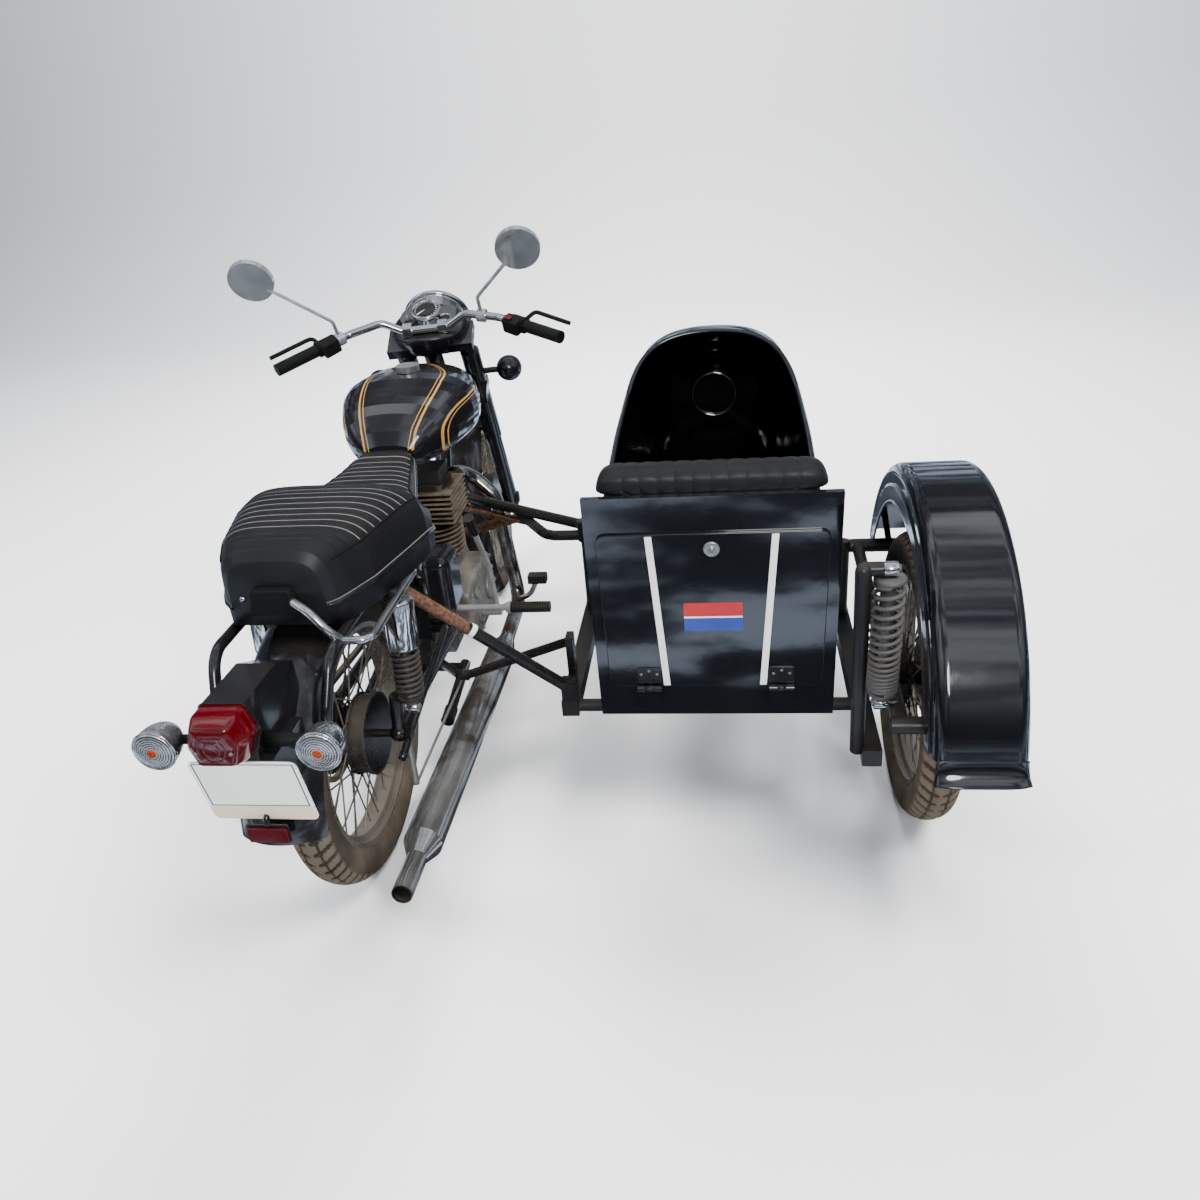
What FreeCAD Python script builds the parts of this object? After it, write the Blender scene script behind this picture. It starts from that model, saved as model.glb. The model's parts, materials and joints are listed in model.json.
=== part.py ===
"""A motorcycle with a passenger sidecar, as a parametric assembly of its separate pieces.

Millimetres. +X points to the motorcycle's right, where the sidecar is, +Y forward and +Z up.
The pieces are laid out about a datum on the floor under the rear axle, in the motorcycle's
middle plane. At the end the whole assembly is moved so that its origin is on the floor under the
centre of its bounding box.
"""
import FreeCAD, Part
import math
import os
import Sketcher

Vector = FreeCAD.Vector
Rotation = FreeCAD.Rotation
Placement = FreeCAD.Placement

# Driving dimensions, each written once. Angles end in _angle, numbers of pieces in _count.
SIZES = {
    # Clearances
    "seat_gap": 0.3,
    "running_gap": 0.5,
    "overrun": 5,
    # Where the three wheels stand
    "wheelbase": 1370,
    "sidecar_track": 1250,
    "sidecar_lead": 230,
    # Tyres
    "tyre_radius": 326,
    "tyre_half_width": 46,
    "front_tyre_half_width": 42,
    "tyre_shoulder_drop": 40,
    "tyre_bead_half_width": 28.7,
    # Wire wheels
    "rim_seat_radius": 241,
    "rim_flange_height": 11,
    "rim_half_width": 32,
    "rim_wall": 3,
    "rim_well_depth": 13,
    "rim_well_half_width": 12,
    "spoke_radius": 2,
    "spoke_count": 40,
    "spoke_lace_angle": 34,
    "hub_radius": 28,
    "hub_half_length": 46,
    "hub_flange_radius": 62,
    "hub_flange_width": 6,
    "hub_flange_offset": 30,
    "drum_radius": 92,
    "drum_width": 42,
    "drum_inset": 8,
    "drum_rib_height": 4,
    "axle_radius": 9,
    "sprocket_radius": 92,
    "sprocket_width": 6,
    "sprocket_offset": 60,
    "sprocket_tooth_count": 38,
    "sprocket_tooth_height": 6,
    # Steering geometry and fork
    "rake_angle": 26,
    "fork_offset": 55,
    "steer_angle": 5.5,
    "fork_leg_spread": 93,
    "slider_radius": 24,
    "slider_low": 30,
    "slider_high": 300,
    "fork_cover_radius": 28,
    "fork_cover_high": 640,
    "stanchion_radius": 17,
    "yoke_low": 500,
    "yoke_high": 700,
    "yoke_thickness": 26,
    "yoke_half_width": 122,
    "yoke_front": 80,
    "yoke_rear": 22,
    "stem_radius": 15,
    "head_tube_radius": 26,
    "head_tube_gap": 6,
    "fork_lug_radius": 20,
    # Frame tubes
    "frame_tube_radius": 16,
    "top_tube_head_height": 590,
    "top_tube_rear_forward": 545,
    "top_tube_rear_height": 768,
    "down_tube_head_height": 566,
    "down_tube_foot_forward": 912,
    "down_tube_foot_height": 428,
    "pivot_forward": 520,
    "pivot_height": 305,
    "pivot_lug_half_width": 34,
    "pivot_lug_half_depth": 22,
    "pivot_lug_low": 272,
    "pivot_lug_high": 440,
    "engine_mount_low": 262,
    "engine_mount_high": 336,
    "engine_mount_front": 932,
    "engine_mount_half_width": 20,
    "lower_bracket_spread": 150,
    "lower_bracket_forward": 320,
    "lower_bracket_height": 274,
    "collar_wall": 7,
    "collar_half_length": 12,
    # Rear subframe
    "rail_radius": 11,
    "rail_spread": 112,
    "rail_front_spread": 40,
    "rail_height": 692,
    "rail_bend_forward": 330,
    "loop_back": 262,
    "loop_mid_back": 318,
    "loop_mid_height": 590,
    "loop_low_back": 311,
    "loop_low_height": 528,
    "rail_bend_radius": 60,
    "shock_lug_radius": 14,
    # Swing arm
    "arm_spread": 98,
    "arm_radius": 14,
    "pivot_sleeve_radius": 20,
    "pivot_pin_radius": 9,
    "axle_half_length": 128,
    "axle_nut_radius": 15,
    "axle_nut_width": 12,
    # Rear shocks
    "shock_spread": 148,
    "shock_top_back": -17,
    "shock_top_height": 672,
    "shock_low_back": 18,
    "shock_low_height": 408,
    "shock_eye_radius": 14,
    "shock_eye_half_width": 14,
    "shock_cover_radius": 33,
    "shock_cover_length": 112,
    "shock_spring_radius": 27,
    "shock_wire_radius": 4.5,
    "shock_spring_turns_count": 7,
    "shock_rod_radius": 13,
    # Engine
    "case_half_width": 62,
    "case_low": 178,
    "case_high": 405,
    "case_rear": 552,
    "case_front": 892,
    "timing_cover_depth": 66,
    "primary_cover_depth": 78,
    "cover_edge_radius": 14,
    "barrel_forward": 768,
    "barrel_radius": 52,
    "barrel_high": 530,
    "barrel_fin_radius": 84,
    "head_half_width": 88,
    "head_half_depth": 82,
    "head_core_half": 58,
    "head_high": 632,
    "fin_thickness": 4,
    "fin_pitch": 14,
    "rocker_half_width": 52,
    "rocker_half_depth": 46,
    "rocker_high": 672,
    # Carburettor and side boxes
    "carb_radius": 26,
    "carb_height": 560,
    "carb_length": 110,
    "carb_bowl_radius": 24,
    "carb_bowl_depth": 60,
    "box_inner": 68,
    "box_outer": 142,
    "box_rear": 392,
    "box_front": 512,
    "box_low": 395,
    "box_high": 560,
    "box_edge_radius": 26,
    # Exhaust
    "header_radius": 21,
    "header_bend_radius": 58,
    "port_spread": 60,
    "port_height": 610,
    "header_out_forward": 926,
    "header_knee_forward": 915,
    "header_knee_height": 520,
    "header_knee_spread": 152,
    "header_low_spread": 196,
    "header_low_forward": 872,
    "header_low_height": 196,
    "silencer_front_spread": 200,
    "silencer_front_forward": 640,
    "silencer_front_height": 192,
    "silencer_rear_spread": 224,
    "silencer_rear_back": 435,
    "silencer_rear_height": 277,
    "silencer_radius": 39,
    "silencer_cone_length": 90,
    "silencer_end_cone_length": 46,
    "tail_pipe_radius": 20,
    "tail_pipe_length": 104,
    "tail_pipe_wall": 2,
    # Pegs, pedal and kick starter
    "peg_forward": 535,
    "peg_height": 350,
    "peg_inner": 240,
    "peg_outer": 358,
    "peg_radius": 15,
    "peg_bar_radius": 9,
    "pedal_spread": 336,
    "pedal_forward": 522,
    "pedal_height": 442,
    "pedal_reach": 58,
    "pedal_radius": 7,
    "pedal_pad_half": 24,
    "kick_pivot_forward": 672,
    "kick_pivot_height": 268,
    "kick_spread": 178,
    "kick_sweep": 30,
    "kick_top_forward": 545,
    "kick_top_height": 570,
    "kick_arm_radius": 7.5,
    "kick_pedal_length": 60,
    "kick_pedal_radius": 14,
    # Chain
    "chain_half_width": 6,
    "chain_height": 12,
    "chain_gap": 6,
    "front_sprocket_radius": 42,
    "front_sprocket_forward": 596,
    "front_sprocket_height": 318,
    # Centre stand
    "stand_pivot_forward": 470,
    "stand_pivot_height": 205,
    "stand_spread": 118,
    "stand_leg_radius": 12,
    "stand_leg_length": 205,
    "stand_fold_angle": 9,
    "stand_lug_half_width": 30,
    "stand_lug_margin": 22,
    # Tank
    "tank_rear_forward": 522,
    "tank_length": 468,
    "tank_half_width": 182,
    "tank_low": 742,
    "tank_high": 934,
    "tank_tunnel_half_width": 24,
    "cap_forward": 775,
    "cap_radius": 31,
    "cap_height": 16,
    # Seat
    "seat_rear_back": 190,
    "seat_length": 709,
    "seat_half_width": 200,
    "seat_low": 703.3,
    "seat_high": 874,
    "grab_radius": 8,
    "grab_spread": 175,
    "grab_front": 80,
    "grab_back": 220,
    # Rear mudguard and tail
    "mudguard_radius": 388,
    "mudguard_half_width": 84,
    "mudguard_centre_back": 35,
    "mudguard_centre_height": 306,
    "mudguard_drop": 34,
    "sheet": 3,
    "mudguard_front_angle": 38,
    "mudguard_rear_angle": 170,
    "housing_half_width": 58,
    "hood_half_width": 37,
    "housing_front_back": 262,
    "housing_rear_back": 450,
    "housing_high": 706,
    "housing_front_low": 600,
    "carrier_high": 592,
    "carrier_low": 500,
    "lamp_back": 485,
    "lamp_height": 664,
    "lamp_half_width": 54,
    "lamp_half_height": 45,
    "lamp_depth": 62,
    "plate_half_width": 98,
    "plate_top_height": 590,
    "plate_top_back": 449.9,
    "plate_height": 152,
    "plate_lean_angle": 12,
    "plate_thickness": 3,
    "plate_hole_radius": 3.2,
    "plate_hole_spread": 70,
    "reflector_half_width": 38,
    "reflector_half_height": 16,
    "reflector_back": 440,
    "reflector_height": 414,
    "reflector_depth": 10,
    "indicator_spread": 147,
    "indicator_back": 420,
    "indicator_height": 615,
    "indicator_radius": 38,
    "indicator_length": 66,
    "indicator_stem_radius": 9,
    # Nacelle, lamp and instruments
    "nacelle_half_width": 118,
    "nacelle_low": 590,
    "nacelle_high": 758,
    "nacelle_rear": 30,
    "nacelle_front": 128,
    "headlamp_radius": 92,
    "headlamp_rim": 8,
    "headlamp_forward": 128,
    "headlamp_height": 672,
    "headlamp_depth": 96,
    "dial_radius": 42,
    "dial_height": 26,
    "small_dial_radius": 20,
    "panel_half_width": 84,
    "panel_half_depth": 46,
    "panel_forward": 66,
    "panel_thickness": 4,
    # Handlebar and controls, in the fork's own frame
    "bar_radius": 11,
    "bar_bend_radius": 42,
    "bar_clamp_forward": 6,
    "bar_clamp_height": 770,
    "bar_clamp_spread": 62,
    "bar_riser_spread": 50,
    "bar_riser_half": 13,
    "bar_riser_high": 786,
    "bar_peak_spread": 118,
    "bar_peak_forward": 14,
    "bar_peak_height": 800,
    "bar_knee_spread": 214,
    "bar_knee_forward": -8,
    "bar_knee_height": 790,
    "bar_end_spread": 388,
    "bar_end_forward": -152,
    "bar_end_height": 811,
    "grip_radius": 17,
    "grip_length": 128,
    "switch_radius": 22,
    "switch_length": 44,
    "lever_radius": 6,
    "lever_reach": 62,
    "mirror_forward": -8,
    "mirror_left_spread": 409,
    "mirror_right_spread": 304,
    "mirror_stem_rise": 60,
    "mirror_left_share": 0.12,
    "mirror_right_share": 0.5,
    "mirror_height": 996,
    "mirror_radius": 59,
    "mirror_depth": 16,
    "mirror_stem_radius": 5,
    # Front mudguard and indicators
    "front_mudguard_radius": 358,
    "front_mudguard_half_width": 62,
    "front_mudguard_drop": 26,
    "front_mudguard_front_angle": 48,
    "front_mudguard_rear_angle": 196,
    "mudguard_stay_radius": 6,
    "front_indicator_spread": 196,
    "front_indicator_height": 560,
    # Sidecar chassis
    "sidecar_middle": 795,
    "chassis_height": 275,
    "left_rail_spread": 455,
    "right_rail_spread": 1118,
    "chassis_rail_half": 20,
    "left_rail_rear": 165,
    "right_rail_rear": -22,
    "rail_front": 1060,
    "cross_tube_radius": 15,
    "cross_rear": 182,
    "cross_middle": 590,
    "cross_front": 1000,
    "pad_spread": 90,
    "pad_half": 20,
    "pad_reach": 90,
    "post_spread": 1070,
    "post_foot_forward": 10,
    "post_top_back": 82,
    "post_top_height": 742,
    "post_radius": 15,
    # Sidecar struts
    "strut_radius": 14,
    "rod_radius": 9,
    "strut_post_forward": 640,
    "strut_post_high": 552,
    "upper_strut_height": 536,
    "upper_strut_head_height": 520,
    "lower_strut_height": 508,
    "lower_strut_foot_height": 402,
    "lower_strut_knee_spread": 254,
    "lower_strut_knee_forward": 800,
    "lower_strut_knee_height": 500,
    "lower_strut_elbow_spread": 350,
    "turnbuckle_height": 486,
    "turnbuckle_share": 0.36,
    "rear_strut_forward": 75,
    "lower_strut_rear_forward": 250,
    "lower_strut_rear_height": 410,
    "clevis_radius": 17,
    # Sidecar swing arm and shock
    "side_arm_half": 15,
    "side_arm_inner": 1152,
    "side_arm_outer": 1334,
    "side_pivot_forward": 580,
    "side_pivot_height": 485,
    "side_arm_rear": -118,
    "side_arm_rear_height": 428,
    "side_shock_spread": 1120,
    "side_shock_top_back": 74,
    "side_shock_low_back": 60,
    "side_shock_low_height": 442,
    # Sidecar fender
    "fender_radius": 475,
    "fender_inner": 1192,
    "fender_outer": 1360,
    "fender_corner": 24,
    "fender_valance": 52,
    "fender_front_angle": 20,
    "fender_rear_angle": 168,
    "fender_stay_inset": 38,
    # Sidecar body
    "tub_wall": 4,
    "tub_half_width": 224,
    "tub_rear": 88,
    "tub_low": 318,
    "rim_rear_height": 828,
    "rim_front_height": 883,
    "rim_front_forward": 640,
    "arch_forward": 740,
    "arch_high": 1006,
    "nose_forward": 1240,
    "nose_height": 684,
    "panel_top_half_width": 257,
    "panel_low_half_width": 250,
    "panel_high": 836,
    "panel_low": 325,
    "panel_depth": 16,
    "lid_top_half_width": 234,
    "lid_low_half_width": 225,
    "lid_high": 760,
    "lid_low": 402,
    "lid_thickness": 8,
    "lid_gap": 6,
    "lid_hinge_radius": 7,
    "lid_hinge_half_length": 26,
    "lid_knuckle_half": 9,
    "lid_leaf_height": 48,
    "lid_hinge_spread": 140,
    "lid_strip_half_width": 7,
    "lid_strip_top_spread": 126,
    "lid_strip_low_spread": 102,
    "lid_strip_thickness": 2,
    "lock_radius": 15,
    "lock_height": 726,
    "lock_depth": 9,
    "sign_half_width": 60,
    "sign_half_height": 33,
    "sign_height": 572,
    "sign_thickness": 1.5,
    "bulkhead_top_forward": 100,
    "bulkhead_top_height": 800,
    "bulkhead_foot_forward": 286,
    "seat_base_height": 424,
    "seat_base_front": 650,
    "backrest_low": 520,
    "backrest_high": 866,
    "backrest_depth": 78,
    "cushion_depth": 92,
    "soft_gap": 3,
    "nose_ring_radius": 62,
    "nose_ring_wire": 6,
    "nose_lamp_radius": 55,
    "nose_ring_height": 705,
}


class Size(float):
    """A number that also carries the spreadsheet expression that gives it."""

    def __new__(cls, value, text=None):
        size = float.__new__(cls, value)
        size.text = text or f"{float(value):.9g}"
        return size

    def _with(self, other, symbol, value, swapped=False):
        other_text = other.text if isinstance(other, Size) else f"{float(other):.9g}"
        first, second = (other_text, self.text) if swapped else (self.text, other_text)
        return Size(value, f"({first} {symbol} {second})")

    def __add__(self, other):
        return self._with(other, "+", float(self) + float(other))

    def __radd__(self, other):
        return self._with(other, "+", float(self) + float(other), True)

    def __sub__(self, other):
        return self._with(other, "-", float(self) - float(other))

    def __rsub__(self, other):
        return self._with(other, "-", float(other) - float(self), True)

    def __mul__(self, other):
        return self._with(other, "*", float(self) * float(other))

    def __rmul__(self, other):
        return self._with(other, "*", float(self) * float(other), True)

    def __truediv__(self, other):
        return self._with(other, "/", float(self) / float(other))

    def __neg__(self):
        return Size(-float(self), f"(0 - {self.text})")

    def root(self):
        return Size(math.sqrt(float(self)), f"sqrt({self.text})")


doc = FreeCAD.newDocument("sidecar_motorcycle")
sheet = doc.addObject("Spreadsheet::Sheet", "Sizes")
for row, (size_name, number) in enumerate(SIZES.items(), start=1):
    sheet.set(f"A{row}", size_name)
    sheet.set(f"B{row}", str(number))
    sheet.setAlias(f"B{row}", size_name)
doc.recompute()


def size(name):
    """The value of one cell of the sheet, with its expression."""
    return Size(sheet.get(name), f"Sizes.{name}")


class Dimensions:
    """Reads any driving dimension by its name."""

    def __getattr__(self, name):
        return size(name)


D = Dimensions()
nodes = {}


def point(x, y, z):
    return (Size(x) if not isinstance(x, Size) else x,
            Size(y) if not isinstance(y, Size) else y,
            Size(z) if not isinstance(z, Size) else z)


def vector(place):
    return Vector(*(float(c) for c in place))


def bind(feature, **properties):
    """Binds each named property to the expression of its size."""
    for name, value in properties.items():
        setattr(feature, name, float(value))
        if isinstance(value, Size) and "Sizes." in value.text:
            feature.setExpression(name, value.text)


def distance(start, end):
    total = Size(0)
    for a, b in zip(start, end):
        if float(a) != float(b):
            total = total + (b - a) * (b - a)
    return total.root()


def turned(start, direction):
    """The placement that puts a shape's own Z along a direction from a start."""
    return Placement(vector(start), Rotation(Vector(0, 0, 1), Vector(*direction)))


def rod(start, end, radius):
    """A round bar from one point to another."""
    bar = doc.addObject("Part::Cylinder", "rod")
    bind(bar, Radius=radius, Height=distance(start, end))
    bar.Placement = turned(start, vector(end) - vector(start))
    return bar


def cone(start, end, start_radius, end_radius):
    taper = doc.addObject("Part::Cone", "cone")
    bind(taper, Radius1=start_radius, Radius2=end_radius, Height=distance(start, end))
    taper.Placement = turned(start, vector(end) - vector(start))
    return taper


def block(low, high):
    """A box between its lowest and highest corners."""
    box = doc.addObject("Part::Box", "block")
    bind(box, Length=high[0] - low[0], Width=high[1] - low[1], Height=high[2] - low[2])
    box.Placement = Placement(vector(low), Rotation())
    return box


def ring(centre, axis, radius, wire):
    torus = doc.addObject("Part::Torus", "ring")
    bind(torus, Radius1=radius, Radius2=wire)
    torus.Placement = turned(centre, axis)
    return torus


def ball(centre, radius):
    sphere = doc.addObject("Part::Sphere", "ball")
    bind(sphere, Radius=radius)
    sphere.Placement = Placement(vector(centre), Rotation())
    return sphere


def rounded_path(points, bend_radius):
    """Straight runs joined by tangent arcs of one radius."""
    corners = [vector(p) for p in points]
    edges = []
    start = corners[0]
    for before, corner, after in zip(corners, corners[1:], corners[2:]):
        back = (before - corner).normalize()
        ahead = (after - corner).normalize()
        half = back.getAngle(ahead) / 2
        reach = float(bend_radius) / math.tan(half)
        enter = corner + back * reach
        leave = corner + ahead * reach
        middle = corner + (back + ahead).normalize() * (float(bend_radius) / math.sin(half) - float(bend_radius))
        edges.append(Part.LineSegment(start, enter).toShape())
        edges.append(Part.Arc(enter, middle, leave).toShape())
        start = leave
    edges.append(Part.LineSegment(start, corners[-1]).toShape())
    return Part.Wire(edges)


def bent_bar(points, radius, bend_radius):
    """A round bar or tube bent along straight runs and tangent arcs."""
    path = doc.addObject("Part::Feature", "path")
    path.Shape = rounded_path(points, bend_radius)
    circle = doc.addObject("Part::Circle", "section")
    bind(circle, Radius=radius)
    circle.Placement = turned(points[0], vector(points[1]) - vector(points[0]))
    sweep = doc.addObject("Part::Sweep", "bent_bar")
    sweep.Sections = [circle]
    sweep.Spine = (path, [])
    sweep.Solid = True
    sweep.Frenet = True
    return sweep


def joined(features):
    union = doc.addObject("Part::MultiFuse", "joined")
    union.Shapes = features
    union.Refine = False
    return union


def without(base, tool):
    cut = doc.addObject("Part::Cut", "cut")
    cut.Base = base
    cut.Tool = tool
    return cut


def rounded(feature, radius):
    """Fillets every edge of a plain solid."""
    doc.recompute()
    fillet = doc.addObject("Part::Fillet", "rounded")
    fillet.Base = feature
    fillet.Edges = [(k + 1, float(radius), float(radius)) for k in range(len(feature.Shape.Edges))]
    return fillet


def arc_radius(a, m, b):
    """The radius of the circle through three points, as a size."""
    def length(p, q):
        return ((q[0] - p[0]) * (q[0] - p[0]) + (q[1] - p[1]) * (q[1] - p[1])).root()
    twice_area = (m[0] - a[0]) * (b[1] - a[1]) - (b[0] - a[0]) * (m[1] - a[1])
    if float(twice_area) < 0:
        twice_area = -twice_area
    return length(a, m) * length(m, b) * length(a, b) / (twice_area * 2)


def sketched_body(role, outline):
    """A body with one closed sketch. Each vertex is (u, v), or (u, v, (mu, mv)) where an arc
    through (mu, mv) leads to the next vertex."""
    body = doc.addObject("PartDesign::Body", "body")
    sketch = body.newObject("Sketcher::SketchObject", "outline")
    plane = [f for f in body.Origin.OriginFeatures if f.Role == role][0]
    sketch.AttachmentSupport = [(plane, "")]
    sketch.MapMode = "FlatFace"
    count = len(outline)
    for k, vertex in enumerate(outline):
        after = outline[(k + 1) % count]
        start = Vector(float(vertex[0]), float(vertex[1]), 0)
        end = Vector(float(after[0]), float(after[1]), 0)
        if len(vertex) == 3:
            middle = Vector(float(vertex[2][0]), float(vertex[2][1]), 0)
            if (middle - start).cross(end - start).z < 0:
                start, end = end, start
            sketch.addGeometry(Part.Arc(start, middle, end), False)
        else:
            sketch.addGeometry(Part.LineSegment(start, end), False)
    ends = []
    for k, vertex in enumerate(outline):
        geometry = sketch.Geometry[k]
        start = Vector(float(vertex[0]), float(vertex[1]), 0)
        forwards = (geometry.StartPoint - start).Length < (geometry.EndPoint - start).Length
        ends.append((1, 2) if forwards else (2, 1))
    for k in range(count):
        after = (k + 1) % count
        sketch.addConstraint(Sketcher.Constraint("Coincident", k, ends[k][1], after, ends[after][0]))
    for k, vertex in enumerate(outline):
        for kind, value in (("DistanceX", vertex[0]), ("DistanceY", vertex[1])):
            index = sketch.addConstraint(Sketcher.Constraint(kind, -1, 1, k, ends[k][0], float(value)))
            if isinstance(value, Size) and "Sizes." in value.text:
                sketch.setExpression(f"Constraints[{index}]", value.text)
        if len(vertex) == 3:
            after = outline[(k + 1) % count]
            index = sketch.addConstraint(Sketcher.Constraint("Radius", k, sketch.Geometry[k].Radius))
            sketch.setExpression(f"Constraints[{index}]", arc_radius(vertex, vertex[2], after).text)
    return body, sketch


def reversed_run(run):
    """An open run of outline vertices walked the other way, with each arc kept."""
    backwards = []
    for k in range(len(run) - 1, -1, -1):
        arc = run[k - 1][2:] if k > 0 else ()
        backwards.append((run[k][0], run[k][1]) + tuple(arc))
    return backwards


def axis_of(body, role):
    return [f for f in body.Origin.OriginFeatures if f.Role == role][0]


def revolved(outline, centre, turn_angle=360, start_angle=0):
    """Revolves an outline, drawn as (x, radius), about the X axis through a centre. The angles
    are counted from straight up towards the rear."""
    body, sketch = sketched_body("XZ_Plane", outline)
    revolution = body.newObject("PartDesign::Revolution", "turn")
    revolution.Profile = sketch
    revolution.ReferenceAxis = (axis_of(body, "X_Axis"), [""])
    bind(revolution, Angle=turn_angle)
    body.Placement = Placement(vector(centre), Rotation(Vector(1, 0, 0), float(start_angle)))
    return body


def padded(role, outline, low, high):
    """Extrudes an outline between two places on the axis square to its plane: (y, z) outlines
    along X, (x, z) outlines along Y and (x, y) outlines along Z."""
    body, sketch = sketched_body(role, outline)
    pad = body.newObject("PartDesign::Pad", "pad")
    pad.Profile = sketch
    bind(pad, Length=high - low)
    if role == "YZ_Plane":
        body.Placement.Base = Vector(float(low), 0, 0)
    elif role == "XZ_Plane":
        body.Placement.Base = Vector(0, float(high), 0)
    else:
        body.Placement.Base = Vector(0, 0, float(low))
    return body


def shaped(shape):
    """A free form that neither a sketch nor a primitive fits."""
    feature = doc.addObject("Part::Feature", "form")
    feature.Shape = shape
    return feature


def node(label, feature):
    feature.Label = label
    nodes[label] = feature
    return feature


def mirrored_pair(make):
    """The piece on the left and its twin on the right."""
    return [make(-1), make(1)]


def rounded_section(centre, half_width, half_height, fullness):
    """A closed wire across the Y axis, made of four cubic curves. A fullness of 0.55 gives an
    ellipse, and up to 1 it grows into a rounded box."""
    right, top, left, bottom = (1, 0), (0, 1), (-1, 0), (0, -1)
    corners = ((1, 1), (-1, 1), (-1, -1), (1, -1))
    edges = []
    for start, corner, end in zip((right, top, left, bottom), corners, (top, left, bottom, right)):
        pull_start = [a + (c - a) * fullness for a, c in zip(start, corner)]
        pull_end = [a + (c - a) * fullness for a, c in zip(end, corner)]
        curve = Part.BezierCurve()
        curve.setPoles([Vector(float(centre[0]) + float(half_width) * x, float(centre[1]),
                               float(centre[2]) + float(half_height) * z)
                        for x, z in (start, pull_start, pull_end, end)])
        edges.append(curve.toShape())
    return Part.Wire(edges)


# The fork's own frame: its origin is where a square from the front axle meets the steering axis,
# its Z runs up the steering axis and its Y forward from it.
rake = math.radians(D.rake_angle)
fork_foot = (0,
             D.wheelbase - D.fork_offset * math.cos(rake),
             D.tyre_radius - D.fork_offset * math.sin(rake))
fork_placement = Placement(Vector(*(float(c) for c in fork_foot)),
                           Rotation(Vector(1, 0, 0), float(D.rake_angle))
                           * Rotation(Vector(0, 0, 1), float(D.steer_angle)))


def on_head(height, forward=0):
    """A point of the frame at a height up the steering axis."""
    return point(0,
                 fork_foot[1] - height * math.sin(rake) + forward * math.cos(rake),
                 fork_foot[2] + height * math.cos(rake) + forward * math.sin(rake))


front_axle = point(0, D.fork_offset, 0)
rear_axle = point(0, 0, D.tyre_radius)
side_axle = point(D.sidecar_track, D.sidecar_lead, D.tyre_radius)


def tyre(centre, half_width):
    """A tyre with a round crown, standing on its rim."""
    inner = D.rim_seat_radius + D.seat_gap
    flange = D.rim_seat_radius + D.rim_flange_height + D.seat_gap
    shoulder = D.tyre_radius - D.tyre_shoulder_drop
    bead = D.tyre_bead_half_width
    outline = [(-bead, inner), (bead, inner), (bead, flange), (half_width, shoulder, (Size(0), D.tyre_radius)),
               (-half_width, shoulder), (-bead, flange)]
    return revolved(outline, centre)


def wire_wheel(centre, with_sprocket=False):
    """Rim, laced spokes, hub and brake drum as one turning piece."""
    flange_top = D.rim_seat_radius + D.rim_flange_height
    well_low = D.rim_seat_radius - D.rim_well_depth
    right_half = [(D.rim_well_half_width, well_low), (D.rim_well_half_width + D.rim_wall, D.rim_seat_radius),
                  (D.rim_half_width - D.rim_wall, D.rim_seat_radius), (D.rim_half_width - D.rim_wall, flange_top),
                  (D.rim_half_width, flange_top), (D.rim_half_width, D.rim_seat_radius - D.rim_wall),
                  (D.rim_well_half_width + D.rim_wall * 2, D.rim_seat_radius - D.rim_wall),
                  (D.rim_well_half_width + D.rim_wall, well_low - D.rim_wall)]
    left_half = [(-x, r) for x, r in reversed(right_half)]
    rim = revolved(right_half + left_half, point(0, 0, 0))
    bore = D.axle_radius + D.running_gap
    drum_start = D.drum_inset
    drum_end = D.drum_inset + D.drum_width
    hub_outline = [(-D.hub_half_length, bore), (drum_end, bore),
                   (drum_end, D.drum_radius),
                   (drum_end - D.hub_flange_width, D.drum_radius),
                   (drum_end - D.hub_flange_width, D.drum_radius - D.drum_rib_height),
                   (drum_start + D.hub_flange_width, D.drum_radius - D.drum_rib_height),
                   (drum_start + D.hub_flange_width, D.drum_radius),
                   (drum_start, D.drum_radius), (drum_start, D.hub_radius),
                   (-D.hub_flange_offset + D.hub_flange_width, D.hub_radius),
                   (-D.hub_flange_offset + D.hub_flange_width, D.hub_flange_radius),
                   (-D.hub_flange_offset, D.hub_flange_radius), (-D.hub_flange_offset, D.hub_radius),
                   (-D.hub_half_length, D.hub_radius)]
    pieces = [revolved(hub_outline, point(0, 0, 0))]
    well_bottom = float(well_low) - float(D.rim_wall) / 2
    for k in range(int(D.spoke_count)):
        on_drum = k % 2 == 0
        leading = (k // 2) % 2 == 0
        hub_reach = float(D.drum_radius - D.drum_rib_height) if on_drum else float(D.hub_flange_radius - D.hub_flange_width)
        hub_x = float(drum_start + D.hub_flange_width / 2) if on_drum else float(-D.hub_flange_offset + D.hub_flange_width / 2)
        rim_turn = 2 * math.pi * k / float(D.spoke_count)
        lace = math.radians(float(D.spoke_lace_angle)) * (1 if leading else -1)
        apart = float(D.spoke_radius) * (1.4 if leading else -1.4)
        foot = Vector(hub_x + apart, hub_reach * math.sin(rim_turn + lace), hub_reach * math.cos(rim_turn + lace))
        tip = Vector(math.copysign(float(D.rim_wall), hub_x) + apart, well_bottom * math.sin(rim_turn), well_bottom * math.cos(rim_turn))
        spoke = doc.addObject("Part::Cylinder", "spoke")
        bind(spoke, Radius=D.spoke_radius)
        spoke.Height = (tip - foot).Length
        spoke.Placement = Placement(foot, Rotation(Vector(0, 0, 1), tip - foot))
        pieces.append(spoke)
    if with_sprocket:
        pieces.append(sprocket())
    wheel = joined([joined(pieces), rim])
    wheel.Placement = Placement(vector(centre), Rotation())
    return wheel


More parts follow.
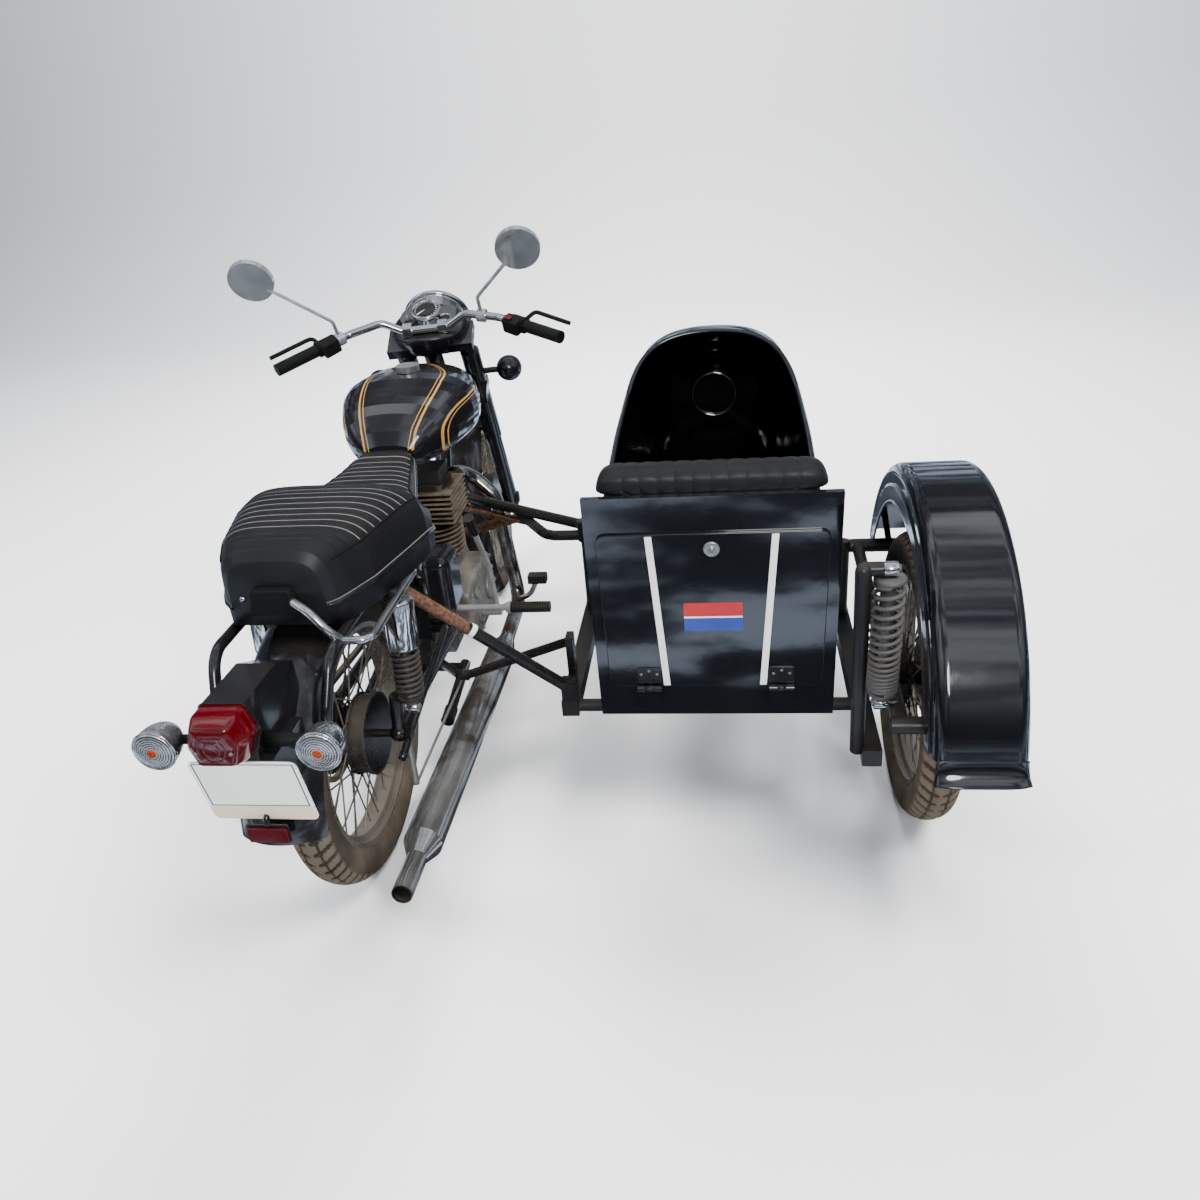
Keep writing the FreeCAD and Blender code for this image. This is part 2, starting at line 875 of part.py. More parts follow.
def sprocket():
    """The toothed ring on the left of the rear hub, with its carrier."""
    root = float(D.sprocket_radius - D.sprocket_tooth_height)
    corners = []
    steps = int(D.sprocket_tooth_count) * 4
    for k in range(steps):
        reach = (float(D.sprocket_radius), float(D.sprocket_radius), root, root)[k % 4]
        turn = 2 * math.pi * (k + 0.5) / steps
        corners.append(Vector(0, reach * math.sin(turn), reach * math.cos(turn)))
    corners.append(corners[0])
    disc = Part.Face(Part.makePolygon(corners)).extrude(Vector(float(D.sprocket_width), 0, 0))
    disc = disc.cut(Part.makeCylinder(float(D.hub_radius) - float(D.rim_wall), float(D.sprocket_width), Vector(0, 0, 0), Vector(1, 0, 0)))
    disc.translate(Vector(-float(D.sprocket_offset), 0, 0))
    carrier = Part.makeCylinder(float(D.hub_radius), float(D.sprocket_offset - D.hub_half_length + D.hub_flange_width),
                                Vector(-float(D.sprocket_offset), 0, 0), Vector(1, 0, 0))
    bore = Part.makeCylinder(float(D.axle_radius + D.running_gap), float(D.sprocket_offset), Vector(-float(D.sprocket_offset), 0, 0), Vector(1, 0, 0))
    return shaped(disc.fuse(carrier).cut(bore))


def fender_outline(half_width, radius, drop, thickness):
    """A crowned guard's section: an arc outside and one inside, a sheet apart."""
    outer_edge = radius - drop
    return [(-half_width, outer_edge, (Size(0), radius)), (half_width, outer_edge),
            (half_width - thickness, outer_edge - thickness, (Size(0), radius - thickness)),
            (-half_width + thickness, outer_edge - thickness)]


def guard(outline, centre, front_angle, rear_angle):
    """A guard round a wheel. Both angles are counted from straight ahead, over the top."""
    return revolved(outline, centre, rear_angle - front_angle, front_angle - 90)


# Wheels
node("front_tyre", tyre(front_axle, D.front_tyre_half_width))
node("front_wheel", wire_wheel(front_axle))
node("rear_tyre", tyre(rear_axle, D.tyre_half_width))
node("rear_wheel", wire_wheel(rear_axle, with_sprocket=True))
node("sidecar_tyre", tyre(side_axle, D.tyre_half_width))
node("sidecar_wheel", wire_wheel(side_axle))


def between(start, end, share):
    """The point at a share of the way from one point to another."""
    return tuple(a + (b - a) * share for a, b in zip(start, end))


def down_tube_at(height):
    """The point on the down tube's axis at a height."""
    top = on_head(D.down_tube_head_height, -D.stem_radius)
    rise = (height - D.down_tube_foot_height) / (top[2] - D.down_tube_foot_height)
    return (Size(0), D.down_tube_foot_forward + (top[1] - D.down_tube_foot_forward) * rise, Size(0) + height)


def seat_tube_at(height):
    """The point on the seat tube's axis at a height."""
    rise = (height - D.pivot_lug_high) / (D.top_tube_rear_height - D.pivot_lug_high)
    return (Size(0), D.pivot_forward + (D.top_tube_rear_forward - D.pivot_forward) * rise, Size(0) + height)


def case_front_at(height):
    """How far forward the crankcase's front face lies at a height."""
    foot = D.case_low + (D.case_high - D.case_low) * 0.3
    rise = (D.case_high - D.case_low) * 0.42
    return D.case_front - (D.case_front - D.case_rear) * 0.03 * (height - foot) / rise


def case_rear_at(height):
    """How far forward the crankcase's rear face lies at a height."""
    foot = D.case_low + (D.case_high - D.case_low) * 0.25
    rise = (D.case_high - D.case_low) * 0.63
    return D.case_rear + (D.case_front - D.case_rear) * 0.08 * (height - foot) / rise


def flat_section(y, half_width, low, high, fullness):
    """A closed wire across the Y axis with a flat foot, short sides and a domed top."""
    foot, wide, height = half_width * 0.9, half_width, high - low
    side = low + height * 0.25
    poles = (((-foot, low), (foot, low)),
             ((foot, low), (wide, low), (wide, side)),
             ((wide, side), (wide, side + (high - side) * fullness), (wide * fullness, high), (0, high)),
             ((0, high), (-wide * fullness, high), (-wide, side + (high - side) * fullness), (-wide, side)),
             ((-wide, side), (-wide, low), (-foot, low)))
    edges = []
    for run in poles:
        curve = Part.BezierCurve()
        curve.setPoles([Vector(x, y, z) for x, z in run])
        edges.append(curve.toShape())
    return Part.Wire(edges)


def tub_shell(inset):
    """The sidecar body's outside, moved in by a distance: a closed form over the whole arch."""
    wall = float(inset)
    wires = []
    last = len(TUB_SHARES) - 1
    for k, (station, width_share, low_share, high_share) in enumerate(TUB_SHARES):
        low = float(D.tub_low) + float(D.arch_high - D.tub_low) * low_share + wall
        high = float(D.tub_low) + float(D.arch_high - D.tub_low) * high_share - wall
        y = float(D.tub_rear) + float(D.nose_forward - D.tub_rear) * station
        if k == last:
            y -= wall
        wires.append(rounded_section((D.sidecar_middle, y, (low + high) / 2),
                                     float(D.tub_half_width) * width_share - wall, (high - low) / 2, 0.8))
    return shaped(Part.makeLoft(wires, True, True))


def within(feature, boundary):
    """The part of a solid inside another."""
    common = doc.addObject("Part::Common", "within")
    common.Base = feature
    common.Tool = boundary
    return common


def lid_hinge_back():
    """How far forward the axis of the lid's hinges lies."""
    return D.tub_rear - D.seat_gap * 2 - D.panel_depth - D.lid_thickness - D.lid_hinge_radius - D.running_gap


def make_kick_starter():
    """The kick starter at rest: its boss on the timing cover, the bent arm and the folded pedal."""
    face = D.case_half_width + D.timing_cover_depth
    pivot = point(D.kick_spread, D.kick_pivot_forward, D.kick_pivot_height)
    top = point(D.kick_spread, D.kick_top_forward, D.kick_top_height)
    knee = point(D.kick_spread, D.kick_pivot_forward - D.kick_sweep, (D.kick_pivot_height + D.kick_top_height) / 2)
    boss = rod(point(face + D.seat_gap, pivot[1], pivot[2]), point(D.kick_spread + D.kick_arm_radius * 1.4, pivot[1], pivot[2]),
               D.kick_arm_radius * 1.9)
    arm = bent_bar([pivot, knee, top], D.kick_arm_radius, D.kick_arm_radius * 5)
    run = vector(top) - vector(knee)
    past = 1 + D.kick_pedal_length / run.Length
    pedal = rod(between(knee, top, 0.96), between(knee, top, past), D.kick_pedal_radius)
    return joined([boss, arm, pedal])


def smoothed(shares, steps):
    """A table of shares with more rows: between its rows each column follows a cubic whose slope
    at a row is the harmonic mean of its neighbours' slopes, or level at a peak."""
    rows = [[float(value) for value in row] for row in shares]
    def slope(k, column):
        if k == 0 or k == len(rows) - 1:
            a, b = (0, 1) if k == 0 else (len(rows) - 2, len(rows) - 1)
            return (rows[b][column] - rows[a][column]) / (rows[b][0] - rows[a][0])
        before = (rows[k][column] - rows[k - 1][column]) / (rows[k][0] - rows[k - 1][0])
        after = (rows[k + 1][column] - rows[k][column]) / (rows[k + 1][0] - rows[k][0])
        return 2 * before * after / (before + after) if before * after > 0 else 0.0
    table = []
    for k in range(len(rows) - 1):
        span = rows[k + 1][0] - rows[k][0]
        for step in range(steps):
            t = step / steps
            row = [rows[k][0] + span * t]
            for column in range(1, len(rows[k])):
                start, end = rows[k][column], rows[k + 1][column]
                row.append((2 * t ** 3 - 3 * t ** 2 + 1) * start + (t ** 3 - 2 * t ** 2 + t) * span * slope(k, column)
                           + (3 * t ** 2 - 2 * t ** 3) * end + (t ** 3 - t ** 2) * span * slope(k + 1, column))
            table.append(tuple(row))
    table.append(tuple(rows[-1]))
    return table


def make_frame():
    """Head tube, top tube, down tube and seat tube with the lug that carries the swing arm, the
    engine's front mount, the stand's lug and the bracket of the sidecar's lower rear strut."""
    head_low = D.yoke_low + D.yoke_thickness + D.head_tube_gap
    head_high = D.yoke_high - D.head_tube_gap
    head = rod(on_head(head_low), on_head(head_high), D.head_tube_radius)
    bore = rod(on_head(head_low - D.overrun), on_head(head_high + D.overrun), D.stem_radius + D.running_gap)
    top_start = on_head(D.top_tube_head_height, -D.stem_radius)
    seat_top = point(0, D.top_tube_rear_forward, D.top_tube_rear_height)
    seat_foot = seat_tube_at(D.pivot_lug_high - D.overrun * 2)
    down_start = on_head(D.down_tube_head_height, -D.stem_radius)
    down_foot = point(0, D.down_tube_foot_forward, D.down_tube_foot_height)
    rear, front = D.pivot_forward - D.pivot_lug_half_depth, D.pivot_forward + D.pivot_lug_half_depth
    lug = padded("YZ_Plane", [
        (rear, D.pivot_lug_low), (case_rear_at(D.pivot_lug_low) - D.seat_gap, D.pivot_lug_low),
        (case_rear_at(D.engine_mount_high) - D.seat_gap, D.engine_mount_high), (front, D.engine_mount_high + D.overrun),
        (front, D.pivot_lug_high), (rear, D.pivot_lug_high)], -D.pivot_lug_half_width, D.pivot_lug_half_width)
    front_mount = padded("YZ_Plane", [
        (case_front_at(D.engine_mount_low) + D.seat_gap, D.engine_mount_low), (D.engine_mount_front, D.engine_mount_low),
        (D.engine_mount_front, D.down_tube_foot_height + D.overrun),
        (D.down_tube_foot_forward - D.overrun * 2, D.down_tube_foot_height + D.overrun),
        (case_front_at(D.engine_mount_high) + D.seat_gap, D.engine_mount_high)],
        -D.engine_mount_half_width, D.engine_mount_half_width)
    margin = D.stand_lug_margin
    stand_lug = padded("YZ_Plane", [
        (rear, D.pivot_lug_low + D.overrun), (front, D.pivot_lug_low + D.overrun),
        (D.stand_pivot_forward + margin, D.stand_pivot_height - margin), (D.stand_pivot_forward - margin, D.stand_pivot_height - margin),
        (D.stand_pivot_forward - margin, D.stand_pivot_height + margin)], -D.stand_lug_half_width, D.stand_lug_half_width)
    bracket_foot = point(D.stand_lug_half_width - D.overrun, D.stand_pivot_forward + margin / 2,
                         D.stand_pivot_height + margin + D.rail_radius)
    bracket_tip = point(D.lower_bracket_spread, D.lower_bracket_forward, D.lower_bracket_height)
    bracket_face = point(D.lower_bracket_spread + D.rail_radius, D.lower_bracket_forward, D.lower_bracket_height)
    pieces = [head, rod(top_start, seat_top, D.frame_tube_radius), rod(seat_top, seat_foot, D.frame_tube_radius),
              ball(seat_top, D.frame_tube_radius), rod(down_start, down_foot, D.frame_tube_radius),
              ball(down_foot, D.frame_tube_radius), lug, front_mount, stand_lug,
              rod(bracket_foot, bracket_tip, D.rail_radius), rod(bracket_tip, bracket_face, D.strut_radius)]
    reach = D.pivot_lug_half_width + D.overrun
    pivot_bore = rod(point(-reach, D.pivot_forward, D.pivot_height), point(reach, D.pivot_forward, D.pivot_height),
                     D.pivot_pin_radius + D.running_gap)
    stand_bore = rod(point(-reach, D.stand_pivot_forward, D.stand_pivot_height),
                     point(reach, D.stand_pivot_forward, D.stand_pivot_height), D.stand_leg_radius + D.running_gap)
    return without(joined(pieces), joined([bore, pivot_bore, stand_bore]))


def make_subframe():
    """Two rails under the seat that bend down into the loops beside the rear mudguard."""
    clear = D.frame_tube_radius + D.rail_radius + D.seat_gap
    front = seat_tube_at(D.rail_height)[1] - clear * 1.004

    def side_rail(side):
        start = point(side * D.rail_front_spread, front, D.rail_height)
        bend = point(side * D.rail_spread, D.rail_bend_forward, D.rail_height)
        back = point(side * D.rail_spread, -D.loop_back, D.rail_height)
        spread = D.mudguard_half_width + D.rail_radius + D.seat_gap * 2
        middle = point(side * (D.rail_spread + spread) / 2, -D.loop_mid_back, D.loop_mid_height)
        foot = point(side * spread, -D.loop_low_back, D.loop_low_height)
        rail = bent_bar([start, bend, back, middle, foot], D.rail_radius, D.rail_bend_radius)
        eye = D.shock_spread - D.shock_eye_half_width - D.seat_gap
        lug = rod(point(side * D.rail_spread, -D.shock_top_back, D.shock_top_height),
                  point(side * eye, -D.shock_top_back, D.shock_top_height), D.shock_lug_radius)
        stop = rod(point(side * (D.mudguard_half_width + D.seat_gap), -D.loop_low_back, D.loop_low_height),
                   point(side * spread, -D.loop_low_back, D.loop_low_height), D.rail_radius)
        return joined([rail, lug, stop])
    bridge = rod(point(-D.rail_front_spread, front, D.rail_height), point(D.rail_front_spread, front, D.rail_height), D.rail_radius)
    ends = [ball(point(side * D.rail_front_spread, front, D.rail_height), D.rail_radius) for side in (-1, 1)]
    return joined(mirrored_pair(side_rail) + [bridge] + ends)


def make_swing_arm():
    """Pivot pin, two arms and the rear axle with its nuts."""
    def arm(side):
        pivot_in = point(side * (D.pivot_lug_half_width + D.running_gap), D.pivot_forward, D.pivot_height)
        pivot_out = point(side * (D.arm_spread + D.arm_radius), D.pivot_forward, D.pivot_height)
        start = point(side * D.arm_spread, D.pivot_forward, D.pivot_height)
        end = point(side * D.arm_spread, 0, D.tyre_radius)
        spring_foot = point(side * D.arm_spread, D.shock_low_back, D.shock_low_height)
        nut = rod(point(side * (D.axle_half_length - D.axle_nut_width), 0, D.tyre_radius),
                  point(side * D.axle_half_length, 0, D.tyre_radius), D.axle_nut_radius)
        bolt = rod(spring_foot, point(side * (D.shock_spread - D.shock_eye_half_width - D.seat_gap),
                                      D.shock_low_back, D.shock_low_height), D.shock_lug_radius)
        return [rod(pivot_in, pivot_out, D.pivot_sleeve_radius), rod(start, end, D.arm_radius),
                ball(end, D.pivot_sleeve_radius), rod(end, spring_foot, D.arm_radius), nut, bolt,
                ball(spring_foot, D.arm_radius)]
    pin = rod(point(-D.arm_spread, D.pivot_forward, D.pivot_height),
              point(D.arm_spread, D.pivot_forward, D.pivot_height), D.pivot_pin_radius)
    axle = rod(point(-D.axle_half_length, 0, D.tyre_radius), point(D.axle_half_length, 0, D.tyre_radius),
               D.axle_radius)
    return joined(arm(-1) + arm(1) + [pin, axle])


def coil_spring(start, end, radius, wire, turns):
    """A coil spring between two points, as a ribbed sleeve with one rib to a turn."""
    height = (vector(end) - vector(start)).Length
    low = float(radius) - float(wire) * 1.6
    corners = [Vector(0, 0, 0), Vector(low, 0, 0)]
    for k in range(turns):
        corners.append(Vector(float(radius), 0, height * (k + 0.5) / turns))
        corners.append(Vector(low, 0, height * (k + 1) / turns))
    corners += [Vector(0, 0, height), Vector(0, 0, 0)]
    spring = Part.Face(Part.makePolygon(corners)).revolve(Vector(0, 0, 0), Vector(0, 0, 1), 360)
    spring.Placement = turned(start, vector(end) - vector(start))
    return shaped(spring)


def shock(top, foot, cover_length, eye_half_width):
    """A shock absorber: two eyes, a cover over its upper part and a coil spring below."""
    axis = (vector(foot) - vector(top)).normalize()
    def along(reach):
        place = vector(top) + axis * float(reach)
        return point(place.x, place.y, place.z)
    length = (vector(foot) - vector(top)).Length
    eyes = [rod(point(p[0] - eye_half_width, p[1], p[2]), point(p[0] + eye_half_width, p[1], p[2]),
                D.shock_eye_radius) for p in (top, foot)]
    cover = rod(along(D.shock_eye_radius * 1.1), along(D.shock_eye_radius + cover_length), D.shock_cover_radius)
    core = rod(top, foot, D.shock_rod_radius)
    plate = rod(along(length - D.shock_eye_radius * 2), along(length - D.shock_eye_radius * 1.1), D.shock_spring_radius)
    spring = coil_spring(along(D.shock_eye_radius + cover_length - D.shock_wire_radius),
                         along(length - D.shock_eye_radius * 2 + D.shock_wire_radius),
                         D.shock_spring_radius, D.shock_wire_radius, int(D.shock_spring_turns_count))
    return joined(eyes + [cover, core, plate, spring])


def make_rear_shocks():
    def one(side):
        return shock(point(side * D.shock_spread, -D.shock_top_back, D.shock_top_height),
                     point(side * D.shock_spread, D.shock_low_back, D.shock_low_height),
                     D.shock_cover_length, D.shock_eye_half_width)
    return joined(mirrored_pair(one))


def make_crankcase():
    """Crankcase and gearbox with the timing cover on the right, the primary case on the left and
    the pocket where the chain runs over the front sprocket."""
    low, high, rear, front = D.case_low, D.case_high, D.case_rear, D.case_front
    depth = front - rear
    height = high - low
    body = padded("YZ_Plane", [
        (rear, low + height * 0.25), (rear + depth * 0.12, low), (rear + depth * 0.8, low),
        (front, low + height * 0.3), (front - depth * 0.03, low + height * 0.72), (front - depth * 0.14, high),
        (rear + depth * 0.3, high), (rear + depth * 0.08, high - height * 0.12)],
        -D.case_half_width, D.case_half_width)
    timing = padded("YZ_Plane", [
        (rear + depth * 0.1, low + height * 0.32), (rear + depth * 0.35, low + height * 0.08),
        (rear + depth * 0.82, low + height * 0.1), (front - depth * 0.04, low + height * 0.4),
        (front - depth * 0.14, high - height * 0.12), (rear + depth * 0.42, high - height * 0.1),
        (rear + depth * 0.12, high - height * 0.2)],
        D.case_half_width - D.overrun, D.case_half_width + D.timing_cover_depth)
    primary = padded("YZ_Plane", [
        (rear + depth * 0.06, low + height * 0.5, (rear + depth * 0.14, low + height * 0.12)),
        (rear + depth * 0.3, low + height * 0.06), (rear + depth * 0.78, low + height * 0.1, (front - depth * 0.04, low + height * 0.42)),
        (rear + depth * 0.78, high - height * 0.14), (rear + depth * 0.3, high - height * 0.1, (rear + depth * 0.13, high - height * 0.2))],
        -D.case_half_width - D.primary_cover_depth, -D.case_half_width + D.overrun)
    chain_middle = -D.sprocket_offset + D.sprocket_width / 2
    clear = D.front_sprocket_radius + D.chain_gap + D.chain_height + D.overrun
    reach = D.chain_half_width + D.overrun
    pocket = block(point(chain_middle - reach, rear - clear, D.front_sprocket_height - clear),
                   point(chain_middle + reach, D.front_sprocket_forward + clear, D.front_sprocket_height + clear))
    seat = D.front_sprocket_radius + D.chain_gap - D.seat_gap
    shaft = rod(point(chain_middle - reach - D.overrun, D.front_sprocket_forward, D.front_sprocket_height),
                point(chain_middle + reach + D.overrun, D.front_sprocket_forward, D.front_sprocket_height), D.stem_radius)
    wheel = rod(point(chain_middle - D.sprocket_width / 2, D.front_sprocket_forward, D.front_sprocket_height),
                point(chain_middle + D.sprocket_width / 2, D.front_sprocket_forward, D.front_sprocket_height), seat)
    shell = joined([body, rounded(timing, D.cover_edge_radius), rounded(primary, D.cover_edge_radius)])
    return joined([without(shell, pocket), shaft, wheel])


def make_cylinder():
    """The finned barrel with the square finned head and the rocker boxes on top."""
    forward = D.barrel_forward
    foot = D.case_high + D.seat_gap
    pieces = [rod(point(0, forward, foot), point(0, forward, D.barrel_high + D.overrun), D.barrel_radius)]
    count = int(float(D.barrel_high - foot) / float(D.fin_pitch))
    for k in range(1, count):
        level = foot + D.fin_pitch * k
        pieces.append(rod(point(0, forward, level), point(0, forward, level + D.fin_thickness), D.barrel_fin_radius))
    pieces.append(block(point(-D.head_core_half, forward - D.head_core_half, D.barrel_high),
                        point(D.head_core_half, forward + D.head_core_half, D.head_high)))
    count = int(float(D.head_high - D.barrel_high) / float(D.fin_pitch))
    for k in range(count):
        level = D.barrel_high + D.fin_pitch * k
        pieces.append(block(point(-D.head_half_width, forward - D.head_half_depth, level),
                            point(D.head_half_width, forward + D.head_half_depth, level + D.fin_thickness)))
    pieces.append(block(point(-D.rocker_half_width, forward - D.rocker_half_depth, D.head_high),
                        point(D.rocker_half_width, forward + D.rocker_half_depth, D.rocker_high)))
    return joined(pieces)


def make_carburettor():
    """Inlet stub, body, float bowl and the hose back to the air box."""
    start = D.barrel_forward - D.head_half_depth - D.seat_gap
    middle = start - D.carb_length / 2
    return joined([rod(point(0, start, D.carb_height), point(0, start - D.carb_length, D.carb_height), D.carb_radius),
                   rod(point(0, middle, D.carb_height), point(0, middle, D.carb_height - D.carb_bowl_depth), D.carb_bowl_radius),
                   rod(point(0, middle, D.carb_height), point(0, middle, D.carb_height + D.carb_bowl_depth), D.carb_bowl_radius * 0.7)])


def make_side_boxes():
    """The rounded air filter box on the right and its twin on the left, on one collar of the seat tube."""
    def one(side):
        box = block(point(D.box_inner, D.box_rear, D.box_low), point(D.box_outer, D.box_front, D.box_high))
        box = rounded(box, D.box_edge_radius)
        if side < 0:
            mirror = doc.addObject("Part::Mirroring", "twin")
            mirror.Source = box
            mirror.Normal = Vector(1, 0, 0)
            return mirror
        return box
    level = (D.box_low + D.box_high) / 2
    middle = seat_tube_at(level)
    sleeve = rod(seat_tube_at(level - D.collar_half_length), seat_tube_at(level + D.collar_half_length),
                 D.frame_tube_radius + D.collar_wall)
    arms = [rod(middle, point(side * (D.box_inner + D.overrun), (D.box_rear + D.box_front) / 2 + D.overrun, level), D.grab_radius)
            for side in (-1, 1)]
    bore = rod(seat_tube_at(level - D.collar_half_length * 2), seat_tube_at(level + D.collar_half_length * 2),
               D.frame_tube_radius + D.seat_gap)
    return joined(mirrored_pair(one) + [without(joined([sleeve] + arms), bore)])


def make_exhaust():
    """Header pipe, silencer with its cones and the open tail pipe."""
    start = D.barrel_forward + D.head_half_depth + D.seat_gap
    port = point(D.port_spread, start, D.port_height)
    out = point(D.port_spread, D.header_out_forward, D.port_height)
    knee = point(D.header_knee_spread, D.header_knee_forward, D.header_knee_height)
    low = point(D.header_low_spread, D.header_low_forward, D.header_low_height)
    front = point(D.silencer_front_spread, D.silencer_front_forward, D.silencer_front_height)
    rear = point(D.silencer_rear_spread, -D.silencer_rear_back, D.silencer_rear_height)
    axis = (vector(rear) - vector(front)).normalize()
    total = (vector(rear) - vector(front)).Length

    def along(reach):
        place = vector(front) + axis * float(reach)
        return point(place.x, place.y, place.z)
    shell_start = along(D.silencer_cone_length)
    shell_end = along(total - D.tail_pipe_length - D.silencer_end_cone_length)
    cone_end = along(total - D.tail_pipe_length)
    header = bent_bar([port, out, knee, low, front], D.header_radius, D.header_bend_radius)
    pipe = without(rod(cone_end, rear, D.tail_pipe_radius),
                   rod(along(total - D.tail_pipe_length + D.overrun), along(total + D.overrun),
                       D.tail_pipe_radius - D.tail_pipe_wall))
    flange = rod(port, point(D.port_spread, start + D.cap_height / 2, D.port_height), D.header_radius + D.collar_wall)
    return joined([header, flange, cone(front, shell_start, D.header_radius, D.silencer_radius),
                   rod(shell_start, shell_end, D.silencer_radius),
                   cone(shell_end, cone_end, D.silencer_radius, D.tail_pipe_radius), pipe])


def make_foot_controls():
    """Foot pegs on their bars, with the foot pedal on the right one, and the kick starter."""
    pieces = []
    for side in (-1, 1):
        pieces.append(rod(point(side * D.peg_inner, D.peg_forward, D.peg_height),
                          point(side * D.peg_outer, D.peg_forward, D.peg_height), D.peg_radius))
        pieces.append(rod(point(side * (D.pivot_lug_half_width + D.seat_gap), D.peg_forward, D.peg_height),
                          point(side * (D.peg_inner + D.peg_radius), D.peg_forward, D.peg_height), D.peg_bar_radius))
    pad = point(D.pedal_spread, D.pedal_forward, D.pedal_height)
    elbow = point((D.peg_inner + D.peg_outer) / 2, D.pedal_forward + D.pedal_reach, D.peg_height + D.peg_radius)
    pieces.append(bent_bar([point(D.peg_inner - D.peg_radius, D.peg_forward, D.peg_height), elbow, pad],
                           D.pedal_radius, D.pedal_radius * 3))
    half = D.pedal_pad_half
    pieces.append(block(point(pad[0] - half, pad[1] - half * 0.6, pad[2] - half * 0.45),
                        point(pad[0] + half, pad[1] + half * 0.6, pad[2] + half * 0.45)))
    return joined([joined(pieces), make_kick_starter()])


def make_chain():
    """The drive chain as one fixed loop, clear of the teeth it runs over."""
    rear = (0, D.tyre_radius)
    front = (D.front_sprocket_forward, D.front_sprocket_height)
    big = D.sprocket_radius + D.chain_gap
    small = D.front_sprocket_radius + D.chain_gap
    def loop(extra):
        span = math.hypot(float(front[0] - rear[0]), float(front[1] - rear[1]))
        tilt = math.atan2(float(front[1] - rear[1]), float(front[0] - rear[0]))
        lean = math.acos((float(big) - float(small)) / span)
        def on(centre, radius, angle):
            reach = float(radius) + float(extra)
            return Vector(0, float(centre[0]) + reach * math.cos(angle), float(centre[1]) + reach * math.sin(angle))
        a, b = on(rear, big, tilt + lean), on(front, small, tilt + lean)
        c, d = on(front, small, tilt - lean), on(rear, big, tilt - lean)
        nose = on(front, small, tilt)
        tail = on(rear, big, tilt + math.pi)
        return Part.Wire([Part.LineSegment(a, b).toShape(), Part.Arc(b, nose, c).toShape(),
                          Part.LineSegment(c, d).toShape(), Part.Arc(d, tail, a).toShape()])
    band = Part.Face(loop(D.chain_height)).cut(Part.Face(loop(0)))
    solid = band.extrude(Vector(2 * float(D.chain_half_width), 0, 0))
    solid.translate(Vector(-float(D.sprocket_offset) + float(D.sprocket_width) / 2 - float(D.chain_half_width), 0, 0))
    return shaped(solid)


def make_centre_stand():
    """The two-legged stand, folded up to the rear, with a pad on each foot."""
    fold = math.radians(float(D.stand_fold_angle))
    length = float(D.stand_leg_length)
    leg_radius = D.stand_leg_radius * 1.15
    pieces = [rod(point(-D.stand_spread, D.stand_pivot_forward, D.stand_pivot_height),
                  point(D.stand_spread, D.stand_pivot_forward, D.stand_pivot_height), D.stand_leg_radius)]
    for side in (-1, 1):
        hip = point(side * D.stand_spread, D.stand_pivot_forward, D.stand_pivot_height)
        foot = point(side * D.stand_spread, D.stand_pivot_forward - length * math.cos(fold),
                     D.stand_pivot_height - length * math.sin(fold))
        pieces.append(rod(between(hip, foot, -0.08), foot, leg_radius))
        pieces.append(rod(between(hip, foot, 0.8), between(hip, foot, 1.02), leg_radius * 1.25))
    return joined(pieces)


node("frame", make_frame())
node("rear_subframe", make_subframe())
node("swing_arm", make_swing_arm())
node("rear_shocks", make_rear_shocks())
node("crankcase", make_crankcase())
node("cylinder", make_cylinder())
node("carburettor", make_carburettor())
node("side_boxes", make_side_boxes())
node("exhaust", make_exhaust())
node("foot_controls", make_foot_controls())
node("drive_chain", make_chain())
node("centre_stand", make_centre_stand())

# Each row of a loft's table gives a station along its length, half-width, low and high edge, all
# as shares of the piece's own length, half-width and height.
TANK_SHARES = (
    (0.0, 0.34, 0.10, 0.38), (0.06, 0.55, 0.02, 0.60), (0.25, 0.84, 0.0, 0.86),
    (0.50, 1.0, 0.0, 1.0), (0.72, 0.88, 0.02, 0.98), (0.90, 0.60, 0.10, 0.86), (1.0, 0.40, 0.26, 0.72))
SEAT_SHARES = (
    (0.0, 0.44, 0.06, 0.74), (0.03, 0.56, 0.0, 0.88), (0.15, 0.76, 0.0, 0.96), (0.35, 0.93, 0.0, 1.0),
    (0.45, 0.99, 0.0, 0.96), (0.52, 0.98, 0.0, 0.66), (0.60, 0.80, 0.02, 0.56), (0.70, 0.60, 0.10, 0.56),
    (0.85, 0.46, 0.20, 0.58), (0.96, 0.36, 0.34, 0.62), (1.0, 0.26, 0.42, 0.60))


def lofted(shares, rear, length, half_width, low, high, fullness, middle=0):
    """A solid through rounded sections at the stations of a table of shares."""
    wires = []
    for station, width_share, low_share, high_share in shares:
        bottom = float(low) + float(high - low) * low_share
        top = float(low) + float(high - low) * high_share
        centre = (float(middle), float(rear) + float(length) * station, (bottom + top) / 2)
        wires.append(rounded_section(centre, float(half_width) * width_share, (top - bottom) / 2, fullness))
    return Part.makeLoft(wires, True, True)


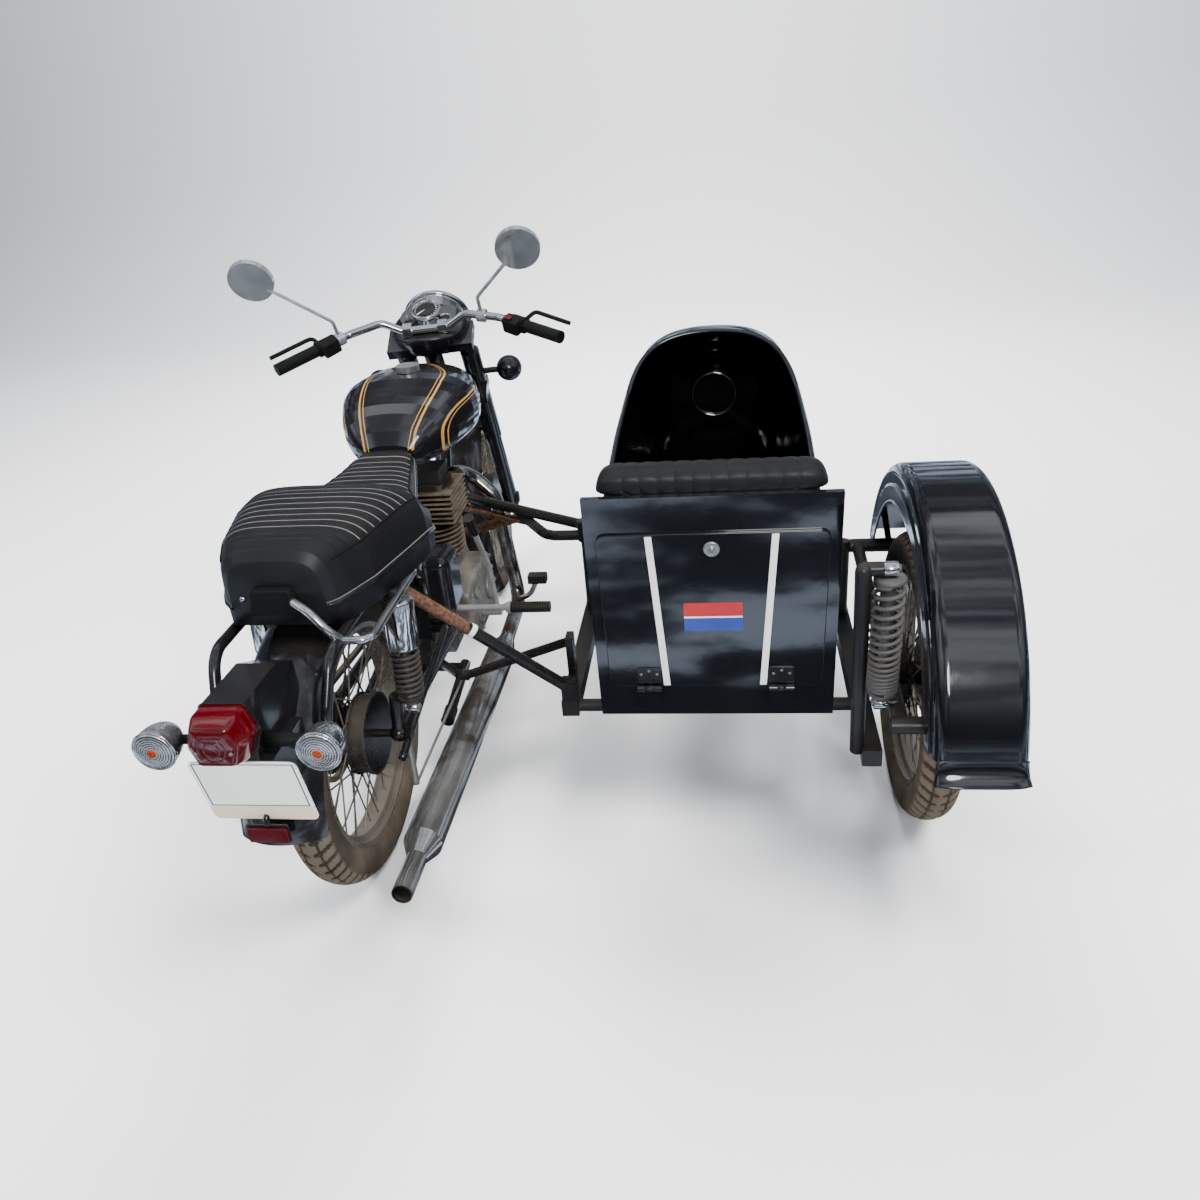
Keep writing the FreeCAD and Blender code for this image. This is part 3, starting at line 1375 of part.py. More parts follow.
def make_tank():
    """The teardrop tank, with the tunnel that lies on the frame's top tube."""
    body = shaped(lofted(smoothed(TANK_SHARES, 3), D.tank_rear_forward, D.tank_length, D.tank_half_width, D.tank_low, D.tank_high, 0.72))
    start = on_head(D.top_tube_head_height, -D.stem_radius)
    end = point(0, D.top_tube_rear_forward, D.top_tube_rear_height)
    rise = (start[2] - end[2]) / (start[1] - end[1])
    rear = D.tank_rear_forward - D.overrun
    front = D.tank_rear_forward + D.tank_length + D.overrun
    clear = (D.frame_tube_radius + D.seat_gap) * ((rise * rise + 1).root())
    rear_top = end[2] + (rear - end[1]) * rise + clear
    front_top = end[2] + (front - end[1]) * rise + clear
    tunnel = padded("YZ_Plane", [(rear, D.tank_low - D.overrun), (front, D.tank_low - D.overrun),
                                 (front, front_top), (rear, rear_top)],
                    -D.tank_tunnel_half_width, D.tank_tunnel_half_width)
    return without(body, joined([tunnel, ball(end, D.frame_tube_radius + D.overrun)]))


def make_cap():
    """The filler cap on the crown of the tank."""
    foot = D.tank_high + D.seat_gap
    return rod(point(0, D.cap_forward, foot), point(0, D.cap_forward, foot + D.cap_height), D.cap_radius)


def make_seat():
    """The two-stage dual seat, flat below where it lies on its rails."""
    wires = []
    for station, width_share, low_share, high_share in SEAT_SHARES:
        low = float(D.seat_low) + float(D.seat_high - D.seat_low) * low_share
        high = float(D.seat_low) + float(D.seat_high - D.seat_low) * high_share
        wires.append(flat_section(-float(D.seat_rear_back) + float(D.seat_length) * station,
                                  float(D.seat_half_width) * width_share, low, high, 0.7))
    return shaped(Part.makeLoft(wires, True, True))


node("fuel_tank", make_tank())
node("filler_cap", make_cap())
node("seat", make_seat())


def make_grab_rail():
    """The chrome handle round the rear right corner of the seat."""
    start = D.rail_spread + D.rail_radius + D.seat_gap
    height = D.rail_height
    points = [point(start, D.grab_front, height), point(D.grab_spread, D.grab_front, height),
              point(D.grab_spread, -D.grab_back, height), point(start, -D.grab_back, height)]
    return bent_bar(points, D.grab_radius, D.grab_radius * 3)


def make_rear_mudguard():
    """The crowned rear guard with the sheet housing that carries lamp and plate."""
    centre = point(0, -D.mudguard_centre_back, D.mudguard_centre_height)
    w, edge, sheet_wall = D.mudguard_half_width, D.mudguard_radius - D.mudguard_drop, D.sheet
    shell = guard(fender_outline(w, D.mudguard_radius, D.mudguard_drop, sheet_wall),
                  centre, D.mudguard_front_angle, D.mudguard_rear_angle)
    slope = math.tan(math.radians(D.plate_lean_angle))
    carrier_foot = -D.housing_rear_back + (D.carrier_high - D.carrier_low) * slope
    throat = -D.housing_front_back - D.housing_half_width
    hood = padded("YZ_Plane", [
        (-D.housing_front_back, D.housing_front_low), (-D.housing_front_back, D.housing_high - D.housing_half_width / 2),
        (throat, D.housing_high), (-D.housing_rear_back, D.lamp_height + D.lamp_half_height),
        (-D.housing_rear_back, D.carrier_high), (carrier_foot, D.carrier_low), (throat, D.carrier_low)],
        -D.hood_half_width, D.hood_half_width)
    carrier = padded("YZ_Plane", [
        (throat, D.carrier_low), (throat, D.carrier_high), (-D.housing_rear_back, D.carrier_high), (carrier_foot, D.carrier_low)],
        -D.housing_half_width, D.housing_half_width)
    core = revolved([(-w * 2, Size(9)), (w * 2, Size(9)), (w * 2, edge), (w - sheet_wall / 2, edge - sheet_wall / 2),
                     (w - sheet_wall, edge - sheet_wall, (Size(0), D.mudguard_radius - sheet_wall)),
                     (-w + sheet_wall, edge - sheet_wall), (-w + sheet_wall / 2, edge - sheet_wall / 2), (-w * 2, edge)], centre)
    return joined([shell, without(joined([hood, carrier]), core)])


def make_tail_lamp():
    """The faceted red lamp and the small reflector below the plate."""
    front = -D.housing_rear_back - D.seat_gap
    rear = -D.lamp_back - D.lamp_depth / 2
    w, h = D.lamp_half_width, D.lamp_half_height
    facet = w * 0.7
    lamp = padded("XZ_Plane", [
        (-w, D.lamp_height), (-facet, D.lamp_height - h), (facet, D.lamp_height - h),
        (w, D.lamp_height), (facet, D.lamp_height + h), (-facet, D.lamp_height + h)], rear, front)
    reflector = block(point(-D.reflector_half_width, -D.reflector_back - D.reflector_depth, D.reflector_height - D.reflector_half_height),
                      point(D.reflector_half_width, -D.reflector_back, D.reflector_height + D.reflector_half_height))
    stem_low = D.reflector_height - D.indicator_stem_radius
    rise = stem_low - D.mudguard_centre_height
    guard_face = D.mudguard_centre_back + (D.mudguard_radius * D.mudguard_radius - rise * rise).root()
    stem = rod(point(0, -D.reflector_back - D.reflector_depth / 2, D.reflector_height),
               point(0, -guard_face - D.seat_gap, D.reflector_height), D.indicator_stem_radius)
    return joined([lamp, joined([reflector, stem])])


def make_plate():
    """The blank number plate with its two bolt holes, leaning back at the top."""
    lean = Rotation(Vector(1, 0, 0), float(D.plate_lean_angle))
    plate = block(point(-D.plate_half_width, -D.plate_thickness, -D.plate_height), point(D.plate_half_width, 0, 0))
    level = -D.plate_height / 5
    for side in (-1, 1):
        plate = without(plate, rod(point(side * D.plate_hole_spread, -D.plate_thickness - D.overrun, level),
                                   point(side * D.plate_hole_spread, D.overrun, level), D.plate_hole_radius))
    plate.Placement = Placement(Vector(0, -float(D.plate_top_back), float(D.plate_top_height)), lean)
    return plate


def make_rear_indicators():
    def one(side):
        back = -D.indicator_back
        height = D.indicator_height
        spread = side * D.indicator_spread
        shell = cone(point(spread, back + D.indicator_length / 2, height), point(spread, back - D.indicator_length / 2, height),
                     D.indicator_radius / 2, D.indicator_radius)
        stem = rod(point(side * (D.hood_half_width + D.seat_gap), back, height), point(spread, back, height), D.indicator_stem_radius)
        return joined([shell, stem])
    return joined(mirrored_pair(one))


node("grab_rail", make_grab_rail())
node("rear_mudguard", make_rear_mudguard())
node("tail_lamp", make_tail_lamp())
node("number_plate", make_plate())
node("rear_indicators", make_rear_indicators())


def make_fork():
    """Both legs with their covers, the two yokes, the stem and the front axle."""
    pieces = []
    for side in (-1, 1):
        x = side * D.fork_leg_spread
        y = D.fork_offset
        pieces.append(rod(point(x, y, -D.slider_low), point(x, y, D.slider_high), D.slider_radius))
        pieces.append(rod(point(x, y, D.slider_high), point(x, y, D.fork_cover_high), D.fork_cover_radius))
        pieces.append(rod(point(x, y, D.fork_cover_high), point(x, y, D.yoke_high + D.yoke_thickness), D.stanchion_radius))
        pieces.append(rod(point(x - D.slider_radius - D.overrun, y, 0), point(x + D.slider_radius + D.overrun, y, 0), D.fork_lug_radius))
    for level in (D.yoke_low, D.yoke_high):
        pieces.append(block(point(-D.yoke_half_width, -D.yoke_rear, level), point(D.yoke_half_width, D.yoke_front, level + D.yoke_thickness)))
    pieces.append(rod(point(0, 0, D.yoke_low), point(0, 0, D.yoke_high + D.yoke_thickness), D.stem_radius))
    pieces.append(rod(point(-D.fork_leg_spread, D.fork_offset, 0), point(D.fork_leg_spread, D.fork_offset, 0), D.axle_radius))
    return joined(pieces)


def make_nacelle():
    """The shell round the fork top that carries lamp and instruments."""
    face = D.fork_offset + D.fork_cover_radius + D.seat_gap
    shell = block(point(-D.nacelle_half_width, face, D.nacelle_low), point(D.nacelle_half_width, D.nacelle_front, D.nacelle_high))
    top = block(point(-D.nacelle_half_width, -D.nacelle_rear, D.yoke_high + D.yoke_thickness + D.seat_gap),
                point(D.nacelle_half_width, D.nacelle_front, D.nacelle_high))
    return joined([shell, top])


def make_headlamp():
    """The headlamp: bowl, chrome rim and domed glass."""
    start = D.nacelle_front + D.seat_gap
    centre = point(0, start, D.headlamp_height)
    return joined([rod(centre, point(0, start + D.headlamp_depth / 2, D.headlamp_height), D.headlamp_radius),
                   ring(point(0, start + D.headlamp_depth / 2, D.headlamp_height), (0, 1, 0), D.headlamp_radius, D.headlamp_rim)])


def make_instruments():
    """The dial panel with speedometer, ammeter and ignition switch."""
    foot = D.nacelle_high + D.seat_gap
    middle = D.panel_forward
    panel = block(point(-D.panel_half_width, middle - D.panel_half_depth, foot), point(D.panel_half_width, middle + D.panel_half_depth, foot + D.panel_thickness))
    speedo = rod(point(0, middle, foot), point(0, middle, foot + D.dial_height), D.dial_radius)
    ammeter = rod(point(D.panel_half_width - D.small_dial_radius, middle - D.panel_half_depth / 2, foot),
                  point(D.panel_half_width - D.small_dial_radius, middle - D.panel_half_depth / 2, foot + D.dial_height / 2), D.small_dial_radius)
    return joined([panel, speedo, ammeter])


def bar_points(side):
    return [point(side * D.bar_clamp_spread, D.bar_clamp_forward, D.bar_clamp_height),
            point(side * D.bar_peak_spread, D.bar_peak_forward, D.bar_peak_height),
            point(side * D.bar_knee_spread, D.bar_knee_forward, D.bar_knee_height),
            point(side * D.bar_end_spread, D.bar_end_forward, D.bar_end_height)]


def make_handlebar():
    """One bar bent up from its two risers and back to the grips."""
    left = list(reversed(bar_points(-1)))
    foot = D.nacelle_high + D.seat_gap
    risers = [block(point(side * D.bar_riser_spread - D.bar_riser_half, D.bar_clamp_forward - D.bar_riser_half, foot),
                    point(side * D.bar_riser_spread + D.bar_riser_half, D.bar_clamp_forward + D.bar_riser_half, D.bar_riser_high))
              for side in (-1, 1)]
    return joined([bent_bar(left + bar_points(1), D.bar_radius, D.bar_bend_radius)] + risers)


def make_hand_controls():
    """Grips, switch housings and the levers ahead of them."""
    def one(side):
        knee = vector(bar_points(side)[2])
        end = vector(bar_points(side)[3])
        axis = (end - knee).normalize()
        ahead = Vector(axis.y, -axis.x, 0) * (-side)
        ahead.normalize()
        def along(reach, out=0, up=0):
            place = end - axis * float(reach) + ahead * float(out)
            return point(place.x, place.y, place.z + float(up))
        bore = rod(along(-D.overrun), along(D.grip_length + D.switch_length + D.overrun), D.bar_radius + D.seat_gap)
        grip = rod(along(0), along(D.grip_length), D.grip_radius)
        switch = rod(along(D.grip_length), along(D.grip_length + D.switch_length), D.switch_radius)
        root = D.grip_length + D.switch_length * 0.4
        lever = bent_bar([along(root), along(root, D.lever_reach), along(D.lever_radius * 2, D.lever_reach * 0.85, D.lever_radius)],
                         D.lever_radius, D.lever_radius * 2)
        return without(joined([grip, switch, lever]), bore)
    return joined(mirrored_pair(one))


def make_mirrors():
    """Round mirrors on stems, each clamped to the bar by a collar."""
    def one(side):
        clamp, peak, knee, end = bar_points(side)
        start, stop = (knee, end) if side < 0 else (peak, knee)
        share = D.mirror_left_share if side < 0 else D.mirror_right_share
        spread = D.mirror_left_spread if side < 0 else D.mirror_right_spread
        half = D.collar_half_length / distance(start, stop)
        centre = point(side * spread, D.mirror_forward, D.mirror_height)
        sleeve = rod(between(start, stop, share - half), between(start, stop, share + half), D.bar_radius + D.collar_wall)
        bore = rod(between(start, stop, share - half * 2), between(start, stop, share + half * 2), D.bar_radius + D.seat_gap)
        disc = rod(point(centre[0], centre[1] - D.mirror_depth / 2, centre[2]), point(centre[0], centre[1] + D.mirror_depth / 2, centre[2]), D.mirror_radius)
        foot = between(start, stop, share)
        stem = bent_bar([foot, point(foot[0], foot[1], foot[2] + D.mirror_stem_rise), centre], D.mirror_stem_radius, D.mirror_stem_radius * 4)
        return without(joined([disc, sleeve, stem]), bore)
    return joined(mirrored_pair(one))


def make_front_mudguard():
    """The narrow front guard with the two bosses that meet the fork's legs."""
    shell = guard(fender_outline(D.front_mudguard_half_width, D.front_mudguard_radius, D.front_mudguard_drop, D.sheet),
                  front_axle, D.front_mudguard_front_angle, D.front_mudguard_rear_angle)
    edge = D.front_mudguard_radius - D.front_mudguard_drop
    reach = D.fork_leg_spread - D.fork_cover_radius - D.seat_gap
    bosses = [rod(point(side * (D.front_mudguard_half_width - D.sheet * 2), D.fork_offset, edge),
                  point(side * reach, D.fork_offset, edge), D.grab_radius) for side in (-1, 1)]
    return joined([shell] + bosses)


def make_front_indicators():
    def one(side):
        x = side * D.front_indicator_spread
        y = D.fork_offset
        stem = rod(point(side * (D.fork_leg_spread + D.fork_cover_radius + D.seat_gap), y, D.front_indicator_height),
                   point(x, y, D.front_indicator_height), D.indicator_stem_radius)
        return joined([stem, ball(point(x, y, D.front_indicator_height), D.indicator_radius)])
    return joined(mirrored_pair(one))


steered = {
    "fork": make_fork(), "nacelle": make_nacelle(), "headlamp": make_headlamp(),
    "instruments": make_instruments(), "handlebar": make_handlebar(),
    "hand_controls": make_hand_controls(), "mirrors": make_mirrors(),
    "front_mudguard": make_front_mudguard(), "front_indicators": make_front_indicators(),
}
for label, feature in steered.items():
    node(label, feature)


# Stations of the sidecar's body from the rear panel to the nose, as shares of its length, of its
# half-width, and of the height between its floor and the top of the arch.
TUB_SHARES = ((0.0, 0.97, 0.0, 0.98), (0.30, 1.0, 0.0, 1.0), (0.57, 0.99, 0.01, 1.0), (0.78, 0.92, 0.08, 0.93),
              (0.92, 0.80, 0.20, 0.84), (1.0, 0.62, 0.34, 0.72))


def make_sidecar_rails():
    """The two long rails, the wheel-side one with its post and pivot bracket, and the strut post
    on the inner one."""
    half = D.chassis_rail_half
    z = D.chassis_height
    left = block(point(D.left_rail_spread - half, D.left_rail_rear, z - half), point(D.left_rail_spread + half, D.rail_front, z + half))
    right = block(point(D.right_rail_spread - half, D.right_rail_rear, z - half), point(D.right_rail_spread + half, D.rail_front, z + half))
    post = rod(point(D.post_spread + half, D.post_foot_forward, z), point(D.post_spread, -D.post_top_back, D.post_top_height), D.post_radius)
    bolt = rod(point(D.post_spread, -D.side_shock_top_back, D.post_top_height),
               point(D.side_shock_spread - D.shock_eye_half_width - D.seat_gap, -D.side_shock_top_back, D.post_top_height),
               D.shock_lug_radius)
    cap = ball(point(D.post_spread, -D.post_top_back, D.post_top_height), D.post_radius)
    bracket = rod(point(D.right_rail_spread, D.side_pivot_forward, z), point(D.right_rail_spread, D.side_pivot_forward, D.side_pivot_height + D.post_radius), D.post_radius)
    strut_post = rod(point(D.left_rail_spread, D.strut_post_forward, z), point(D.left_rail_spread, D.strut_post_forward, D.strut_post_high), D.post_radius)
    return joined([joined([left, strut_post]), joined([right, post, bolt, cap, bracket])])


def make_cross_tubes():
    """Three tubes between the rails, with the pads that carry the body."""
    half = D.chassis_rail_half + D.seat_gap
    tubes = []
    for y in (D.cross_rear, D.cross_middle, D.cross_front):
        tube = rod(point(D.left_rail_spread + half, y, D.chassis_height), point(D.right_rail_spread - half, y, D.chassis_height), D.cross_tube_radius)
        pads = [block(point(D.sidecar_middle + side * D.pad_spread - D.pad_half, y - D.pad_half, D.chassis_height),
                      point(D.sidecar_middle + side * D.pad_spread + D.pad_half, y + D.pad_half, D.tub_low + D.pad_reach)) for side in (-1, 1)]
        tubes.append(joined([tube] + pads))
    return without(joined(tubes), tub_shell(-D.seat_gap))


def make_struts():
    """The struts that hold the sidecar to the motorcycle."""
    post = (D.left_rail_spread, D.strut_post_forward)
    wall = D.collar_wall
    tube, upright = D.frame_tube_radius, D.post_radius
    upper_end = point(post[0], post[1], D.upper_strut_height)
    lower_end = point(post[0], post[1], D.lower_strut_height)
    post_sleeve = rod(point(post[0], post[1], D.lower_strut_height - D.strut_radius),
                      point(post[0], post[1], D.upper_strut_height + D.strut_radius), upright + wall)
    head = D.upper_strut_head_height
    upper_front = rod(down_tube_at(head), upper_end, D.strut_radius)
    head_sleeve = rod(down_tube_at(head - D.strut_radius), down_tube_at(head + D.strut_radius), tube + wall)
    face = D.engine_mount_half_width + D.seat_gap
    mount = point(face, D.down_tube_foot_forward, D.lower_strut_foot_height)
    disc = rod(mount, point(face + D.strut_radius, D.down_tube_foot_forward, D.lower_strut_foot_height), D.strut_radius + D.sheet)
    knee = point(D.lower_strut_knee_spread, D.lower_strut_knee_forward, D.lower_strut_knee_height)
    elbow = point(D.lower_strut_elbow_spread, post[1], D.lower_strut_height)
    lower_front = bent_bar([point(face + D.grab_radius, D.down_tube_foot_forward, D.lower_strut_foot_height), knee, elbow, lower_end],
                           D.strut_radius, D.rail_bend_radius)
    level = D.turnbuckle_height
    turn_end = between(knee, elbow, D.turnbuckle_share)
    turn_start = down_tube_at(level)
    turnbuckle = [rod(turn_start, turn_end, D.rod_radius),
                  rod(down_tube_at(level - D.rod_radius), down_tube_at(level + D.rod_radius), tube + wall),
                  rod(between(turn_start, turn_end, 0.42), between(turn_start, turn_end, 0.68), D.rod_radius + D.sheet)]
    bores = [rod(down_tube_at(D.down_tube_foot_height + D.overrun), down_tube_at(head + D.strut_radius * 2), tube + D.seat_gap),
             rod(point(post[0], post[1], D.chassis_height), point(post[0], post[1], D.strut_post_high + D.overrun), upright + D.seat_gap)]
    front = without(joined([upper_front, head_sleeve, post_sleeve, lower_front, disc] + turnbuckle), joined(bores))

    rail_top = D.chassis_height + D.chassis_rail_half + D.seat_gap
    lug_top = D.rail_height - D.rail_radius - D.seat_gap
    half = D.strut_radius + D.sheet
    lug = block(point(D.rail_spread - half, D.rear_strut_forward - half, lug_top - half * 2),
                point(D.rail_spread + half, D.rear_strut_forward + half, lug_top))
    foot = point(D.left_rail_spread, D.left_rail_rear + half, rail_top)
    clevis = block(point(foot[0] - half, foot[1] - half, rail_top), point(foot[0] + half, foot[1] + half, rail_top + half * 3))
    rear_upper = joined([lug, clevis, rod(point(D.rail_spread, D.rear_strut_forward, lug_top - half),
                                          point(foot[0], foot[1], rail_top + half * 1.6), D.strut_radius)])
    start = D.lower_bracket_spread + D.rail_radius + D.seat_gap
    lower_disc = rod(point(start, D.lower_bracket_forward, D.lower_bracket_height),
                     point(start + D.strut_radius, D.lower_bracket_forward, D.lower_bracket_height), D.strut_radius)
    tip = point(D.left_rail_spread, D.lower_strut_rear_forward, D.lower_strut_rear_height)
    upright_lug = block(point(tip[0] - half / 2, tip[1] - half, rail_top), point(tip[0] + half / 2, tip[1] + half, tip[2] + half))
    rear_lower = joined([lower_disc, upright_lug,
                         rod(point(start + D.strut_radius * 0.75, D.lower_bracket_forward, D.lower_bracket_height), tip, D.strut_radius * 0.8)])
    return joined([front, rear_upper, rear_lower])


def make_side_swing_arm():
    """The loop that carries the sidecar wheel: pivot tube, two legs, rear bar and axle, with the
    stays that hold the fender over the wheel."""
    half = D.side_arm_half
    cross = half * 1.15
    past = half + D.sheet * 2
    legs = []
    for x in (D.side_arm_inner, D.side_arm_outer):
        front = point(x, D.side_pivot_forward, D.side_pivot_height)
        rear = point(x, D.side_arm_rear, D.side_arm_rear_height)
        legs.append(rod(front, rear, half))
        slope = (D.side_pivot_height - D.side_arm_rear_height) / (D.side_pivot_forward - D.side_arm_rear)
        level = D.side_arm_rear_height + (D.sidecar_lead - D.side_arm_rear) * slope
        legs.append(rod(point(x, D.sidecar_lead, level), point(x, D.sidecar_lead, D.tyre_radius - D.axle_nut_radius), half * 0.85))
    pivot = rod(point(D.right_rail_spread + D.post_radius + D.seat_gap, D.side_pivot_forward, D.side_pivot_height),
                point(D.side_arm_outer + past, D.side_pivot_forward, D.side_pivot_height), cross)
    bar = rod(point(D.side_arm_inner - past, D.side_arm_rear, D.side_arm_rear_height),
              point(D.side_arm_outer + past, D.side_arm_rear, D.side_arm_rear_height), cross)
    axle = rod(point(D.side_arm_inner, D.sidecar_lead, D.tyre_radius), point(D.side_arm_outer, D.sidecar_lead, D.tyre_radius), D.axle_radius)
    bolt = rod(point(D.side_shock_spread + D.shock_eye_half_width + D.seat_gap, -D.side_shock_low_back, D.side_shock_low_height),
               point(D.side_arm_inner, -D.side_shock_low_back, D.side_shock_low_height), D.rod_radius)
    stays = []
    reach = D.fender_radius - D.sheet - D.seat_gap
    for y, z in ((D.side_arm_rear, D.side_arm_rear_height), (D.side_pivot_forward, D.side_pivot_height)):
        run = ((y - D.sidecar_lead) * (y - D.sidecar_lead) + (z - D.tyre_radius) * (z - D.tyre_radius)).root()
        tip_y = D.sidecar_lead + (y - D.sidecar_lead) * reach / run
        tip_z = D.tyre_radius + (z - D.tyre_radius) * reach / run
        for x in (D.fender_inner + D.fender_stay_inset, D.fender_outer - D.fender_stay_inset):
            stays.append(rod(point(x, y, z), point(x, tip_y, tip_z), D.grab_radius))
    return joined(legs + [pivot, bar, axle, bolt] + stays)


def make_side_shock():
    return shock(point(D.side_shock_spread, -D.side_shock_top_back, D.post_top_height),
                 point(D.side_shock_spread, -D.side_shock_low_back, D.side_shock_low_height),
                 D.shock_eye_radius, D.shock_eye_half_width)


def make_fender():
    """The deep fender: crown and both side walls bent from one sheet."""
    def outline(inset):
        radius = D.fender_radius - inset
        low = D.fender_radius - D.fender_valance
        left = -(D.fender_outer - D.fender_inner) / 2 + inset
        right = (D.fender_outer - D.fender_inner) / 2 - inset
        corner = D.fender_corner
        middle = corner * (1 - math.sqrt(0.5))
        return [(left, low), (left, radius - corner, (left + middle, radius - middle)), (left + corner, radius),
                (right - corner, radius, (right - middle, radius - middle)), (right, radius - corner), (right, low)]
    centre = point((D.fender_outer + D.fender_inner) / 2, D.sidecar_lead, D.tyre_radius)
    return guard(outline(Size(0)) + reversed_run(outline(D.sheet)), centre, D.fender_front_angle, D.fender_rear_angle)


def make_tub():
    """The sidecar's body: a hollow shell with a round nose, open over the seat."""
    top = D.arch_high + D.overrun
    rear = D.tub_rear - D.overrun
    opening = padded("YZ_Plane", [
        (rear, D.rim_rear_height), (D.rim_front_forward, D.rim_front_height), (D.arch_forward, top), (rear, top)],
        D.sidecar_middle - D.tub_half_width - D.overrun, D.sidecar_middle + D.tub_half_width + D.overrun)
    lamp_hole = rod(point(D.sidecar_middle, D.nose_forward - D.overrun * 2, D.nose_ring_height),
                    point(D.sidecar_middle, D.nose_forward + D.overrun, D.nose_ring_height), D.nose_lamp_radius + D.seat_gap)
    return without(without(tub_shell(0), tub_shell(D.tub_wall)), joined([opening, lamp_hole]))


def make_rear_panel():
    """The flat rear panel with the opening behind the boot lid and the fixed hinge knuckles."""
    m = D.sidecar_middle
    face = D.tub_rear - D.seat_gap - D.panel_depth
    panel = padded("XZ_Plane", [(m - D.panel_low_half_width, D.panel_low), (m + D.panel_low_half_width, D.panel_low),
                                (m + D.panel_top_half_width, D.panel_high), (m - D.panel_top_half_width, D.panel_high)],
                   face, D.tub_rear - D.seat_gap)
    rebate = D.lid_gap * 2
    hole = padded("XZ_Plane", [(m - D.lid_low_half_width + rebate, D.lid_low + rebate), (m + D.lid_low_half_width - rebate, D.lid_low + rebate),
                               (m + D.lid_top_half_width - rebate, D.lid_high - rebate), (m - D.lid_top_half_width + rebate, D.lid_high - rebate)],
                  face - D.overrun, D.tub_rear + D.overrun)
    axis = lid_hinge_back()
    knuckles = []
    for side in (-1, 1):
        x = m + side * D.lid_hinge_spread
        knuckles.append(block(point(x - D.lid_hinge_half_length, axis + D.lid_hinge_radius, D.lid_low - D.lid_leaf_height),
                              point(x + D.lid_hinge_half_length, face + D.running_gap, D.lid_low - D.running_gap * 2)))
        for end in (-1, 1):
            inner, outer = x + end * (D.lid_knuckle_half + D.running_gap), x + end * D.lid_hinge_half_length
            knuckles.append(rod(point(inner, axis, D.lid_low), point(outer, axis, D.lid_low), D.lid_hinge_radius))
            low_x, high_x = (inner, outer) if end > 0 else (outer, inner)
            knuckles.append(block(point(low_x, axis, D.lid_low - D.lid_hinge_radius),
                                  point(high_x, face + D.running_gap, D.lid_low - D.running_gap * 2)))
    return joined([without(panel, hole)] + knuckles)


def make_boot_lid():
    """The lid with its two white strips, lock, blank sign and the two hinges along its lower edge."""
    m = D.sidecar_middle
    face = D.tub_rear - D.seat_gap * 2 - D.panel_depth - D.lid_thickness
    lid = padded("XZ_Plane", [(m - D.lid_low_half_width, D.lid_low), (m + D.lid_low_half_width, D.lid_low),
                              (m + D.lid_top_half_width, D.lid_high), (m - D.lid_top_half_width, D.lid_high)],
                 face, face + D.lid_thickness)
    pieces = [lid]
    axis = lid_hinge_back()
    for side in (-1, 1):
        top = m + side * D.lid_strip_top_spread
        low = m + side * D.lid_strip_low_spread
        w = D.lid_strip_half_width
        pieces.append(padded("XZ_Plane", [(low - w, D.lid_low), (low + w, D.lid_low), (top + w, D.lid_high), (top - w, D.lid_high)],
                             face - D.lid_strip_thickness, face))
        x = m + side * D.lid_hinge_spread
        pieces.append(rod(point(x - D.lid_knuckle_half, axis, D.lid_low), point(x + D.lid_knuckle_half, axis, D.lid_low), D.lid_hinge_radius))
        pieces.append(block(point(x - D.lid_knuckle_half, axis, D.lid_low), point(x + D.lid_knuckle_half, face, D.lid_low + D.lid_hinge_radius)))
        pieces.append(block(point(x - D.lid_hinge_half_length, face - D.lid_strip_thickness, D.lid_low + D.lid_hinge_radius + D.overrun),
                            point(x + D.lid_hinge_half_length, face, D.lid_low + D.lid_leaf_height)))
        pieces.append(block(point(x - D.lid_knuckle_half, face - D.lid_strip_thickness, D.lid_low + D.lid_hinge_radius / 2),
                            point(x + D.lid_knuckle_half, face, D.lid_low + D.lid_leaf_height)))
    pieces.append(rod(point(m, face, D.lock_height), point(m, face - D.lock_depth, D.lock_height), D.lock_radius))
    pieces.append(block(point(m - D.sign_half_width, face - D.sign_thickness, D.sign_height - D.sign_half_height),
                        point(m + D.sign_half_width, face, D.sign_height + D.sign_half_height)))
    return joined(pieces)


def bulkhead_at(height):
    """How far forward the bulkhead's rear face lies at a height."""
    slope = (D.bulkhead_foot_forward - D.bulkhead_top_forward) / (D.bulkhead_top_height - D.seat_base_height)
    return D.bulkhead_top_forward + (D.bulkhead_top_height - height) * slope


def make_seat_box():
    """The folded sheet inside the tub: sloping bulkhead, seat base and riser."""
    wall = D.tub_wall
    m = D.sidecar_middle
    sheet_form = padded("YZ_Plane", [
        (D.bulkhead_top_forward, D.bulkhead_top_height), (D.bulkhead_foot_forward, D.seat_base_height - wall),
        (D.seat_base_front, D.seat_base_height - wall), (D.seat_base_front, D.tub_low),
        (D.seat_base_front + wall, D.tub_low), (D.seat_base_front + wall, D.seat_base_height),
        (D.bulkhead_foot_forward + wall, D.seat_base_height), (D.bulkhead_top_forward + wall, D.bulkhead_top_height)],
        m - D.tub_half_width, m + D.tub_half_width)
    return within(sheet_form, tub_shell(D.tub_wall + D.seat_gap))


def make_backrest():
    """The upright cushion, leaning on the bulkhead."""
    m = D.sidecar_middle
    start = D.tub_wall + D.seat_gap * 2
    form = padded("YZ_Plane", [
        (bulkhead_at(D.backrest_low) + start, D.backrest_low),
        (bulkhead_at(D.backrest_low) + start + D.backrest_depth, D.backrest_low),
        (bulkhead_at(D.backrest_high) + start + D.backrest_depth * 1.2, D.backrest_high),
        (bulkhead_at(D.backrest_high) + D.backrest_depth / 3, D.backrest_high)],
        m - D.tub_half_width, m + D.tub_half_width)
    return within(form, tub_shell(D.tub_wall + D.soft_gap))


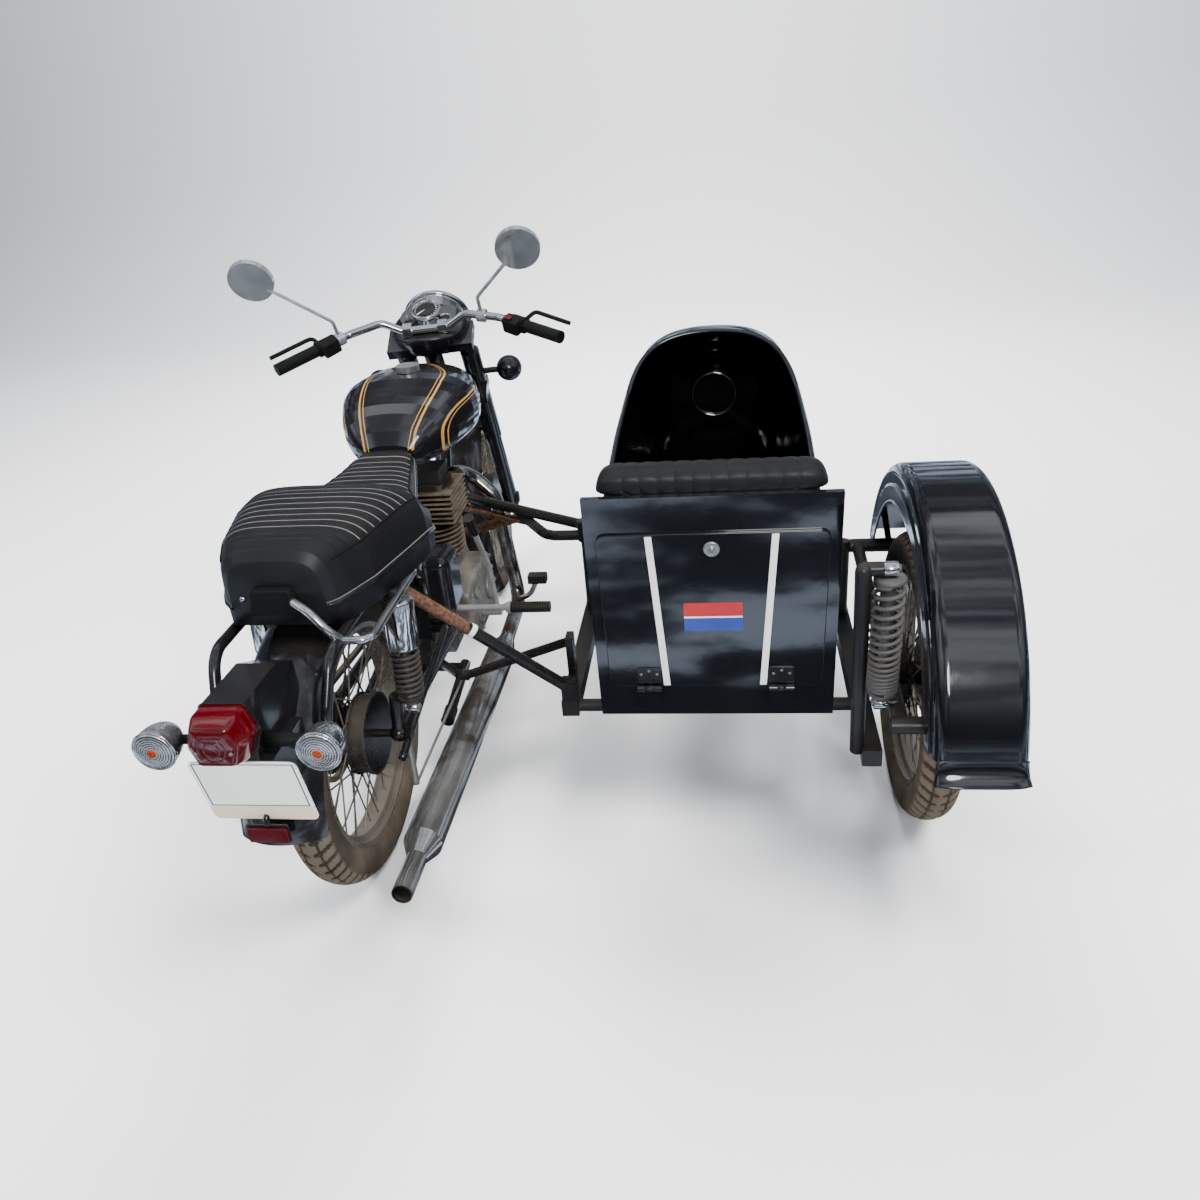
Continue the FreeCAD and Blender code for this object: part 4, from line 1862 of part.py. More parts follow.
def make_cushion():
    """The seat cushion on the seat base."""
    m = D.sidecar_middle
    low = D.seat_base_height + D.seat_gap
    form = block(point(m - D.tub_half_width, D.bulkhead_foot_forward + D.tub_wall + D.soft_gap, low),
                 point(m + D.tub_half_width, D.seat_base_front, low + D.cushion_depth))
    return within(form, tub_shell(D.tub_wall + D.soft_gap))


def make_nose_lamp():
    """The lamp let into the nose, with a chrome ring inside and out."""
    inner = D.nose_forward - D.tub_wall - D.nose_ring_wire - D.seat_gap
    outer = D.nose_forward + D.nose_ring_wire + D.seat_gap
    m, z = D.sidecar_middle, D.nose_ring_height
    return joined([rod(point(m, inner, z), point(m, outer, z), D.nose_lamp_radius),
                   ring(point(m, inner, z), (0, 1, 0), D.nose_ring_radius, D.nose_ring_wire),
                   ring(point(m, outer, z), (0, 1, 0), D.nose_ring_radius, D.nose_ring_wire)])


node("sidecar_rails", make_sidecar_rails())
node("sidecar_cross_tubes", make_cross_tubes())
node("sidecar_struts", make_struts())
node("sidecar_swing_arm", make_side_swing_arm())
node("sidecar_shock", make_side_shock())
node("sidecar_fender", make_fender())
node("sidecar_tub", make_tub())
node("rear_panel", make_rear_panel())
node("boot_lid", make_boot_lid())
node("seat_box", make_seat_box())
node("backrest", make_backrest())
node("sidecar_cushion", make_cushion())
node("nose_lamp", make_nose_lamp())

# What turns with the fork goes from the fork's own frame to its place
for label in ["front_tyre", "front_wheel"] + list(steered):
    nodes[label].Placement = fork_placement.multiply(nodes[label].Placement)

doc.recompute()
for feature in doc.Objects:
    if "Invalid" in feature.State or "Error" in feature.State:
        raise RuntimeError(f"{feature.Label} could not be computed")

# The origin goes to the floor under the centre of the whole
whole = FreeCAD.BoundBox()
for feature in nodes.values():
    whole.add(feature.Shape.optimalBoundingBox(True, False))
middle = Vector(whole.Center.x, whole.Center.y, whole.ZMin)
for feature in nodes.values():
    place = feature.Placement
    feature.Placement = Placement(place.Base - middle, place.Rotation)
print("moved by", middle, "size", whole.XLength, whole.YLength, whole.ZLength)

os.makedirs("parts", exist_ok=True)
for label, feature in nodes.items():
    shape = feature.Shape
    if shape.isNull() or not shape.isValid():
        raise RuntimeError(f"{label} has no valid shape")
    shape.exportStep(f"parts/{label}.step")
print(len(nodes), "pieces written")
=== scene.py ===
# %% [markdown]
# # A motorcycle with its passenger sidecar
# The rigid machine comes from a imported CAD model. This lesson gives every surface its finish and
# adds what CAD leaves out: tread, piping, channels, dials, springs and soft seats. Every shape is
# a formula worked out with numpy, because a formula can be read, changed and drawn at any density.

# %% Load the frame
import json
import math

import bpy
import numpy as np
from mathutils import Matrix, Vector


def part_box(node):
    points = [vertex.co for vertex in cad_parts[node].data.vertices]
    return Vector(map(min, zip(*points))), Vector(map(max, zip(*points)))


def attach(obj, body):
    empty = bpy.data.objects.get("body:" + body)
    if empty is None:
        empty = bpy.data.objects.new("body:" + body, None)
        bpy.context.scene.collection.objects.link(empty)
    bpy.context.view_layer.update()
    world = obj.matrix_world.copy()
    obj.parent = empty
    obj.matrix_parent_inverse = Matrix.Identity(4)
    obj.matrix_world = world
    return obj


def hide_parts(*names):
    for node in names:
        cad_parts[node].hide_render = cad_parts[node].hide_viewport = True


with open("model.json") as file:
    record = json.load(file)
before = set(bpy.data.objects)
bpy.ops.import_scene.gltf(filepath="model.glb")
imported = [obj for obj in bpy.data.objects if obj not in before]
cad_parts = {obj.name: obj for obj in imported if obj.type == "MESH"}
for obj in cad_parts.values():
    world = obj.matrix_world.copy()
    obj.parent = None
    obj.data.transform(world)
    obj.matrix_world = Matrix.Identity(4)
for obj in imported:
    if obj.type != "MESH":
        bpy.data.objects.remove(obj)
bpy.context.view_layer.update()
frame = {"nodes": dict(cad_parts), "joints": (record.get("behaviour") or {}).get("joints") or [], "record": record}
nodes = frame["nodes"]

# %% [markdown]
# ## Where things are
# All places are counted from a datum on the floor below the rear axle, in the motorcycle's middle
# plane. The rear tyre's box gives that datum, so the lesson follows the model if it moves. What
# turns with the fork has its own axes: along the front axle, forward, and up the steering axis.

# %% Datum and steering axes
low_corner, high_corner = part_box("rear_tyre")
DATUM = np.array([(low_corner.x + high_corner.x) / 2, (low_corner.y + high_corner.y) / 2, 0.0])
joint_named = {joint["name"]: joint for joint in frame["joints"]}
fork_up = np.array(joint_named["steering_turn"]["axis"], float)
fork_right = np.array(joint_named["front_wheel_roll"]["axis"], float)
fork_forward = np.cross(fork_up, fork_right)
FORK_OFFSET = 0.055
fork_origin = np.array(joint_named["front_wheel_roll"]["pos_m"], float) - FORK_OFFSET * fork_forward


def at(*place):
    """A point, or rows of points, counted from the datum, in the row frame."""
    return np.array(place, float).reshape(-1, 3) + DATUM


def spot(x, y, z):
    """One place counted from the datum."""
    return at((x, y, z))[0]


def on_fork(points):
    """Rows of points in the fork's own frame, turned into the row frame."""
    points = np.asarray(points, float).reshape(-1, 3)
    return fork_origin + points @ np.array([fork_right, fork_forward, fork_up])


print("datum", DATUM, "fork origin", fork_origin)

# %% [markdown]
# ## Three ways to make a surface
# A grid of points over two parameters makes panels and pads, a profile carried along a path makes
# tubes and piping, and a profile turned about an axis makes lamps and dials.


# %% Surface helpers
def full_turn(count):
    """Angles once round, in even steps."""
    return np.linspace(0, 2 * np.pi, count, endpoint=False)


def signed_power(value, exponent):
    """The power of a number's size, with the number's own sign. It squares a circle's corners."""
    return np.sign(value) * np.abs(value) ** exponent


def grid_faces(rows, columns, wrap_rows=False, wrap_columns=False):
    """Quads between neighbours of a grid, as index rows: each face joins a point with the next in
    its row and the same two in the next row."""
    r = np.arange(rows if wrap_rows else rows - 1)[:, None]
    c = np.arange(columns if wrap_columns else columns - 1)[None, :]
    r2, c2 = (r + 1) % rows, (c + 1) % columns
    corners = [r * columns + c, r * columns + c2, r2 * columns + c2, r2 * columns + c]
    return np.stack([np.broadcast_to(k, (r.size, c.size)) for k in corners], -1).reshape(-1, 4)


def piece(name, points, faces, body, material, smooth=True):
    """A mesh piece with its place in its vertices, facing outwards, riding on a CAD body."""
    mesh = bpy.data.meshes.new(name)
    mesh.from_pydata(np.asarray(points, float).tolist(), [], [list(map(int, f)) for f in faces])
    mesh.validate()
    obj = bpy.data.objects.new(name, mesh)
    bpy.context.scene.collection.objects.link(obj)
    bpy.ops.object.select_all(action="DESELECT")
    obj.select_set(True)
    bpy.context.view_layer.objects.active = obj
    bpy.ops.object.mode_set(mode="EDIT")
    bpy.ops.mesh.select_all(action="SELECT")
    bpy.ops.mesh.remove_doubles(threshold=1e-6)
    bpy.ops.mesh.normals_make_consistent(inside=False)
    bpy.ops.object.mode_set(mode="OBJECT")
    obj.data.polygons.foreach_set("use_smooth", np.full(len(obj.data.polygons), smooth))
    obj.data.materials.append(material)
    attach(obj, body)
    return obj


def thicken(obj, thickness):
    """Give a sheet its wall, inwards from its face."""
    obj.modifiers.new("wall", "SOLIDIFY").thickness = thickness


def grid_piece(name, grid, body, material, wrap_rows=False, wrap_columns=False, caps=False, smooth=True):
    """A piece from a grid of points (rows, columns, 3), its end rows closed by a face if asked."""
    rows, columns, _ = grid.shape
    faces = grid_faces(rows, columns, wrap_rows, wrap_columns).tolist()
    if caps:
        faces.append(list(range(columns)))
        faces.append(list(range((rows - 1) * columns, rows * columns)))
    return piece(name, grid.reshape(-1, 3), faces, body, material, smooth)


def swept_grid(path, radius, sides=12):
    """A circle carried along a path. Each ring stands square to the path's direction, and its
    first spoke is the last ring's one, made square again. radius may be one number or one a point."""
    path = np.asarray(path, float)
    tangent = np.gradient(path, axis=0)
    tangent /= np.linalg.norm(tangent, axis=1)[:, None]
    spoke = np.cross(tangent[0], [0, 0, 1.0])
    if np.linalg.norm(spoke) < 1e-3:
        spoke = np.array([1.0, 0, 0])
    spokes = []
    for t in tangent:
        spoke = spoke - t * (spoke @ t)
        spoke = spoke / np.linalg.norm(spoke)
        spokes.append(spoke)
    a = np.array(spokes)
    b = np.cross(tangent, a)
    turn = full_turn(sides)
    reach = np.broadcast_to(np.asarray(radius, float), (len(path),))[:, None, None]
    round_a = a[:, None] * np.cos(turn)[None, :, None]
    round_b = b[:, None] * np.sin(turn)[None, :, None]
    return path[:, None] + reach * (round_a + round_b)


def between_knots(a, b, c, d, f):
    """The cubic from b to c, at shares f, whose slope at each is half the step between the points
    on either side of it."""
    square, cube = 2 * a - 5 * b + 4 * c - d, 3 * b - a - 3 * c + d
    return 0.5 * (2 * b + (c - a) * f + square * f ** 2 + cube * f ** 3)


def smooth_path(points, count=48):
    """A smooth line through points, by the cubic above between each two. The line's ends borrow a
    point beyond them, as far off as the next one is."""
    p = np.asarray(points, float)
    p = np.vstack([2 * p[0] - p[1], p, 2 * p[-1] - p[-2]])
    t = np.linspace(0, len(p) - 3 - 1e-9, count)
    k = t.astype(int)
    return between_knots(p[k], p[k + 1], p[k + 2], p[k + 3], (t - k)[:, None])


def tube(name, path, radius, body, material, sides=12, closed=False):
    """A round bar along a path, with its ends closed, or joined into a ring."""
    grid = swept_grid(path, radius, sides)
    return grid_piece(name, grid, body, material, wrap_rows=closed, wrap_columns=True, caps=not closed)


def turned_grid(profile, centre, axis, count=48):
    """A profile of (radius, height) rows turned about an axis: each point goes round the axis at
    its radius, at its height along it."""
    axis = np.asarray(axis, float) / np.linalg.norm(axis)
    side = np.cross(axis, [0.0, 0, 1] if abs(axis[2]) < 0.9 else [1.0, 0, 0])
    side /= np.linalg.norm(side)
    other = np.cross(axis, side)
    turn = full_turn(count)
    ring = np.cos(turn)[:, None] * side + np.sin(turn)[:, None] * other
    radius, height = np.asarray(profile, float).T[:, :, None, None]
    return np.asarray(centre, float) + radius * ring[None] + height * axis


def turned_piece(name, profile, centre, axis, body, material, count=48):
    """A closed piece turned from a profile, such as a bolt's head, a bezel or a lamp."""
    grid = turned_grid(profile, centre, axis, count)
    return grid_piece(name, grid, body, material, wrap_columns=True, caps=True)


print("surfaces come from grids, sweeps and turned profiles")


# %% [markdown]
# ## Finishes
# The machine is well used, so nearly every finish is one clean coat plus dust. Dust settles on
# what faces up and in patches, so one shared node group mixes it in, and another gives the fine
# unevenness that a reflection shows. Numbers that are the same all over stay on the shader. A
# pattern is arithmetic on masks. Written as nodes it fills the page, so a small class turns plus,
# times and "smaller than" into Math nodes, and the formulas below read like formulas.


# %% Shader arithmetic
class Wire:
    """A number, vector or colour on its way between nodes. Arithmetic on it adds Math nodes: &
    multiplies two masks, | keeps the larger, and a power first drops the sign."""

    def __init__(self, tree, socket):
        self.tree = tree
        self.socket = socket

    def math(self, operation, *operands, clamp=False):
        """One Math node, with each operand a wire or a number."""
        node = self.tree.nodes.new("ShaderNodeMath")
        node.operation = operation
        node.use_clamp = clamp
        for slot, value in zip(node.inputs, operands):
            plug(slot, value)
        return Wire(self.tree, node.outputs[0])

    def __add__(self, other):
        return self.math("ADD", self, other)

    def __sub__(self, other):
        return self.math("SUBTRACT", self, other)

    def __rsub__(self, other):
        return self.math("SUBTRACT", other, self)

    def __mul__(self, other):
        return self.math("MULTIPLY", self, other)

    def __truediv__(self, other):
        return self.math("DIVIDE", self, other)

    def __abs__(self):
        return self.math("ABSOLUTE", self)

    def __pow__(self, exponent):
        return self.math("POWER", abs(self), exponent)

    def __lt__(self, other):
        return self.math("LESS_THAN", self, other)

    def __gt__(self, other):
        return self.math("GREATER_THAN", self, other)

    def __and__(self, other):
        return self * other

    def __or__(self, other):
        return self.math("MAXIMUM", self, other)

    def alone(self, operation):
        """A function of one number, such as its sine or its root."""
        return self.math(operation, self)


def plug(slot, value):
    """Give a node's socket a wire, a number or a colour."""
    if isinstance(value, Wire):
        value.tree.links.new(value.socket, slot)
    elif isinstance(value, tuple) and slot.type == "RGBA":
        slot.default_value = (*value, 1)
    else:
        slot.default_value = value


def object_place(tree):
    """The place on the piece, as a vector."""
    return Wire(tree, tree.nodes.new("ShaderNodeTexCoord").outputs["Object"])


def centred(tree, centre):
    """The place on the piece, counted from a centre."""
    shift = tree.nodes.new("ShaderNodeMapping")
    shift.inputs["Location"].default_value = tuple(-np.asarray(centre, float))
    plug(shift.inputs["Vector"], object_place(tree))
    return Wire(tree, shift.outputs[0])


def vector_math(wire, operation, value=(0, 0, 0)):
    """One Vector Math node with a fixed second vector."""
    node = wire.tree.nodes.new("ShaderNodeVectorMath")
    node.operation = operation
    plug(node.inputs[0], wire)
    node.inputs[1].default_value = tuple(value)
    return Wire(wire.tree, node.outputs["Value" if operation in ("DOT_PRODUCT", "LENGTH") else "Vector"])


def parts_of(wire):
    """The x, y and z of a vector."""
    split = wire.tree.nodes.new("ShaderNodeSeparateXYZ")
    plug(split.inputs[0], wire)
    return [Wire(wire.tree, socket) for socket in split.outputs]


def noise(tree, scale, detail=4.0, rough=0.6, place=None):
    """Cloudy unevenness from 0 to 1, looked up by the place on the piece."""
    node = tree.nodes.new("ShaderNodeTexNoise")
    wanted = {"Vector": place or object_place(tree), "Scale": scale, "Detail": detail, "Roughness": rough}
    for label, value in wanted.items():
        plug(node.inputs[label], value)
    return Wire(tree, node.outputs["Fac"])


def ramp(value, low, high):
    """0 below low, 1 above high and a smooth step between."""
    node = value.tree.nodes.new("ShaderNodeMapRange")
    node.interpolation_type = "SMOOTHSTEP"
    for label, number in (("Value", value), ("From Min", low), ("From Max", high)):
        plug(node.inputs[label], number)
    return Wire(value.tree, node.outputs["Result"])


def mixed(factor, a, b, kind="RGBA"):
    """A colour or a number between two, by a factor."""
    node = factor.tree.nodes.new("ShaderNodeMix")
    node.data_type = kind
    first, second, out = (6, 7, 2) if kind == "RGBA" else (2, 3, 0)
    for k, value in ((0, factor), (first, a), (second, b)):
        plug(node.inputs[k], value)
    return Wire(factor.tree, node.outputs[out])


def new_group(name, inputs, output, kind):
    """A node group with named numbers going in and one output. It comes back with its inputs as
    wires and the socket of its output."""
    group = bpy.data.node_groups.new(name, "ShaderNodeTree")
    for label, value in inputs.items():
        socket = group.interface.new_socket(label, in_out="INPUT", socket_type="NodeSocketFloat")
        socket.default_value = value
    group.interface.new_socket(output, in_out="OUTPUT", socket_type=kind)
    entry = group.nodes.new("NodeGroupInput")
    wires = {label: Wire(group, entry.outputs[label]) for label in inputs}
    return group, wires, group.nodes.new("NodeGroupOutput").inputs[output]


def use_group(tree, group, values):
    """A shared group in a material, with its named inputs set."""
    node = tree.nodes.new("ShaderNodeGroup")
    node.node_tree = group
    for label, value in values.items():
        node.inputs[label].default_value = value
    return Wire(tree, node.outputs[0])


print("shader arithmetic ready")

# %% [markdown]
# ### Dust and unevenness
# Dust lies thicker on what faces up and near the ground, and in patches. Both groups are used by
# every coat, so a change here changes the whole machine.

# %% Shared shader groups
dust_group, given, dust_mask = new_group(
    "settled_dust", {"Amount": 0.4, "Patch Size": 6.0, "Low Height": 0.5}, "Mask", "NodeSocketFloat")
surface_normal = Wire(dust_group, dust_group.nodes.new("ShaderNodeNewGeometry").outputs["Normal"])
upward = ramp(parts_of(surface_normal)[2], -0.2, 1.0)
patches = ramp(noise(dust_group, given["Patch Size"], 6, 0.5), 0.3, 0.72)
height = parts_of(object_place(dust_group))[2]
lowness = 1.0 - height.math("DIVIDE", height, given["Low Height"], clamp=True)
total = (upward * 0.55 + lowness * 0.6) * (patches * 0.8 + 0.3)
plug(dust_mask, total.math("MULTIPLY", total, given["Amount"], clamp=True))

ripple_group, given, ripple_normal = new_group(
    "fine_unevenness", {"Scale": 120.0, "Strength": 0.1, "Depth": 0.001}, "Normal", "NodeSocketVector")
ripple_bump = ripple_group.nodes.new("ShaderNodeBump")
plug(ripple_bump.inputs["Height"], noise(ripple_group, given["Scale"], 5, 0.5))
plug(ripple_bump.inputs["Strength"], given["Strength"])
plug(ripple_bump.inputs["Distance"], given["Depth"])
plug(ripple_normal, Wire(ripple_group, ripple_bump.outputs["Normal"]))

DUST = (0.19, 0.145, 0.095)
COATS = {}


def finish(name, color, metallic=0.0, rough=0.4, dust=0.4, low_height=0.5, patch_size=6.0, grain=120.0,
           bump=0.12, bump_depth=0.001, coat=0.0, spread=0.12, dust_color=DUST, paint=None, shine=0.5):
    """A Principled coat with colour unevenness, settled dust and fine bump. paint, if given, is a
    function of the tree and the base colour that draws on it and gives the new colour."""
    material = bpy.data.materials.new(name)
    material.use_nodes = True
    tree = material.node_tree
    shader = tree.nodes["Principled BSDF"].inputs
    for label, value in (("Coat Weight", coat), ("Coat Roughness", 0.06), ("Specular IOR Level", shine)):
        shader[label].default_value = value
    darker = tuple(c * (1 - spread) for c in color)
    paler = tuple(min(1, c * (1 + spread)) for c in color)
    shade = mixed(ramp(noise(tree, patch_size * 2.5, 5), 0.25, 0.75), darker, paler)
    if paint:
        shade = paint(tree, shade)
    mask = use_group(tree, dust_group, {"Amount": dust, "Patch Size": patch_size, "Low Height": low_height})
    plug(shader["Base Color"], mixed(mask, shade, dust_color))
    streak = ramp(noise(tree, patch_size * 5, 6), 0.35, 0.8) * min(0.12, rough * 0.6)
    plug(shader["Roughness"], mixed(mask, streak + rough, 0.85, "FLOAT"))
    if metallic:
        plug(shader["Metallic"], mixed(mask, metallic, 0.0, "FLOAT"))
    ripple = {"Scale": grain, "Strength": bump, "Depth": bump_depth}
    plug(shader["Normal"], use_group(tree, ripple_group, ripple))
    COATS[name] = material
    return material


print("shared groups:", dust_group.name, "and", ripple_group.name)


# %% [markdown]
# ### Patterns drawn on a coat
# The tank's twin gold lines, the plate's border and the rust on the struts lie on the surface
# without thickness, so they're masks of the place on the piece and not geometry.


# %% Painted patterns
def place_of(tree, centre=DATUM):
    """The x, y and z of the place on the piece, counted from the datum or another centre."""
    return parts_of(centred(tree, centre))


def distance(a, b):
    """The root of the sum of two squares."""
    return (a ** 2.0 + b ** 2.0).alone("SQRT")


def band(value, centre, half_width, soft=0.0004):
    """1 where a value is within a half width of a centre, with a soft edge."""
    return 1.0 - ramp(abs(value - centre), half_width - soft, half_width + soft)


def gold_lines(tree, shade):
    """Pairs of gold lines. One pair runs along each side of the tank's top: its distance from the
    middle falls with the square of the way from the tank's widest place, faster to the front. The
    other is a loop on each flank, where the powers of the two distances from its centre, each
    divided by its half-length, add up to one."""
    x, y, z = place_of(tree)
    side = abs(x)
    from_wide = y - 0.74
    ahead = from_wide | 0.0
    spread = side + (from_wide * from_wide * 0.9 + ahead * ahead * 3.6)
    top = (band(spread, 0.1035, 0.0024) | band(spread, 0.0935, 0.0010)) & ramp(z, 0.80, 0.801)
    u = (y - 0.715) / 0.132
    v = (z - 0.822 - u * 0.016) / 0.056
    around = u ** 2.6 + v ** 2.6
    loop = (band(around, 1.0, 0.085, 0.01) | band(around, 0.70, 0.03, 0.01)) & ramp(side, 0.108, 0.109)
    return mixed(top | loop, shade, (0.38, 0.20, 0.038))


def rust_at(tree, shade, mask):
    """Rust in two browns, where a mask and a broken noise both allow it."""
    tint = mixed(ramp(noise(tree, 120, 4), 0.3, 0.7), (0.045, 0.020, 0.012), (0.13, 0.062, 0.035))
    return mixed(mask & ramp(noise(tree, 40, 8, 0.7), 0.30, 0.45), shade, tint)


def strut_rust(tree, shade):
    """The adjusting screws rust: the upper rear strut's left half and the short front screw."""
    x, y, z = place_of(tree)
    rear = (x < 0.262) & (y < 0.20) & (z > 0.40)
    front = (x < 0.255) & (y > 0.55) & (z < 0.505)
    return rust_at(tree, shade, rear | front)


def pipe_rust(tree, shade):
    """Heat-browned patches and road dirt along the top of the silencer, and its burnt end."""
    x, y, z = place_of(tree)
    dirt = ramp(noise(tree, 9, 8, 0.65), 0.42, 0.60) & ramp(y, -0.26, 0.02)
    soiled = mixed(dirt * 0.8, shade, (0.085, 0.056, 0.032))
    return mixed(ramp(y, -0.433, -0.430), (0.16, 0.075, 0.038), soiled)


def fin_dust_and_recess_shade(tree, shade):
    """Pale dust on the fins' rims, beyond a radius from the barrel's axis; the deep parts between the fins are
    painted near black as shade.
    """
    x, y, z = place_of(tree)
    rim = ramp(distance(x, y - 0.768), 0.070, 0.082) & ramp(noise(tree, 30, 5), 0.2, 0.6)
    # painted shade: inside the rims the fins and the barrel are near black
    return mixed(rim, (0.018, 0.017, 0.015), (0.14, 0.112, 0.078))


def rubber_ends(tree, shade):
    """Rubber on the pegs, the foot pedal's pad and the kick starter's pedal, its ribs across painted as stripes of
    shade and highlight.
    """
    x, y, z = place_of(tree)
    side = abs(x)
    peg = (side > 0.252) & (z < 0.3665)
    arm = (side < 0.20) & (z < 0.558)
    soft = peg | ((z > 0.428) & (1.0 - arm))
    # painted shade and highlight: dark and paler stripes stand for the ribs
    rib_shade_stripes = ramp((side * 900.0).alone("SINE"), -0.4, 0.4)
    return mixed(soft, shade, mixed(rib_shade_stripes, (0.010, 0.010, 0.010), (0.040, 0.038, 0.035)))


def wheel_zones(centre):
    """A painter for one wheel: dark paint within the drum's radius, dusty wire out to the rim."""
    def paint(tree, shade):
        _, ahead, height = place_of(tree, centre)
        reach = distance(height, ahead)
        wire = mixed(ramp(reach, 0.205, 0.215), (0.20, 0.175, 0.14), shade)
        hub = mixed(band(reach, 0.090, 0.004, 0.001), (0.007, 0.0065, 0.006), (0.08, 0.074, 0.066))
        return mixed(ramp(reach, 0.097, 0.099), hub, wire)
    return paint


TYRE_RADIUS, BEAD_RADIUS, BEAD_HALF = 0.326, 0.2435, 0.0286
SECTION_RADIUS = (TYRE_RADIUS + BEAD_RADIUS) / 2 + 0.006


def tread_dust_and_groove_shade(centre, axis, half_width):
    """A painter for one tyre: painted shade in the grooves, near black where the surface lies under
    the crown's own curve, which is the root of one less the square of the share across."""
    def paint(tree, shade):
        away = centred(tree, centre)
        side = abs(vector_math(away, "DOT_PRODUCT", axis))
        reach = (vector_math(away, "LENGTH") ** 2.0 - side ** 2.0).alone("SQRT")
        share = side.math("MINIMUM", side / half_width, 1.0)
        crown = (1.0 - share ** 2.0).alone("SQRT") * (TYRE_RADIUS - SECTION_RADIUS) + SECTION_RADIUS
        # painted shade: the grooves are coloured near black
        groove = ramp(crown - reach, 0.0012, 0.0035) & ramp(reach, 0.302, 0.306)
        blocks = mixed(ramp(reach, 0.300, 0.308), shade, (0.075, 0.062, 0.046))
        return mixed(groove, blocks, (0.006, 0.0055, 0.005))
    return paint


def streaks(tree, across, along, scale, detail=5):
    """Noise drawn out along one direction, by scaling the place before it is looked up."""
    drawn_out = vector_math(object_place(tree), "MULTIPLY", (across, along, along))
    return noise(tree, scale, detail, 0.6, drawn_out)


def plate_face(tree, shade):
    """A black line round the plate and a cream lower half."""
    x, y, z = place_of(tree)
    side, away = abs(x), abs(z - 0.5315)
    outer = (side < 0.0920) & (away < 0.0545)
    inner = (side < 0.0894) & (away < 0.0519)
    cream = mixed(ramp(z, 0.4755, 0.4765), (0.70, 0.60, 0.42), shade)
    return mixed(outer - inner, cream, (0.02, 0.02, 0.02))


def bulb_behind(tree, shade):
    """An orange bulb seen through the middle of each rear indicator's lens, and pressed rings."""
    x, y, z = place_of(tree)
    reach = distance(abs(x) - 0.147, z - 0.615)
    glass = mixed(ramp((reach * 1500.0).alone("SINE"), -0.3, 0.6), (0.16, 0.16, 0.16), shade)
    return mixed(ramp(reach, 0.0075, 0.0095), (0.75, 0.10, 0.01), glass)


DIAL_CENTRE = on_fork((0, 0.072, 0.788))[0]


def dial_face(tree, shade):
    """White ticks round the speedometer's face: a comb of the angle, within a thin ring."""
    across, ahead, _ = place_of(tree, DIAL_CENTRE)
    reach = distance(across, ahead)
    angle = across.math("ARCTAN2", across, ahead)
    ticks = ((angle * 24.0).alone("COSINE") > 0.8) & band(reach, 0.0315, 0.0030)
    needle = band(angle, -2.3, 0.06, 0.01) & (reach < 0.030)
    return mixed(ticks | needle, shade, (0.7, 0.7, 0.66))


print("ten painted patterns")

# %% [markdown]
# ### The coats
# Each finish is one call: its colour, how metallic and how rough it is, and how much dust it
# carries. Black paint is nearly black and mirrors its surroundings, so its look comes from what
# stands round it. The CAD nodes get theirs by the slot that their record names.

# %% The coats
black_paint = finish("black_paint", (0.005, 0.005, 0.006), rough=0.16, dust=0.06, coat=0.7, low_height=0.5)
finish("tank_paint", (0.005, 0.005, 0.006), rough=0.12, dust=0.05, coat=1.0, low_height=0.3, paint=gold_lines)
sidecar_paint = finish("sidecar_paint", (0.0025, 0.003, 0.0045), rough=0.07, dust=0.04, coat=1.0,
                       low_height=0.45, grain=9, bump=0.16, bump_depth=0.006)
finish("chassis_paint", (0.008, 0.008, 0.008), rough=0.28, dust=0.12, low_height=0.6, grain=300, bump=0.15)
finish("strut_paint", (0.008, 0.008, 0.008), rough=0.2, dust=0.1, low_height=0.5, grain=400, bump=0.2,
       paint=strut_rust)
bright_chrome = finish("bright_chrome", (0.78, 0.78, 0.78), 1.0, 0.07, dust=0.12, spread=0.05, low_height=0.3)
finish("wheel_chrome", (0.62, 0.60, 0.57), 0.95, 0.22, dust=0.7, low_height=0.75)
finish("wheel_steel", (0.5, 0.49, 0.46), 0.9, 0.32, dust=0.8, low_height=0.8)
finish("exhaust_chrome", (0.48, 0.465, 0.44), 1.0, 0.07, dust=0.2, low_height=0.4, paint=pipe_rust)
finish("engine_alloy", (0.33, 0.31, 0.27), 0.9, 0.28, dust=0.55, low_height=0.7, grain=600, bump=0.25,
       patch_size=11, spread=0.3)
finish("fin_alloy", (0.16, 0.145, 0.12), 0.3, 0.55, dust=0.25, low_height=0.6, grain=700, bump=0.4,
       patch_size=14, paint=fin_dust_and_recess_shade)
panel_alloy = finish("panel_alloy", (0.20, 0.20, 0.205), 0.95, 0.3, dust=0.1, grain=800)
control_steel = finish("control_steel", (0.28, 0.27, 0.26), 0.85, 0.4, dust=0.4, low_height=0.5)
pedal_coat = finish("pedal_coat", (0.45, 0.44, 0.42), 0.7, 0.4, dust=0.3, low_height=0.5, paint=rubber_ends)
finish("chain_steel", (0.16, 0.14, 0.12), 0.8, 0.5, dust=0.8, low_height=0.9, grain=500, bump=0.5)
tyre_rubber = finish("tyre_rubber", (0.020, 0.018, 0.017), rough=0.8, dust=0.8, low_height=1.0, patch_size=9,
                     spread=0.3, grain=260, bump=0.35, dust_color=(0.15, 0.115, 0.078))
grip_rubber = finish("grip_rubber", (0.006, 0.006, 0.006), rough=0.5, dust=0.0, grain=500, bump=0.4,
                     shine=0.2)
seat_vinyl = finish("seat_vinyl", (0.006, 0.006, 0.0065), rough=0.36, dust=0.03, grain=900, bump=0.35,
                    low_height=0.4)
# pale grey for the channels' piping, and as a painted highlight along the seat's lower edges
piping_white = finish("piping_white", (0.15, 0.147, 0.14), rough=0.5, dust=0.05)
red_lens = finish("red_lens", (0.055, 0.0, 0.0015), rough=0.1, dust=0.0, coat=0.8, spread=0.0, patch_size=30)
clear_lens = finish("clear_lens", (0.66, 0.66, 0.65), 0.85, 0.15, dust=0.03, grain=220, bump=0.9, coat=1.0,
                    paint=bulb_behind)
